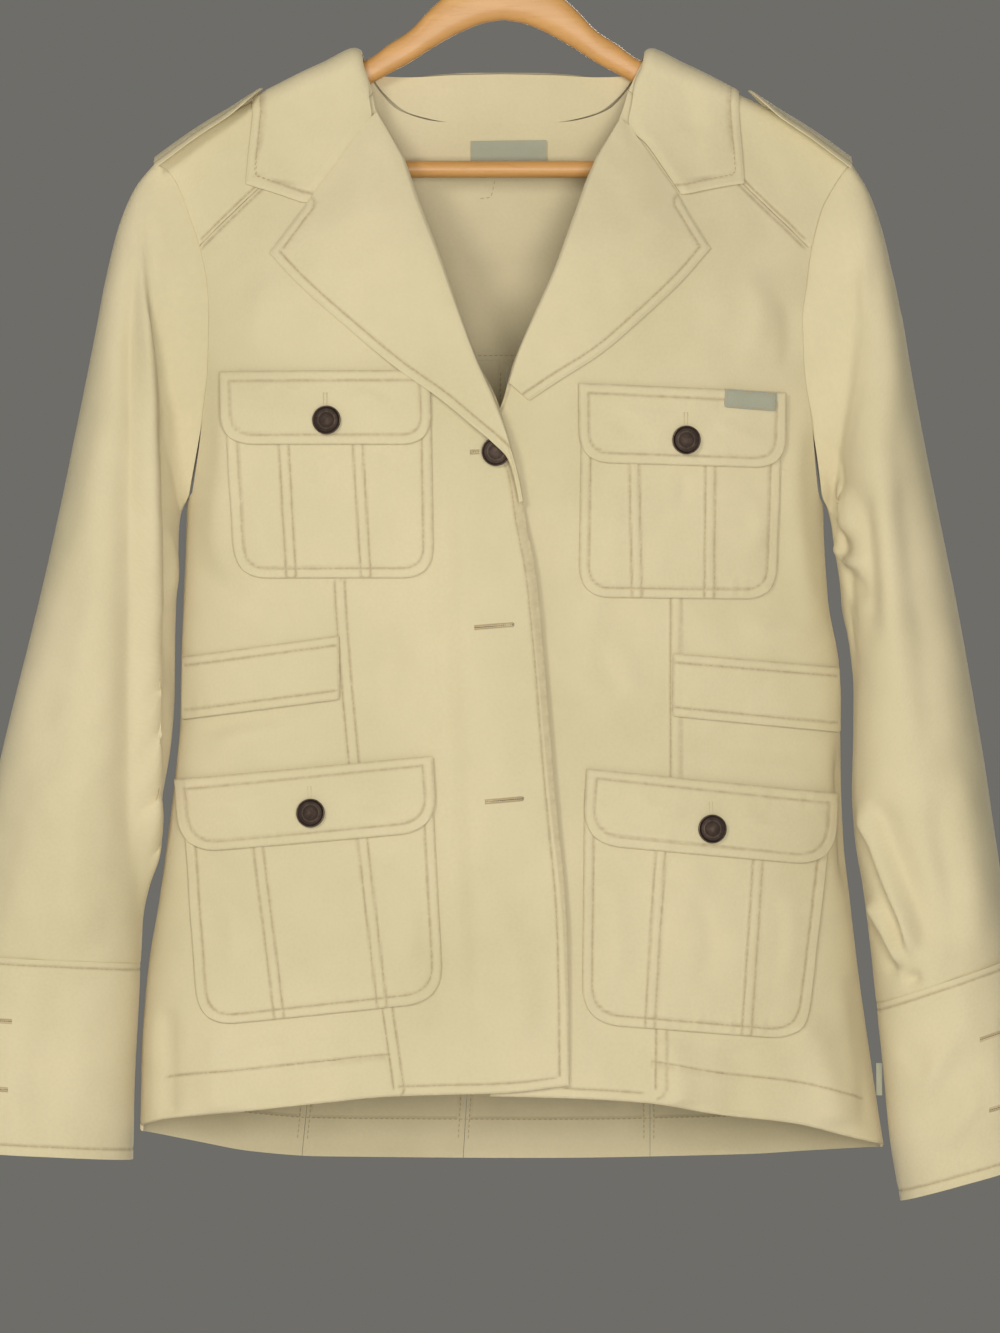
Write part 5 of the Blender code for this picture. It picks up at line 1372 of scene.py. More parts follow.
@dataclass
class Back:
    """The back yoke and the four back panels."""

    jacket: Jacket
    hem_depth: float = 24.0
    row_gap: float = 6.2
    turn_up: float = 0.8
    neck_rise: float = 0.9
    thread_mark: tuple[tuple[float, float], ...] = (
        (-5.0, 202.5), (-6.4, 209.0), (-7.6, 213.4), (-14.9, 214.2))

    def seam_line(self, name: str, rows: Array) -> Array:
        """Return points (angle, drop) of a back seam from the yoke to the hem."""
        last = float(BACK_HEM.read("drop", BACK_SEAMS.read(name, 812.0)))
        first = float(BACK_YOKE.read("drop", np.abs(BACK_SEAMS.read(name, 316.0)))) + JOIN_GAP
        drop = first + (last - first) * rows
        return as_angles(pairs(BACK_SEAMS.read(name, drop), drop))

    def side_line(self, side: Side, rows: Array) -> Array:
        """Return points (angle, drop) of the armhole and the side seam."""
        drop = YOKE_BACK_DROP + JOIN_GAP + (BACK_SIDE_DROP - YOKE_BACK_DROP - JOIN_GAP) * rows
        x = ARMHOLE.read(side.word, np.minimum(drop, UNDERARM_DROP)) - side.value * JOIN_GAP
        turn = np.where(drop < UNDERARM_DROP, FORM.to_angle(x, drop), side.value * math.pi / 2)
        return pairs(turn, drop)

    def build(self) -> None:
        """Build the yoke and the panels with their sewing."""
        self.build_yoke()
        rows = stations(485.0, True, True, 4.6, (461.0,))
        lines = [self.side_line(Side.LEFT, rows)]
        lines += [self.seam_line(name, rows) for name in ("left_side", "middle", "right_side")]
        lines.append(self.side_line(Side.RIGHT, rows))
        hem_x = np.arange(-218.0, 231.0, 6.0)
        hem = Seam(pairs(hem_x, BACK_HEM.read("drop", hem_x) - self.hem_depth), phase=7.0)
        needle = Needle()
        drops = np.arange(322.0, 806.0, 6.0)
        seams = [hem]
        for place, key in enumerate(("left_side", "middle", "right_side")):
            line = pairs(BACK_SEAMS.read(key, drops) + 2.4, drops)
            seams.append(Seam(line, (0.0, -self.row_gap), 0.3, phase=8.0 + place))
        layer = Layer(Face.BACK, BACK_FOLDS, seams=seams, inner_fold=self.turn_up)
        for place, name in enumerate(("side_left", "middle_left", "middle_right", "side_right")):
            left, right = lines[place].copy(), lines[place + 1].copy()
            left[:, 0] += 0.00075 * (place > 0)
            right[:, 0] -= 0.00075 * (place < 3)
            columns = stations(110.0, place > 0, place < 3, 4.8)
            top = left[0] + (right[0] - left[0]) * columns[:, None]
            low = left[-1] + (right[-1] - left[-1]) * columns[:, None]
            low_x = FORM.on_body(low[:, 0], low[:, 1], Face.BACK)[:, 0]
            low[1:-1, 1] = BACK_HEM.read("drop", low_x)[1:-1]
            grid = coons(top, low, left, right)
            points, normals = FORM.body_frame(grid[..., 0], grid[..., 1], Face.BACK)
            rim = np.full(grid.shape[:2], 9.0)
            rim[-1], rim[-2], rim[0], rim[1] = 0.0, 0.6, 0.4, 1.0
            cloth = layer.finish(points, normals, grid * [MEAN_GIRTH, 1], 0.0, rim)
            x, drop = points[..., 0], -points[..., 2]
            turned = ease((drop - BACK_HEM.read("drop", x) + self.hem_depth + 1.5) / 1.2)
            for key in ("left_side", "middle", "right_side"):
                away = x - BACK_SEAMS.read(key, drop)
                turned = np.maximum(turned, ease((away + 5.4) / 1.2) * ease((4.0 - away) / 1.2))
            cloth.inner = cloth.inner - cloth.normals * (turned * self.turn_up)[..., None]
            cloth.thickness = cloth.thickness + turned * self.turn_up
            self.jacket.cloth(cloth, "back_" + name, ["yoke_back_cloth"])
        layer.sew(needle)
        layer.sew(needle, True)
        self.jacket.stitches(needle, "stitches_back")

    def build_yoke(self) -> None:
        """Build the back yoke, one piece from shoulder to shoulder."""
        rows = stations(190.0, False, True, 4.6)
        sides = []
        for side in Side:
            drop = np.linspace(ARMHOLE_TOP, YOKE_BACK_DROP, 80)
            x = ARMHOLE.read(side.word, drop) - side.value * JOIN_GAP
            edge = as_arcs(pairs(x, drop), Face.BACK)
            edge[0] = (side.value * SHOULDER_END, 0)
            sides.append(at_shares(edge, rows))
        shoulder, neck = np.linspace(SHOULDER_END, NECK_POINT, 36), np.linspace(NECK_POINT, 0, 30)
        half = np.concatenate([shoulder[:-1], neck])
        x = np.concatenate([-half, half[::-1][1:]])
        drop = np.where(np.abs(x) >= NECK_POINT, FORM.ridge(x),
                        BACK_NECK.read("drop", np.abs(x)) - self.neck_rise)
        top = as_arcs(pairs(x, drop), Face.BACK)
        low = x * BACK_YOKE_END / SHOULDER_END
        low = as_arcs(pairs(low, BACK_YOKE.read("drop", np.abs(low))), Face.BACK)
        top[0], top[-1] = sides[0][0], sides[1][0]
        low[0], low[-1] = sides[0][-1], sides[1][-1]
        grid = coons(top, low, *sides) + [0, 1e-4]
        points, normals = FORM.shoulder_frame(grid[..., 0], grid[..., 1])
        x = np.arange(-178.0, 179.0, 6.0)
        seam = pairs(x, BACK_YOKE.read("drop", np.abs(x)) - YOKE_STITCH_GAP)
        layer = Layer(Face.BACK, BACK_FOLDS, seams=[Seam(seam, phase=12.0)])
        cloth = layer.finish(points, normals, grid)
        self.jacket.cloth(cloth, "yoke_back", ["hanger_wood"])
        needle = Needle()
        layer.sew(needle)
        layer.sew(needle, True)
        needle.sew(*layer.on_top(along(np.array(self.thread_mark), 30), True))
        self.jacket.stitches(needle, "stitches_yoke_back")


SLEEVE = {
    Side.LEFT: Table("outer_x outer_drop inner_x inner_drop low high fold back", (
        (-228.5, 208, -200.6, 412.5, 21, 6, 0.70, 24), (-238.5, 231, -201.4, 419, 22, 10, 0.70, 27),
        (-247.0, 265, -201.8, 430, 22, 15, 0.72, 29), (-254.2, 303, -202.0, 447, 22, 19, 0.74, 31),
        (-264.2, 353, -203.4, 470, 21, 22, 0.76, 32), (-274.4, 403, -204.0, 495, 20, 24, 0.78, 32),
        (-284.6, 449, -204.2, 522, 20, 25, 0.80, 32), (-295.0, 492, -206.0, 550, 20, 25, 0.84, 32),
        (-305.0, 532, -210.6, 580, 20, 25, 0.90, 32), (-314.3, 571, -217.2, 608, 21, 24, 0.97, 32),
        (-323.2, 610, -221.6, 635, 22, 23, 1.0, 32), (-332.0, 648, -223.8, 662, 23, 22, 1.0, 32),
        (-340.2, 684.0, -225.4, 690.0, 24, 20, 1.0, 32))),
    Side.RIGHT: Table("outer_x outer_drop inner_x inner_drop low high fold back", (
        (227.5, 211, 203.0, 412.5, 21, 6, 0.80, 24), (236.2, 236, 204.4, 419, 22, 10, 0.80, 27),
        (242.6, 264, 205.6, 430, 22, 15, 0.82, 29), (249.0, 295, 208.4, 447, 22, 19, 0.86, 31),
        (256.2, 336, 211.5, 470, 21, 22, 0.90, 32), (264.8, 381, 215.6, 495, 20, 24, 0.94, 32),
        (273.8, 426, 218.0, 522, 20, 25, 0.98, 32), (282.8, 471, 217.8, 552, 20, 25, 1.0, 32),
        (291.2, 518, 217.0, 584, 20, 25, 1.0, 32), (298.8, 563, 219.0, 614, 21, 24, 1.0, 32),
        (305.6, 609, 224.0, 645, 22, 23, 1.0, 32), (311.8, 650, 228.4, 680, 23, 22, 1.0, 32),
        (317.8, 685.0, 232.2, 714.5, 24, 20, 1.0, 32))),
}
CUFF = {
    Side.LEFT: Table("outer_x outer_drop inner_x inner_drop front back", (
        (-341.0, 684.7, -225.6, 690.7, 44, 32), (-343.6, 722, -227.4, 728, 43, 33),
        (-346.4, 764, -229.4, 770, 41, 34), (-349.0, 806, -230.0, 812.5, 39, 35))),
    Side.RIGHT: Table("outer_x outer_drop inner_x inner_drop front back", (
        (318.4, 685.9, 232.4, 715.6, 44, 32), (325.0, 725, 236.6, 755, 43, 33),
        (331.6, 769, 240.4, 797, 41, 34), (338.4, 811.5, 247.0, 838, 39, 35))),
}
SLEEVE_FRONT_FOLDS: dict[Side, tuple[Crease, ...]] = {
    Side.LEFT: (
        Crease(((-223, 228), (-223, 300), (-221.6, 380), (-220.8, 450), (-220.6, 540), (-221.4, 640),
                (-223, 686)), -9.5, 3.2, 6.0, 0.16),
        Crease(((-229, 250), (-229.5, 380), (-229, 520), (-231, 660)), 5.0, 13, 4.2, 0.2),
        Crease(((-214.5, 200), (-214, 250), (-214.6, 310)), -3.0, 4.0, 4.5),
        Crease(((-218.5, 206), (-218.6, 260), (-218, 330)), 2.4, 3.4, 3.4),
        Crease(((-195, 236), (-197, 300), (-192, 360)), -2.6, 5.0, 4.5),
        Crease(((-206, 250), (-207, 320), (-205, 400)), 2.6, 6.0, 6.0),
        Crease(((-212, 410), (-206, 440), (-208, 470)), -3.0, 5.0, 4.0),
        Crease(((-250, 420), (-270, 470), (-282, 540), (-284, 600)), 2.2, 12, 14),
        Crease(((-232, 330), (-250, 380), (-262, 440)), -1.8, 10, 12),
        Crease(((-262, 560), (-268, 620), (-262, 684)), -2.2, 12, 14, 0.2),
        Crease(((-300, 560), (-312, 620), (-322, 680)), 1.8, 12, 12, 0.2),
        Crease(((-216, 470), (-208, 500), (-206, 530)), 2.0, 5, 6),
        Crease(((-222, 240), (-230, 280), (-232, 330)), 1.6, 9, 10)),
    Side.RIGHT: (
        Crease(((197, 380), (205, 400), (207, 424)), 5.0, 3.0, 4.0),
        Crease(((203, 388), (212, 406), (214, 432)), -6.0, 3.0, 3.6),
        Crease(((212, 384), (222, 410), (226, 450), (228, 500)), 4.6, 5.0, 8.0),
        Crease(((203, 414), (210, 426), (212, 446)), 4.2, 3.0, 3.4),
        Crease(((204, 428), (214, 440), (224, 444)), -4.4, 2.8, 3.2),
        Crease(((207, 444), (217, 452), (222, 470)), 3.4, 3.6, 4.0),
        Crease(((220, 586), (234, 630), (248, 666), (254, 690)), -7.5, 3.2, 5.0, 0.2),
        Crease(((229, 584), (243, 626), (258, 662), (264, 690)), 5.0, 5.0, 12, 0.2),
        Crease(((222, 604), (232, 634), (243, 664), (249, 682)), 4.2, 4.0, 4.0, 0.2),
        Crease(((227, 648), (240, 676), (249, 694)), -6.0, 2.8, 3.6, 0.2),
        Crease(((226, 662), (236, 684), (244, 700)), 3.6, 3.6, 3.6, 0.25),
        Crease(((246, 701), (253, 699), (260, 696)), 4.2, 5.0, 4.0, 0.45),
        Crease(((246, 330), (252, 420), (262, 500), (266, 590)), 3.4, 11, 12),
        Crease(((234, 360), (238, 440), (244, 520)), -3.0, 8, 9),
        Crease(((280, 560), (288, 620), (294, 690)), -3.0, 11, 11, 0.2),
        Crease(((266, 580), (276, 640), (280, 690)), 2.6, 9, 9, 0.2),
        Crease(((206, 214), (212, 240), (214, 290)), 2.6, 4.0, 4.5),
        Crease(((214, 210), (221, 240), (224, 300)), -2.4, 4.0, 5.0),
        Crease(((232, 250), (240, 300), (244, 360)), -1.8, 8.0, 9.0)),
}
CUFF_FOLDS: dict[Side, tuple[Crease, ...]] = {
    Side.LEFT: (
        Crease(((-316, 700), (-306, 750), (-312, 800)), 1.4, 14, 16),
        Crease(((-268, 704), (-262, 750), (-266, 806)), 1.8, 12, 14),
        Crease(((-290, 720), (-286, 760), (-290, 800)), -1.4, 10, 10)),
    Side.RIGHT: (
        Crease(((256, 774), (270, 750), (285, 726)), 2.2, 6, 8),
        Crease(((262, 790), (280, 764), (296, 742)), -1.8, 5, 6),
        Crease(((270, 808), (284, 788), (299, 768)), 2.0, 5, 7),
        Crease(((248, 736), (256, 752), (266, 762)), -1.6, 5, 6),
        Crease(((300, 730), (306, 760), (304, 800)), 1.8, 9, 10)),
}
SLEEVE_BACK_FOLDS: dict[Side, tuple[Crease, ...]] = {
    side: tuple(
        Crease(tuple((side.value * x, drop) for x, drop in line), height, left, right, taper)
        for line, height, left, right, taper in (
            (((208, 420), (226, 460), (246, 490)), 3.2, 8, 9, 0.35),
            (((208, 450), (224, 486), (240, 520)), -2.6, 7, 8, 0.35),
            (((236, 300), (246, 380), (256, 460)), 2.2, 12, 12, 0.35),
            (((232, 600), (256, 612), (284, 604)), 2.8, 9, 9, 0.35),
            (((230, 632), (252, 646), (280, 642)), -2.4, 8, 8, 0.35),
            (((262, 560), (270, 620), (276, 684)), 2.0, 12, 12, 0.2)))
    for side in Side
}


@dataclass
class Sleeves:
    """The sleeves, each a tube from the armhole to the cuff, with lapped and buttoned cuffs."""

    jacket: Jacket
    shift: float = -4.0
    ease_drop: float = 330.0
    clearance: float = 3.4
    columns: int = 152
    tail: float = 2.2
    tuck: float = 0.9
    row_inset: float = 4.2
    mean_radius: float = 55.0
    cuff_length: float = 124.0
    button_angle: float = 46.0
    lap_start: float = 78.0
    lap_angle: float = 56.0
    lap_lift: float = 2.0
    lap_ease: float = 24.0
    hem_inset: float = 6.2
    lap_inset: float = 5.6
    hole_shares: tuple[float, float] = (0.35, 0.69)
    hole_start: float = 4.0
    hole_end: float = 27.0

    def rings(self, side: Side, angles: Array) -> Array:
        """Return the sleeve's rings: the armhole seam, then an oval with a front bulge for each row.

        An angle of 0 is the outer edge, half a turn is the inner edge, and the front comes between.
        """
        share = (1 - np.cos(angles)) / 2
        front = np.sin(angles) >= 0
        drop = ARMHOLE_TOP + (UNDERARM_DROP - ARMHOLE_TOP) * share
        x = ARMHOLE.read(side.word, drop) + side.value * JOIN_GAP
        y = np.where(front, -FORM.depth(x, drop, Face.FRONT), FORM.depth(x, drop, Face.BACK))
        clear = ease((drop - self.ease_drop) / (UNDERARM_DROP - self.ease_drop))
        rings = [np.stack([x + side.value * clear * self.clearance, y, -drop - clear * CLOTH], axis=1)]
        for number, row in enumerate(SLEEVE[side].rows):
            outer_x, outer_drop, inner_x, inner_drop, low, high, fold, back = row
            x = outer_x + (inner_x - outer_x) * share
            drop = outer_drop + (inner_drop - outer_drop) * share
            bulge = np.clip(share / fold, 0, 1)
            bulge = np.sqrt(np.maximum(1 - (2 * bulge - 1) ** 2, 0))
            turn = np.abs(np.sin(angles))
            reach = np.where(front, low * turn + high * bulge, back * turn)
            y = np.where(front, -reach, reach) + self.shift * ease((number + 1) / 4)
            rings.append(np.stack([x, y, -drop], axis=1))
        return np.array(rings)

    def build_sleeve(self, side: Side) -> None:
        """Build one sleeve: a smooth tube through the rings, folded by the listed creases."""
        angles = np.linspace(0, 2 * math.pi, self.columns, endpoint=False)
        rings = self.rings(side, angles)
        middle = rings[-1].mean(axis=0)
        tail = rings[-1] + unit(rings[-1] - rings[-2]) * self.tail + unit(middle - rings[-1]) * self.tuck
        rings = np.concatenate([rings, tail[None]])
        last = len(rings) - 1
        at = np.concatenate([np.linspace(0, 1, 9)[:-1], np.linspace(1, last - 2, 130),
                             np.linspace(last - 2, last - 1, 24)[1:], [last - 0.5, last]])
        flat = smooth(np.arange(len(rings)), rings.reshape(len(rings), -1), at)
        points = flat.reshape(len(at), len(angles), 3)
        normals = grid_normals(points, side.value, True)
        x, drop = points[..., 0], -points[..., 2]
        front = (np.sin(angles) >= 0)[None]
        soft = ease(np.abs(np.sin(angles)) / 0.25)[None]
        fold = np.where(front, fold_height(SLEEVE_FRONT_FOLDS[side], x, drop),
                        fold_height(SLEEVE_BACK_FOLDS[side], x, drop)) * soft
        fold = fold * ease(at / 2.0)[:, None]
        length = running(points[:, 0])[:, None]
        from_row = length[-3] - length - self.row_inset
        row = bell(from_row, WIDE_ROW)
        # The mask paints the stitch row near the end, with the thread's colour and groove shade, and paints
        # shade along the armhole seam.
        mask = np.maximum(row, bell(length, 1.3)) + 0 * x
        around = angles[None] * self.mean_radius
        rise = 0.16 * ripple(around, 2.0) * bell(from_row, 6.0) - 0.36 * row
        rise = rise + 0.2 * ripple(around * 1.4, 5.0) * bell(length - 3.0, 7.0)
        inner = points + normals * fold[..., None]
        uv = pairs(around + 0 * x, -length + 0 * x)
        grid = ClothGrid(inner, grid_normals(inner, side.value, True), CLOTH + rise, uv, mask, fold, True)
        nodes = ("sleeve_" + side.word + "_front", "sleeve_" + side.word + "_back")
        self.jacket.cloth(grid, "sleeve_" + side.word, ["front_" + side.word + "_cloth"], nodes)
        outer = grid.outer()
        needle = Needle()
        row_at = length[-3, 0] - self.row_inset
        row = np.array([[np.interp(row_at, length[:, 0], outer[:, step, axis]) for axis in range(3)]
                        for step in range(self.columns)])
        needle.sew(np.vstack([row, row[:1]]), np.vstack([grid.normals[-3], grid.normals[-3][:1]]))
        self.jacket.stitches(needle, "stitches_sleeve_" + side.word)

    def cuff_surface(self, side: Side, angles: Array, down: Array) -> tuple[Array, Array]:
        """Return the cuff's inner face, a cloth's thickness inside its oval, and its normals."""
        columns = CUFF[side].columns(down * (CUFF[side].count() - 1))
        outer_x, outer_drop, inner_x, inner_drop, front, back = columns
        across = (1 - np.cos(angles))[None] / 2
        x = outer_x + (inner_x - outer_x) * across
        drop = outer_drop + (inner_drop - outer_drop) * across
        turn = np.sin(angles)[None]
        y = np.where(turn > 0, -front, back) * np.abs(turn) ** 0.9 + self.shift
        points = np.stack([x, y, -drop], axis=-1)
        normals = grid_normals(points, side.value)
        return points - normals * CLOTH, normals

    def build_cuff(self, side: Side) -> None:
        """Build one cuff: a strip round the wrist that laps over its own start."""
        turn = np.linspace(0, 360 + self.lap_angle, 132)
        rows = stations(self.cuff_length, True, True, 3.2)
        points, normals = self.cuff_surface(side, np.radians(self.lap_start - turn), rows)
        lift = self.lap_lift * ease((turn - 360 + self.lap_ease) / self.lap_ease)
        points = points + normals * lift[None, :, None]
        down = (rows * self.cuff_length)[:, None]
        around = (turn * 0.95)[None]
        angle = np.radians(self.lap_start - turn)[None]
        wave = 0.7 * np.sin(2 * angle + 1.3) * np.sin(down / 50 + 0.6) + 0.4 * np.sin(5 * angle + down / 40)
        front = fold_height(CUFF_FOLDS[side], points[..., 0], -points[..., 2]) * (np.sin(angle) > 0)
        up = self.cuff_length - down
        fold = (wave + front * ease(np.abs(np.sin(angle)) / 0.3)) * ease(down / 16) * ease(up / 16)
        thickness = CLOTH + 0 * fold
        mask = 0 * fold
        for inset, gap, length in ((self.row_inset, down, around), (self.hem_inset, up, around),
                                   (self.lap_inset, around[:, -1:] - around, down)):
            row = bell(gap - inset, WIDE_ROW)
            thickness = thickness - 0.34 * row
            thickness = thickness + 0.15 * ripple(length, inset) * bell(gap - inset, 6.0)
            # The mask paints each stitch row: the thread line's colour and painted shade in its groove.
            mask = np.maximum(mask, row + 0 * fold)
        uv = pairs(around + 0 * fold, -down + 0 * fold)
        inner = points + normals * np.maximum(fold, -1.6)[..., None]
        grid = ClothGrid(inner, normals, np.maximum(thickness, 0.4), uv, mask, fold)
        self.jacket.cloth(grid, "cuff_" + side.word, ["sleeve_" + side.word + "_cloth"])
        outer = grid.outer()
        needle = Needle()
        for place in (self.row_inset, self.cuff_length - self.hem_inset):
            row = int(np.abs(down[:, 0] - place).argmin())
            needle.sew(outer[row], grid.normals[row])
        column = int(np.abs(around[0, -1] - around[0] - self.lap_inset).argmin())
        needle.sew(outer[:, column], grid.normals[:, column])
        holes, slit_shades = Needle.worked()
        for share in self.hole_shares:
            row = int(np.abs(rows - share).argmin())
            near = (turn > 360 + self.hole_start) & (turn < 360 + self.hole_end)
            slit, facing = outer[row][near], grid.normals[row][near]
            for sign in (-1, 1):
                holes.sew(slit + np.array([0, 0, holes.spread * sign]), facing)
            # Dark beads along the slit paint its shade.
            slit_shades.sew(slit, facing)
        self.jacket.stitches(needle, "stitches_cuff_" + side.word)
        self.jacket.stitches(holes, "buttonholes_cuff_" + side.word)
        self.jacket.stitches(slit_shades, "painted_slit_shades_cuff_" + side.word, self.jacket.shade)

    def build(self) -> None:
        """Build both sleeves and both cuffs."""
        for side in Side:
            self.build_sleeve(side)
            self.build_cuff(side)


LAPEL = {
    Side.LEFT: Table("roll_x roll_drop edge_x edge_drop roll_lift edge_lift", (
        (-78.0, 163.0, -82.5, 167.2, 4.0, 3.2), (-70.0, 176.2, -98.8, 190.2, 5.5, 2.6),
        (-61.2, 191.5, -121.4, 221.2, 6.2, 2.4), (-52.9, 216.0, -143.8, 251.0, 6.5, 2.4),
        (-45.6, 235.0, -127.5, 268.5, 6.5, 2.4), (-35.9, 260.0, -98.5, 294.5, 6.5, 2.4),
        (-25.2, 291.0, -65.0, 322.5, 6.5, 5.2), (-15.3, 318.0, -37.5, 342.0, 7.5, 6.6),
        (-5.5, 340.0, -19.0, 357.4, 9.0, 9.0), (1.2, 358.0, -5.5, 369.0, 9.8, 9.4),
        (5.4, 373.0, 2.6, 377.8, 9.6, 9.0), (9.4, 388.0, 6.8, 390.6, 6.6, 6.4),
        (12.4, 404.0, 9.8, 405.0, 4.6, 4.4))),
    Side.RIGHT: Table("roll_x roll_drop edge_x edge_drop roll_lift edge_lift", (
        (72.6, 167.0, 77.2, 171.2, 4.0, 3.2), (66.0, 177.6, 90.0, 190.0, 5.5, 2.6),
        (57.6, 192.0, 110.4, 219.6, 6.2, 2.4), (49.6, 212.0, 127.6, 248.0, 6.5, 2.4),
        (41.3, 235.0, 113.0, 265.0, 6.5, 2.4), (32.0, 260.0, 88.0, 289.0, 6.2, 2.4),
        (18.6, 290.0, 59.0, 314.0, 5.5, 2.2), (9.0, 313.0, 34.0, 330.0, 4.4, 2.2),
        (3.4, 331.0, 16.0, 342.0, 3.2, 2.0))),
}
COLLAR = {
    Side.LEFT: Table("roll_out roll_arc edge_out edge_arc roll_lift edge_lift", (
        (122.4, -83.6, 159.3, -54.0, 2.8, 2.4), (99.6, -61.0, 158.0, -37.4, 3.2, 2.4),
        (83.2, -42.0, 156.6, -24.0, 3.9, 2.4), (83.4, -21.0, 155.4, -12.0, 6.0, 2.4),
        (86.6, -9.0, 154.8, -5.0, 6.4, 2.4), (87.2, 0.0, 154.2, 2.0, 6.4, 2.4),
        (85.6, 9.0, 152.6, 11.0, 7.0, 2.4), (79.0, 15.5, 149.0, 26.0, 8.0, 2.4),
        (60.0, 16.5, 128.0, 58.0, 9.0, 2.2), (40.0, 15.0, 86.0, 82.0, 9.5, 2.2),
        (20.0, 14.0, 43.0, 89.0, 9.8, 2.2), (0.0, 14.0, 0.0, 91.0, 10.0, 2.2))),
    Side.RIGHT: Table("roll_out roll_arc edge_out edge_arc roll_lift edge_lift", (
        (111.6, -82.6, 149.2, -58.6, 2.8, 2.4), (92.0, -61.6, 148.2, -41.0, 3.2, 2.4),
        (79.4, -46.6, 147.0, -26.0, 3.9, 2.4), (81.8, -22.0, 146.2, -13.0, 6.0, 2.4),
        (86.6, -9.0, 145.6, -5.0, 6.4, 2.4), (87.6, 0.0, 145.2, 2.0, 6.4, 2.4),
        (85.6, 9.0, 144.4, 11.0, 7.0, 2.4), (79.0, 15.5, 141.0, 27.0, 8.0, 2.4),
        (60.0, 16.5, 122.0, 60.0, 9.0, 2.2), (40.0, 15.0, 84.0, 82.0, 9.5, 2.2),
        (20.0, 14.0, 42.0, 89.0, 9.8, 2.2), (0.0, 14.0, 0.0, 91.0, 10.0, 2.2))),
}
STAND = Table("out seam_arc roll_arc roll_lift", (
    (0.0, 46.4, 15.0, 5.4), (30.0, 45.0, 15.4, 5.2), (58.0, 39.0, 16.6, 4.8), (74.0, 26.6, 16.0, 4.2),
    (82.6, 14.6, 11.0, 3.2)))
COLLAR_FOLDS: tuple[Crease, ...] = (
    Crease(((-140, 160), (-120, 176), (-112, 196)), 1.0, 12, 12),
    Crease(((124, 150), (128, 172), (120, 196)), 1.4, 8, 9),
    Crease(((112, 140), (116, 160), (112, 178)), -1.2, 7, 8),
    Crease(((-78, 132), (-60, 142), (-40, 140)), 2.6, 6, 7),
    Crease(((78, 128), (60, 140), (44, 138)), 2.8, 6, 7),
    Crease(((66, 150), (50, 146), (34, 152)), -1.8, 5, 6),
)


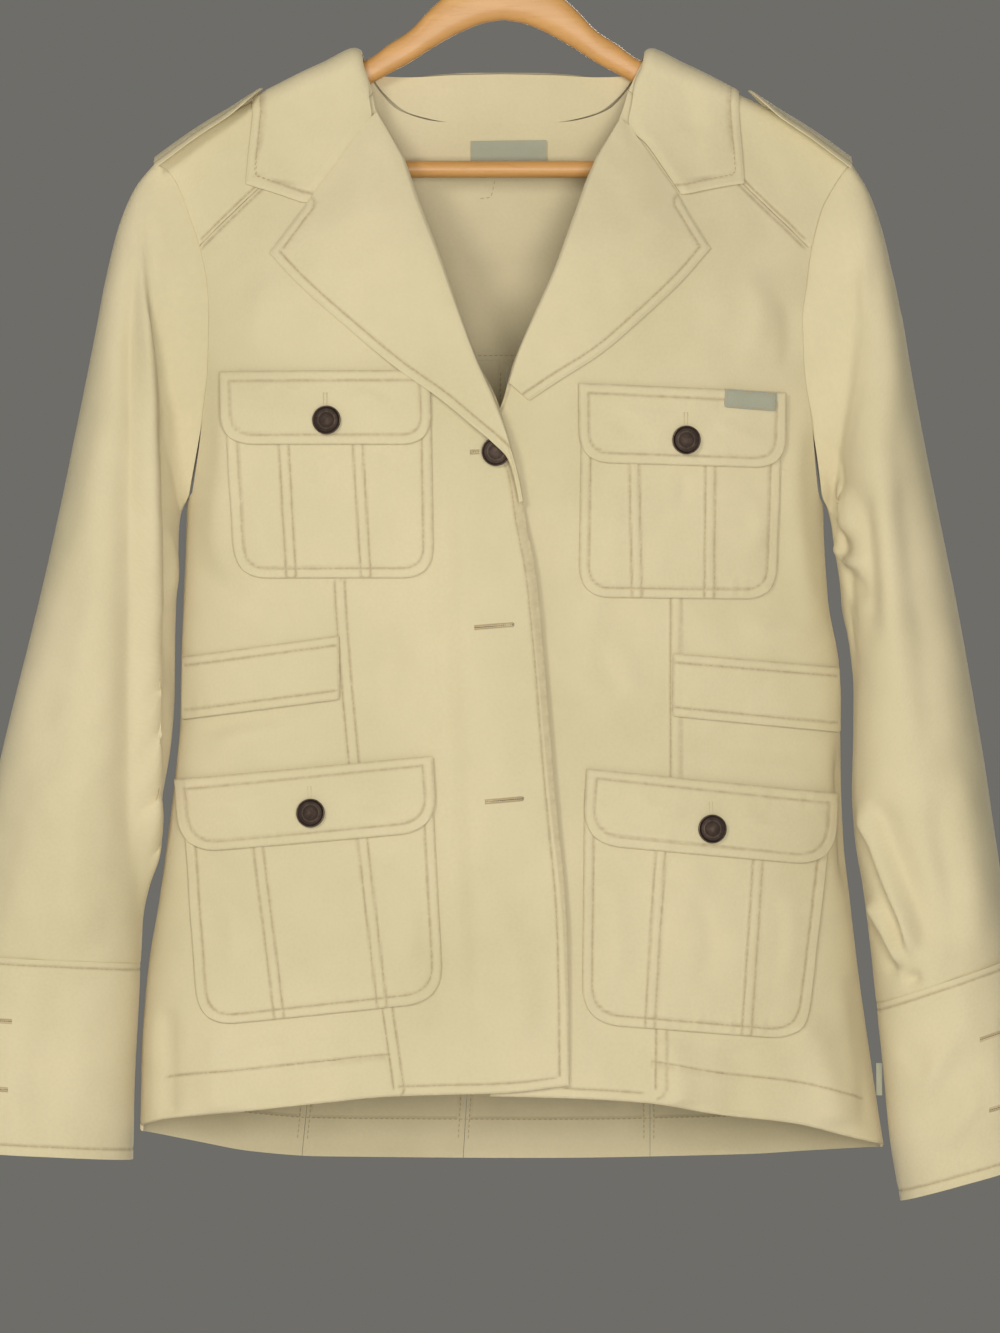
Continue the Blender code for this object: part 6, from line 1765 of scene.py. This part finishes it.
@dataclass
class Collar:
    """The lapels, the collar's leaf and its stand."""

    jacket: Jacket
    inset: float = 5.3
    gorge_end: float = 2.0

    def edge_effects(self, gap: Array, length: Array, phase: float) -> tuple[Array, Array]:
        """Return the relief and the mask of a stitch row at the inset from the free edges.

        Args:
            gap: Distance from the nearest free edge.
            length: Running length along the piece.
            phase: Shifts the pucker.

        Returns:
            The relief and the mask, which paints the stitch line's colour and the shade in its groove.
        """
        away = gap - self.inset
        rise = 0.14 * ripple(length, phase) * bell(away, 5.0) - 0.36 * bell(away, GROOVE_WIDTH)
        return rise, bell(away, ROW_WIDTH)

    def build_lapel(self, side: Side) -> None:
        """Build a lapel: the facing turned out over a soft roll and laid on the chest."""
        table = LAPEL[side]
        at = np.unique(np.concatenate([np.linspace(0, 3, 46), np.linspace(3, table.count() - 1, 80)]))
        roll_x, roll_drop, edge_x, edge_drop, roll_lift, edge_lift = table.bent(at, 3)
        gorge = ease((self.gorge_end - at) / 0.3)[:, None]
        edge_x = edge_x + side.value * gorge * 0.7
        across = 1 - stations(90.0, True, False, 2.2)[::-1][1:]
        shares = np.sort(np.concatenate([[0, 0, 0.006, 0.015, 0.03], across]))
        rise_at = smooth(np.array([0, 0.03, 0.12, 0.3, 0.55, 0.8, 1.0]),
                         np.array([0.3, 0.85, 1.0, 0.9, 0.55, 0.2, 0.0]), shares)
        rise_at[0] = 0.0
        x = roll_x + (edge_x - roll_x) * shares[None]
        drop = roll_drop + (edge_drop - roll_drop) * shares[None]
        level = 2.0 + (edge_lift - 2.0) * shares[None]
        lift = level + (roll_lift - level) * rise_at[None]
        places = as_angles(pairs(x, drop))
        points, normals = FORM.body_frame(places[..., 0], places[..., 1], Face.FRONT)
        layer = Layer(Face.FRONT, FRONT_FOLDS, over=side is Side.LEFT)
        free = np.concatenate([edge_x, edge_drop], axis=1)[at >= self.gorge_end]
        gap = np.abs(beside(free, x.ravel(), drop.ravel())[0]).reshape(x.shape)
        length = running(np.concatenate([edge_x, edge_drop], axis=1))[:, None]
        rise, mask = self.edge_effects(gap, length + 0 * gap, 3.0 * side.value)
        grid = layer.finish(points, normals, pairs(x, drop), lift, gap + 4.0 * gorge)
        grid.thickness = np.maximum(grid.thickness + rise, 0.35)
        grid.seam = mask
        self.jacket.cloth(grid, "lapel_" + side.word, ["front_" + side.word + "_cloth"])
        outer = grid.outer()
        needle = Needle()
        rows = at > self.gorge_end - 0.12
        needle.sew(*crossing(gap[rows, 2:], self.inset, outer[rows, 2:], grid.normals[rows, 2:]))
        self.jacket.stitches(needle, "stitches_lapel_" + side.word)

    def build_leaf(self) -> None:
        """Build the leaf: it rolls over at the neck and lies on the shoulders and the yokes."""
        shares = np.concatenate([[0.0, 0.008, 0.016, 0.03, 0.05], np.linspace(0.08, 0.86, 24),
                                 1 - np.array(FINE_STEPS[:9][::-1]) / 75.0])
        halves = []
        for side in Side:
            table = COLLAR[side]
            at = np.concatenate([np.array(FINE_STEPS[:10]) / 34.0, np.linspace(0.23, table.count() - 1, 88)])
            roll_out, roll_arc, edge_out, edge_arc, roll_lift, edge_lift = table.columns(at)
            out = roll_out + (edge_out - roll_out) * shares[None]
            arc = roll_arc + (edge_arc - roll_arc) * shares[None]
            level = roll_lift + (edge_lift - roll_lift) * shares[None]
            folded = ease((at[:, None] - 2) / 1.5)
            drop_back = smooth(np.array([0, 0.03, 0.08, 1]), np.array([0.45, 0.16, 0, 0]), shares)[None]
            gorge = ease((2.6 - at[:, None]) / 0.6) * ease((0.09 - shares[None]) / 0.09)
            out = out - gorge * 1.6
            x = side.value * out
            wave = 0.6 + np.sin(x / 9.0 + 0.5) + 0.7 * np.sin(x / 5.3 + 2.0)
            level = level + wave * folded * np.exp(-shares[None] / 0.1)
            halves.append((x, arc, level - drop_back * folded * roll_lift - 1.3 * gorge))
        x, arc, lift = (np.concatenate([first, second[::-1][1:]]) for first, second in zip(*halves))
        points, normals = FORM.shoulder_frame(x, arc)
        layer = Layer(Face.FRONT, COLLAR_FOLDS)
        flat = pairs(x, arc)
        outline = np.concatenate([flat[0], flat[1:-1, -1], flat[-1, ::-1]])
        gap = np.abs(beside(outline, x.ravel(), arc.ravel())[0]).reshape(x.shape)
        rise, mask = self.edge_effects(gap, running(points[:, -1])[:, None] + 0 * gap, 2.0)
        grid = layer.finish(points, normals, flat, lift, gap)
        grid.thickness = np.maximum(grid.thickness + rise, 0.35)
        grid.seam = mask
        self.jacket.cloth(grid, "collar", ["yoke_back_cloth"])
        outer = grid.outer()
        needle = Needle()
        inside = np.minimum(np.arange(len(outer)), np.arange(len(outer))[::-1]) > 8
        needle.sew(*crossing(gap[inside, 4:], self.inset, outer[inside, 4:], grid.normals[inside, 4:]))
        for order in (slice(24, None, -1), slice(-25, None)):
            grids = [part[order].swapaxes(0, 1)[2:] for part in (gap, outer, grid.normals)]
            needle.sew(*crossing(grids[0], self.inset, *grids[1:]))
        self.jacket.stitches(needle, "stitches_collar")

    def build_stand(self) -> None:
        """Build the stand, from the back neck seam up to the roll."""
        out = np.linspace(-82.6, 82.6, 64)
        seam_arc, roll_arc, roll_lift = (STAND.read(name, np.abs(out))[:, None]
                                         for name in ("seam_arc", "roll_arc", "roll_lift"))
        share = np.linspace(0, 1, 12)[None]
        arc = seam_arc + (roll_arc - seam_arc) * share
        lift = (roll_lift - CLOTH) * share ** 1.5
        x = out[:, None] + 0 * share
        points, normals = FORM.shoulder_frame(x, arc)
        grid = Layer(Face.BACK, ()).finish(points, normals, pairs(x, arc), lift)
        self.jacket.cloth(grid, "collar_stand", ["yoke_back_cloth"])

    def build(self) -> None:
        """Build the lapels, the leaf and the stand."""
        for side in Side:
            self.build_lapel(side)
        self.build_leaf()
        self.build_stand()


@dataclass
class Pockets:
    """Patch pockets with stitched strips, their flaps, the waist bands and the bare labels."""

    jacket: Jacket
    chest_flaps: dict[Side, Outline] = field(default_factory=lambda: {
        Side.LEFT: Outline((-173.6, 323.6), (-45.3, 323.6), (-43.8, 369.2), (-171.5, 368.8), 19),
        Side.RIGHT: Outline((46.5, 331.5), (174.0, 336.6), (172.8, 383.4), (47.0, 380.2), 19)})
    chest_pockets: dict[Side, Outline] = field(default_factory=lambda: {
        Side.LEFT: Outline((-170.5, 334.0), (-44.6, 334.0), (-42.6, 451.2), (-165.0, 451.4), 20),
        Side.RIGHT: Outline((48.4, 342.5), (171.6, 347.0), (168.4, 464.6), (46.6, 463.2), 20)})
    low_flaps: dict[Side, Outline] = field(default_factory=lambda: {
        Side.LEFT: Outline((-200.8, 576.6), (-43.4, 561.8), (-40.4, 608.2), (-197.8, 622.4), 24),
        Side.RIGHT: Outline((51.5, 569.6), (205.6, 585.0), (202.8, 630.4), (48.8, 616.0), 24)})
    low_pockets: dict[Side, Outline] = field(default_factory=lambda: {
        Side.LEFT: Outline((-197.5, 588.6), (-44.0, 574.2), (-36.8, 713.2), (-188.2, 729.4), 24),
        Side.RIGHT: Outline((50.2, 582.0), (203.2, 597.2), (187.4, 737.6), (48.6, 726.4), 24)})
    bands: dict[Side, Outline] = field(default_factory=lambda: {
        Side.LEFT: Outline((-197.0, 500.2), (-101.0, 487.0), (-100.6, 526.6), (-197.2, 539.2), 2),
        Side.RIGHT: Outline((104.8, 497.9), (206.6, 506.6), (207.4, 547.2), (104.4, 537.0), 2)})
    chest_strips: dict[Side, tuple] = field(default_factory=lambda: {
        Side.LEFT: (((-135.0, 367.0), (-130.5, 449.0)), ((-89.5, 367.0), (-84.5, 449.0))),
        Side.RIGHT: (((80.5, 380.0), (82.5, 462.0)), ((127.5, 381.0), (127.0, 463.0)))})
    low_strips: dict[Side, tuple] = field(default_factory=lambda: {
        Side.LEFT: (((-151.0, 617.0), (-138.0, 722.0)), ((-87.0, 611.0), (-74.5, 715.0))),
        Side.RIGHT: (((97.0, 620.0), (90.5, 728.0)), ((157.0, 627.0), (150.0, 733.0)))})
    pocket_lift: float = 2.0
    flap_lift: float = 3.6
    band_lift: float = 2.1
    inset: float = 6.0
    band_inset: float = 5.7
    row_gap: float = 6.0

    def patch(self, name: str, beneath: str, outline: Outline, layer: Layer, step: float, needle: Needle,
              material: bpy.types.Material | None = None, slot: str = "khaki_twill",
              sag: float = 0.0) -> None:
        """Build a patch on the form.

        Args:
            name: Its node's name.
            beneath: The node whose cloth it is sewn to.
            outline: Its outline.
            layer: Its lift, thickness and sewing.
            step: The grid's step.
            needle: Collects its stitches.
            material: Its finish, if not the twill.
            slot: Not used.
            sag: How far its middle stands out.
        """
        width = abs(outline.top_right[0] - outline.top_left[0])
        depth = abs(outline.low_left[1] - outline.top_left[1])
        fine = width > 60
        across, down = stations(width, fine, fine, step), stations(depth, fine, fine, max(step, 2.2))
        grid = coons(*outline.edges(across, down))
        points, normals = FORM.body_frame(grid[..., 0], grid[..., 1], layer.face)
        u, v = across[None], down[:, None]
        rim = np.minimum(np.minimum(u, 1 - u) * width, np.minimum(v, 1 - v) * depth)
        bulge = sag * np.sin(math.pi * u) ** 0.8 * np.sin(math.pi * np.clip(v, 0, 1)) ** 0.8
        cloth = layer.finish(points, normals, grid * [MEAN_GIRTH, 1], bulge, rim)
        self.jacket.cloth(cloth, name, [beneath + "_cloth"], (), material, slot)
        layer.sew(needle)

    def build_side(self, side: Side) -> None:
        """Build one side's pockets, flaps and band."""
        word = side.word
        front = "front_" + word
        needle = Needle()
        for key, pocket, flap, strips, sag in (
                ("chest", self.chest_pockets, self.chest_flaps, self.chest_strips, 0.5),
                ("low", self.low_pockets, self.low_flaps, self.low_strips, 0.7)):
            rows = (-self.row_gap / 2, self.row_gap / 2)
            seams = [Seam(pocket[side].inset(self.inset, False), phase=1.0)]
            seams += [Seam(along(np.array(strip), 12), rows, 0.4, phase=2.0 + place)
                      for place, strip in enumerate(strips[side])]
            layer = Layer(Face.FRONT, POCKET_FOLDS, self.pocket_lift, PATCH_CLOTH, seams)
            self.patch("pocket_" + key + "_" + word, front, pocket[side], layer, 1.1, needle)
            seams = [Seam(flap[side].inset(self.inset, True), phase=4.0)]
            layer = Layer(Face.FRONT, FLAP_FOLDS, self.flap_lift, CLOTH, seams)
            self.patch("flap_" + key + "_" + word, front, flap[side], layer, 2.4, needle, sag=sag)
        band = self.bands[side]
        x_first, x_last = sorted((band.top_left[0], band.top_right[0]))
        x = np.linspace(x_first + 2, x_last - 2, 20)
        share = (x - band.top_left[0]) / (band.top_right[0] - band.top_left[0])
        top = band.top_left[1] + (band.top_right[1] - band.top_left[1]) * share
        low = band.low_left[1] + (band.low_right[1] - band.low_left[1]) * share
        seams = [Seam(pairs(x, top + self.band_inset), phase=5.0),
                 Seam(pairs(x, low - self.band_inset), phase=6.0)]
        layer = Layer(Face.FRONT, FRONT_FOLDS, self.band_lift, CLOTH, seams)
        self.patch("waist_band_" + word, front, band, layer, 2.4, needle)
        self.jacket.stitches(needle, "stitches_pockets_" + word)

    def build_labels(self) -> None:
        """Build the bare labels: on the right chest flap, inside the neck and in the side seam."""
        tape = self.jacket.tape
        needle = Needle()
        label = Outline((136.2, 334.8), (167.6, 337.0), (166.9, 348.2), (135.5, 346.0), 1.5)
        seams = [Seam(label.inset(1.0, True), groove=0.12, pucker=0.05)]
        layer = Layer(Face.FRONT, FLAP_FOLDS, self.flap_lift + CLOTH + SEAM_GAP + 0.3, PATCH_CLOTH, seams)
        self.patch("label_chest", "flap_chest_right", label, layer, 1.2, needle, tape, "label_weave")
        inside = Outline((-20.0, 178.6), (27.0, 178.0), (27.0, 200.4), (-20.0, 201.0), 1.5)
        layer = Layer(Face.BACK, (), -0.8 - PATCH_CLOTH, PATCH_CLOTH)
        self.patch("label_neck", "yoke_back", inside, layer, 1.6, needle, tape, "label_weave")
        near = float(BODY.read("right", 773.0)) + CLOTH + SEAM_GAP
        x, drop = np.meshgrid(np.linspace(near, near + 3.6, 5), np.linspace(753.0, 773.0, 12))
        points = np.stack([x, 0 * x - PATCH_CLOTH / 2, -drop], axis=-1)
        normals = np.zeros(points.shape)
        normals[..., 1] = 1.0
        grid = ClothGrid(points, normals, PATCH_CLOTH + 0 * x, pairs(x, drop), 0 * x, 0 * x)
        self.jacket.cloth(grid, "label_side", ["front_right_cloth"], (), tape, "label_weave", 2.9)
        self.jacket.stitches(needle, "stitches_label")

    def build(self) -> None:
        """Build both sides and the labels."""
        for side in Side:
            self.build_side(side)
        self.build_labels()


@dataclass
class Epaulettes:
    """The shoulder straps, stiff and slightly arched over the shoulder line, pointed at the neck."""

    jacket: Jacket
    table: Table = Table("out half_width lift droop", (
        (216.0, 20.0, 2.2, 7.0), (207.0, 20.5, 2.2, 7.0), (196.0, 20.5, 2.3, 6.5), (184.0, 20.0, 2.6, 6.0),
        (172.0, 19.0, 3.2, 5.0), (162.0, 17.5, 4.8, 3.0), (155.5, 10.0, 5.8, 1.2), (151.5, 2.0, 6.2, 0.1)))
    inset: float = 5.0

    def build(self) -> None:
        """Build both straps: rows across an arch z = lift - droop a^2, with a stitch row inside the edge."""
        for side in Side:
            at = np.linspace(0, self.table.count() - 1, 60)
            base, half, lift, droop = self.table.columns(at)
            shift = -2.0 if side is Side.LEFT else 1.0
            out = base + shift * ease((190.0 - base) / 30.0)
            edge = np.array((0.0, 0.02, 0.05, 0.1, 0.15, 0.2, 0.25, 0.3, 0.36))
            across = np.concatenate([-1 + edge, np.linspace(-0.5, 0.5, 7), 1 - edge[::-1]])[None]
            drop = FORM.ridge(out) - lift + droop * across ** 2
            x = side.value * out + 0 * across
            points = np.stack([x, half * across, -drop], axis=-1)
            normals = grid_normals(points, -side.value)
            gap = np.minimum((1 - np.abs(across)) * half, (base - 151.5) * 1.2)
            # The mask paints the stitch row: the thread line's colour and painted shade in its groove.
            mask = bell(gap - self.inset, WIDE_ROW)
            rise = 0.12 * ripple(base + 0 * across, 3.0) * bell(gap - self.inset, 5.0) - 0.34 * mask
            thickness = np.maximum((CLOTH + rise) * (0.5 + 0.5 * ease(gap / 1.6)), 0.4)
            uv = pairs(base + 0 * across, half * across)
            grid = ClothGrid(points, normals, thickness, uv, mask, 0 * rise)
            self.jacket.cloth(grid, "epaulette_" + side.word, ["yoke_back_cloth"])
            outer = points + normals * thickness[..., None]
            needle = Needle()
            for sign in (-1, 1):
                near = (gap - self.inset) ** 2 + 1e6 * (np.sign(across) != sign)
                column = near.argmin(axis=1)
                rows = np.arange(len(at))
                keep = half[:, 0] > 6.5
                needle.sew(outer[rows, column][keep], normals[rows, column][keep])
            self.jacket.stitches(needle, "stitches_epaulette_" + side.word)


@dataclass(frozen=True)
class ButtonPlace:
    """Where a button sits on a front, and how high its back is over the form."""

    name: str
    x: float
    drop: float
    lift: float


@dataclass
class Buttons:
    """Dished metal shank buttons with a plain raised ring, and the worked buttonholes."""

    jacket: Jacket
    radius: float = 8.9
    height: float = 3.6
    sides: int = 56
    eyelet_from: float = 20.0
    cuff_gap: float = 0.9
    places: tuple[ButtonPlace, ...] = (
        ButtonPlace("button_chest_left", -107.9, 353.9, 4.8),
        ButtonPlace("button_chest_right", 112.2, 366.2, 4.8),
        ButtonPlace("button_pocket_left", -117.8, 597.2, 4.8),
        ButtonPlace("button_pocket_right", 128.3, 606.9, 4.8),
        ButtonPlace("button_front_top", -4.3, 373.6, 3.8),
        ButtonPlace("button_front_middle", -5.0, 480.5, CLOTH),
        ButtonPlace("button_front_low", 1.2, 589.0, CLOTH))
    profile: tuple[tuple[float, float, float], ...] = (
        (0.02, 0.06, 0.0), (0.40, 0.06, 0.0), (0.62, 0.10, 0.0), (0.90, 0.30, 0.1), (0.975, 0.48, 0.2),
        (1.0, 0.62, 0.3), (0.995, 0.76, 0.5), (0.97, 0.87, 0.6), (0.935, 0.90, 0.5), (0.905, 0.87, 0.2),
        (0.875, 0.82, 0.0), (0.82, 0.815, 0.0), (0.76, 0.82, 0.1), (0.70, 0.825, 0.1), (0.66, 0.83, 0.1),
        (0.63, 0.835, 0.15), (0.60, 0.845, 0.25), (0.57, 0.845, 0.2), (0.54, 0.84, 0.1), (0.50, 0.84, 0.05),
        (0.36, 0.85, 0.1), (0.20, 0.86, 0.15), (0.02, 0.865, 0.2))

    def turned(self, name: str, place: Array, axis: Array) -> None:
        """Build a button: its profile turned about its axis, with a beaded band between the rings."""
        axis = unit(axis)
        first = unit(np.cross(axis, [0.3, 0.1, 1.0]))
        second = np.cross(axis, first)
        turn = np.linspace(0, 2 * math.pi, self.sides, endpoint=False)
        reach, rise, worn = (np.array(part)[:, None] for part in zip(*self.profile))
        band = bell(reach - 0.74, 0.06) * (rise > 0.7)
        rise = rise + 0.035 * band * np.cos(28 * turn)[None]
        ring = np.cos(turn)[:, None] * first + np.sin(turn)[:, None] * second
        points = place + ring[None] * (reach * self.radius)[..., None]
        points = points + axis * (rise * self.height)[..., None]
        rows = len(reach)
        faces = grid_faces(rows, self.sides, True)
        points = np.concatenate([points.reshape(-1, 3), [place + axis * 0.06 * self.height],
                                 [place + axis * 0.866 * self.height]])
        fans = end_fans(rows, self.sides)
        masks = {"seam": np.concatenate([(worn + 0 * turn[None]).ravel(), [0.0, 0.1]])}
        piece = new_mesh(name + "_metal", points, np.concatenate([faces] + fans), None, masks, 40.0)
        self.jacket.register(piece, self.jacket.bronze, "button_bronze", (name,))

    def build(self) -> None:
        """Build every button."""
        for button in self.places:
            turned = as_angles(np.array([[button.x, button.drop]]))
            points, normals = FORM.body_frame(turned[:, 0], turned[:, 1], Face.FRONT)
            on_flap = button.lift > 4
            fold = fold_height(FLAP_FOLDS if on_flap else FRONT_FOLDS, points[:, 0], -points[:, 2])[:, None]
            self.turned(button.name, (points + normals * (button.lift + SEAM_GAP + fold))[0], normals[0])
        sleeves = Sleeves(self.jacket)
        for side in Side:
            angles = np.radians(sleeves.button_angle + np.array([1.0, 0.0, -1.0]))
            for word, share in zip(("upper", "lower"), sleeves.hole_shares):
                points, normals = sleeves.cuff_surface(side, angles, share + np.array([-0.01, 0, 0.01]))
                axis = normals[1, 1]
                place = points[1, 1] + axis * (sleeves.lap_lift + CLOTH + self.cuff_gap)
                self.turned("button_cuff_" + side.word + "_" + word, place, axis)
        self.build_holes()

    def build_holes(self) -> None:
        """Build the worked buttonholes: close stitches round a slit, with dark beads that paint the shade in
        the slit and, on long holes, in an eyelet at one end.
        """
        needle, slit_shades = Needle.worked()
        left = Fronts(self.jacket).front_layer(Side.LEFT)
        flap = Layer(Face.FRONT, FLAP_FOLDS, 3.9, CLOTH)
        holes = (
            (left, (-17.6, 481.6), (6.4, 479.6)), (left, (-11.2, 590.2), (12.2, 588.2)),
            (left, (-20.5, 373.9), (-14.5, 373.6)),
            (flap, (-109.0, 337.0), (-109.0, 344.5)), (flap, (112.2, 349.0), (112.2, 356.8)),
            (flap, (-119.0, 580.5), (-118.6, 588.0)), (flap, (127.6, 590.0), (127.9, 597.6)))
        for layer, start, end in holes:
            start, end = np.array(start), np.array(end)
            way = (end - start) / np.linalg.norm(end - start)
            aside = np.array([-way[1], way[0]])
            for sign in (-1, 1):
                needle.sew(*layer.on_top(along(np.array([start, end]) + aside * sign * needle.spread, 24)))
            # Dark beads along each slit, and in an eyelet at the end of long holes, paint their shade.
            slit_shades.sew(*layer.on_top(along(np.array([start, end]), 24)))
            if np.linalg.norm(end - start) > self.eyelet_from:
                for drop in (0.0, 0.7, -0.7):
                    slit_shades.sew(*layer.on_top(end + np.array([[x, drop] for x in (-0.8, -0.4, 0.4, 0.8)])))
        self.jacket.stitches(needle, "buttonholes")
        self.jacket.stitches(slit_shades, "painted_slit_shades", self.jacket.shade)


@dataclass
class Hanger:
    """Bowed wooden arms with lobed ends, a trouser bar between them and a wire hook."""

    jacket: Jacket
    wood: Table = Table("out top bottom thickness", (
        (0, 76.0, 104.0, 13.0), (12, 77.5, 106.0, 13.0), (26, 82.0, 111.5, 13.0), (44, 96.0, 121.5, 12.8),
        (58, 110.5, 130.5, 12.6), (72, 119.8, 138.0, 12.4), (84, 128.4, 144.5, 12.4),
        (110, 137.4, 156.0, 12.2), (150, 154.8, 177.0, 11.8), (170, 164.4, 187.2, 11.4),
        (174, 166.6, 189.6, 11.4),
        (175, 167.2, 204.0, 11.4), (185, 172.8, 205.4, 11.0), (196, 180.6, 203.4, 10.0),
        (200, 186.4, 198.4, 8.0)))
    bar_half: float = 173.6
    bar_radius: float = 5.25
    bar_drop: float = 196.8
    hook_radius: float = 22.0
    hook_centre: float = 20.0
    wire_radius: float = 2.0

    def loft(self, name: str, rings: Array, material: bpy.types.Material, slot: str,
             sharp: float = 40.0) -> None:
        """Build a closed body through rings with an even number of sides, closed by fans."""
        count, sides = rings.shape[:2]
        faces = grid_faces(count, sides, True)
        centres = np.stack([rings[0].mean(axis=0), rings[-1].mean(axis=0)])
        points = np.concatenate([rings.reshape(-1, 3), centres])
        piece = new_mesh(name + "_fine", points, np.concatenate([faces] + end_fans(count, sides)), None,
                         {"seam": np.full(len(points), 0.5)}, sharp)
        self.jacket.register(piece, material, slot, (name,))

    def build(self) -> None:
        """Build the wood as rounded sections, the bar as a turned rod and the hook as a bent wire."""
        parts = (np.linspace(0, 172, 60), np.linspace(172, 178, 8), np.linspace(178, 200, 14))
        half = np.unique(np.concatenate(parts))
        out = np.concatenate([-half[::-1], half[1:]])
        top, low, thick = (self.wood.read(name, np.abs(out))[:, None]
                           for name in ("top", "bottom", "thickness"))
        turn = np.linspace(0, 2 * math.pi, 36, endpoint=False)[None]
        bow = np.abs(np.cos(turn)) ** 0.75 * np.sign(np.cos(turn))
        rise = np.abs(np.sin(turn)) ** 0.75 * np.sign(np.sin(turn))
        end = np.sqrt(np.clip((200.6 - np.abs(out)) / 5.0, 0.02, 1))[:, None]
        rings = np.stack([out[:, None] + 0 * turn, thick / 2 * bow * end,
                          -(top + low) / 2 + (low - top) / 2 * rise * (0.4 + 0.6 * end)], axis=-1)
        self.loft("hanger_wood", rings, self.jacket.beech, "hanger_beech")
        turn = np.linspace(0, 2 * math.pi, 32, endpoint=False)[None]
        out = np.linspace(-self.bar_half, self.bar_half, 40)[:, None]
        rings = np.stack([out + 0 * turn, self.bar_radius * np.cos(turn) + 0 * out,
                          self.bar_radius * np.sin(turn) - self.bar_drop + 0 * out], axis=-1)
        self.loft("hanger_bar", rings, self.jacket.beech, "hanger_beech")
        lead = np.array([[0, -75.6], [0, -66.0], [0.4, -56.0], [5.5, -47.5], [13.0, -41.0]])
        bend = np.radians(np.linspace(-38, 205, 17))
        circle = self.hook_radius * pairs(np.cos(bend), np.sin(bend)) - [0, self.hook_centre]
        path = along(curve_through(np.vstack([lead, circle]), 6), 110)
        slope = unit(np.gradient(path, axis=0))
        turn = np.linspace(0, 2 * math.pi, 20, endpoint=False)[None]
        number = np.arange(len(path))
        from_end = np.minimum(number, number[::-1])
        size = self.wire_radius * np.sqrt(np.clip(from_end / 3 + 0.15, 0, 1))[:, None]
        x = path[:, :1] + size * np.cos(turn) * slope[:, 1:]
        z = path[:, 1:] - size * np.cos(turn) * slope[:, :1]
        rings = np.stack([x, size * np.sin(turn), z], axis=-1)
        self.loft("hanger_hook", rings, self.jacket.steel, "hook_steel")


@dataclass
class Studio:
    """Plain pale surroundings, soft light and the photograph's camera."""

    centre_x: float = -0.00186
    centre_z: float = -0.5062
    distance: float = 7.0
    cloth_plane: float = -0.025
    view_width: float = 0.620
    floor_height: float = -1.95
    lights: tuple[tuple[str, tuple[float, float, float], float, float], ...] = (
        ("key", (-1.5, -2.9, 0.7), 0.8, 36.0), ("front", (0.35, -3.3, -0.4), 1.4, 67.0),
        ("side", (-2.6, -0.5, 0.3), 1.0, 6.0), ("rear", (0.6, 2.8, 0.3), 2.0, 72.0))

    def build(self) -> None:
        """Build the floor, the world's background colour, the lights and the camera."""
        scene = bpy.context.scene
        camera = bpy.data.objects.new("camera", bpy.data.cameras.new("camera"))
        camera.data.sensor_fit = "HORIZONTAL"
        camera.data.sensor_width = 36.0
        camera.data.lens = 36.0 * self.distance / self.view_width
        camera.data.clip_start = 0.05
        camera.location = (self.centre_x, self.cloth_plane - self.distance, self.centre_z)
        camera.rotation_euler = (math.pi / 2, 0, 0)
        scene.collection.objects.link(camera)
        scene.camera = camera
        pale = bpy.data.materials.new("pale_studio")
        tree = Tree.of(pale)
        tree.set(tree.shader, {"Base Color": (0.62, 0.62, 0.62, 1), "Roughness": 0.9})
        mesh = bpy.data.meshes.new("studio_floor")
        low = self.floor_height
        mesh.from_pydata([(-6, -6, low), (6, -6, low), (6, 6, low), (-6, 6, low)], [], [(0, 1, 2, 3)])
        floor = bpy.data.objects.new("studio_floor", mesh)
        mesh.materials.append(pale)
        scene.collection.objects.link(floor)
        world = bpy.data.worlds.new("studio")
        scene.world = world
        world.use_nodes = True
        back = world.node_tree.nodes["Background"]
        back.inputs["Color"].default_value = (0.156, 0.153, 0.140, 1)
        back.inputs["Strength"].default_value = 1.0
        for name, place, size, power in self.lights:
            lamp = bpy.data.lights.new(name, "AREA")
            lamp.energy, lamp.size = power, size
            light = bpy.data.objects.new(name, lamp)
            way = np.array([0, 0, self.centre_z]) - np.array(place)
            light.location = place
            tilt = math.atan2(way[2], math.hypot(way[0], way[1]))
            heading = math.atan2(way[1], way[0]) - math.pi / 2
            light.rotation_euler = (math.pi / 2 + tilt, 0, heading)
            scene.collection.objects.link(light)
        scene.view_settings.view_transform = "Standard"


def main() -> None:
    """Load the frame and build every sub-assembly in order."""
    logging.basicConfig(level=logging.INFO, format="%(message)s")
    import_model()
    jacket = Jacket()
    Studio().build()
    for part in (Fronts, Back, Sleeves, Collar, Pockets, Epaulettes, Buttons, Hanger):
        part(jacket).build()


if __name__ == "__main__":
    main()
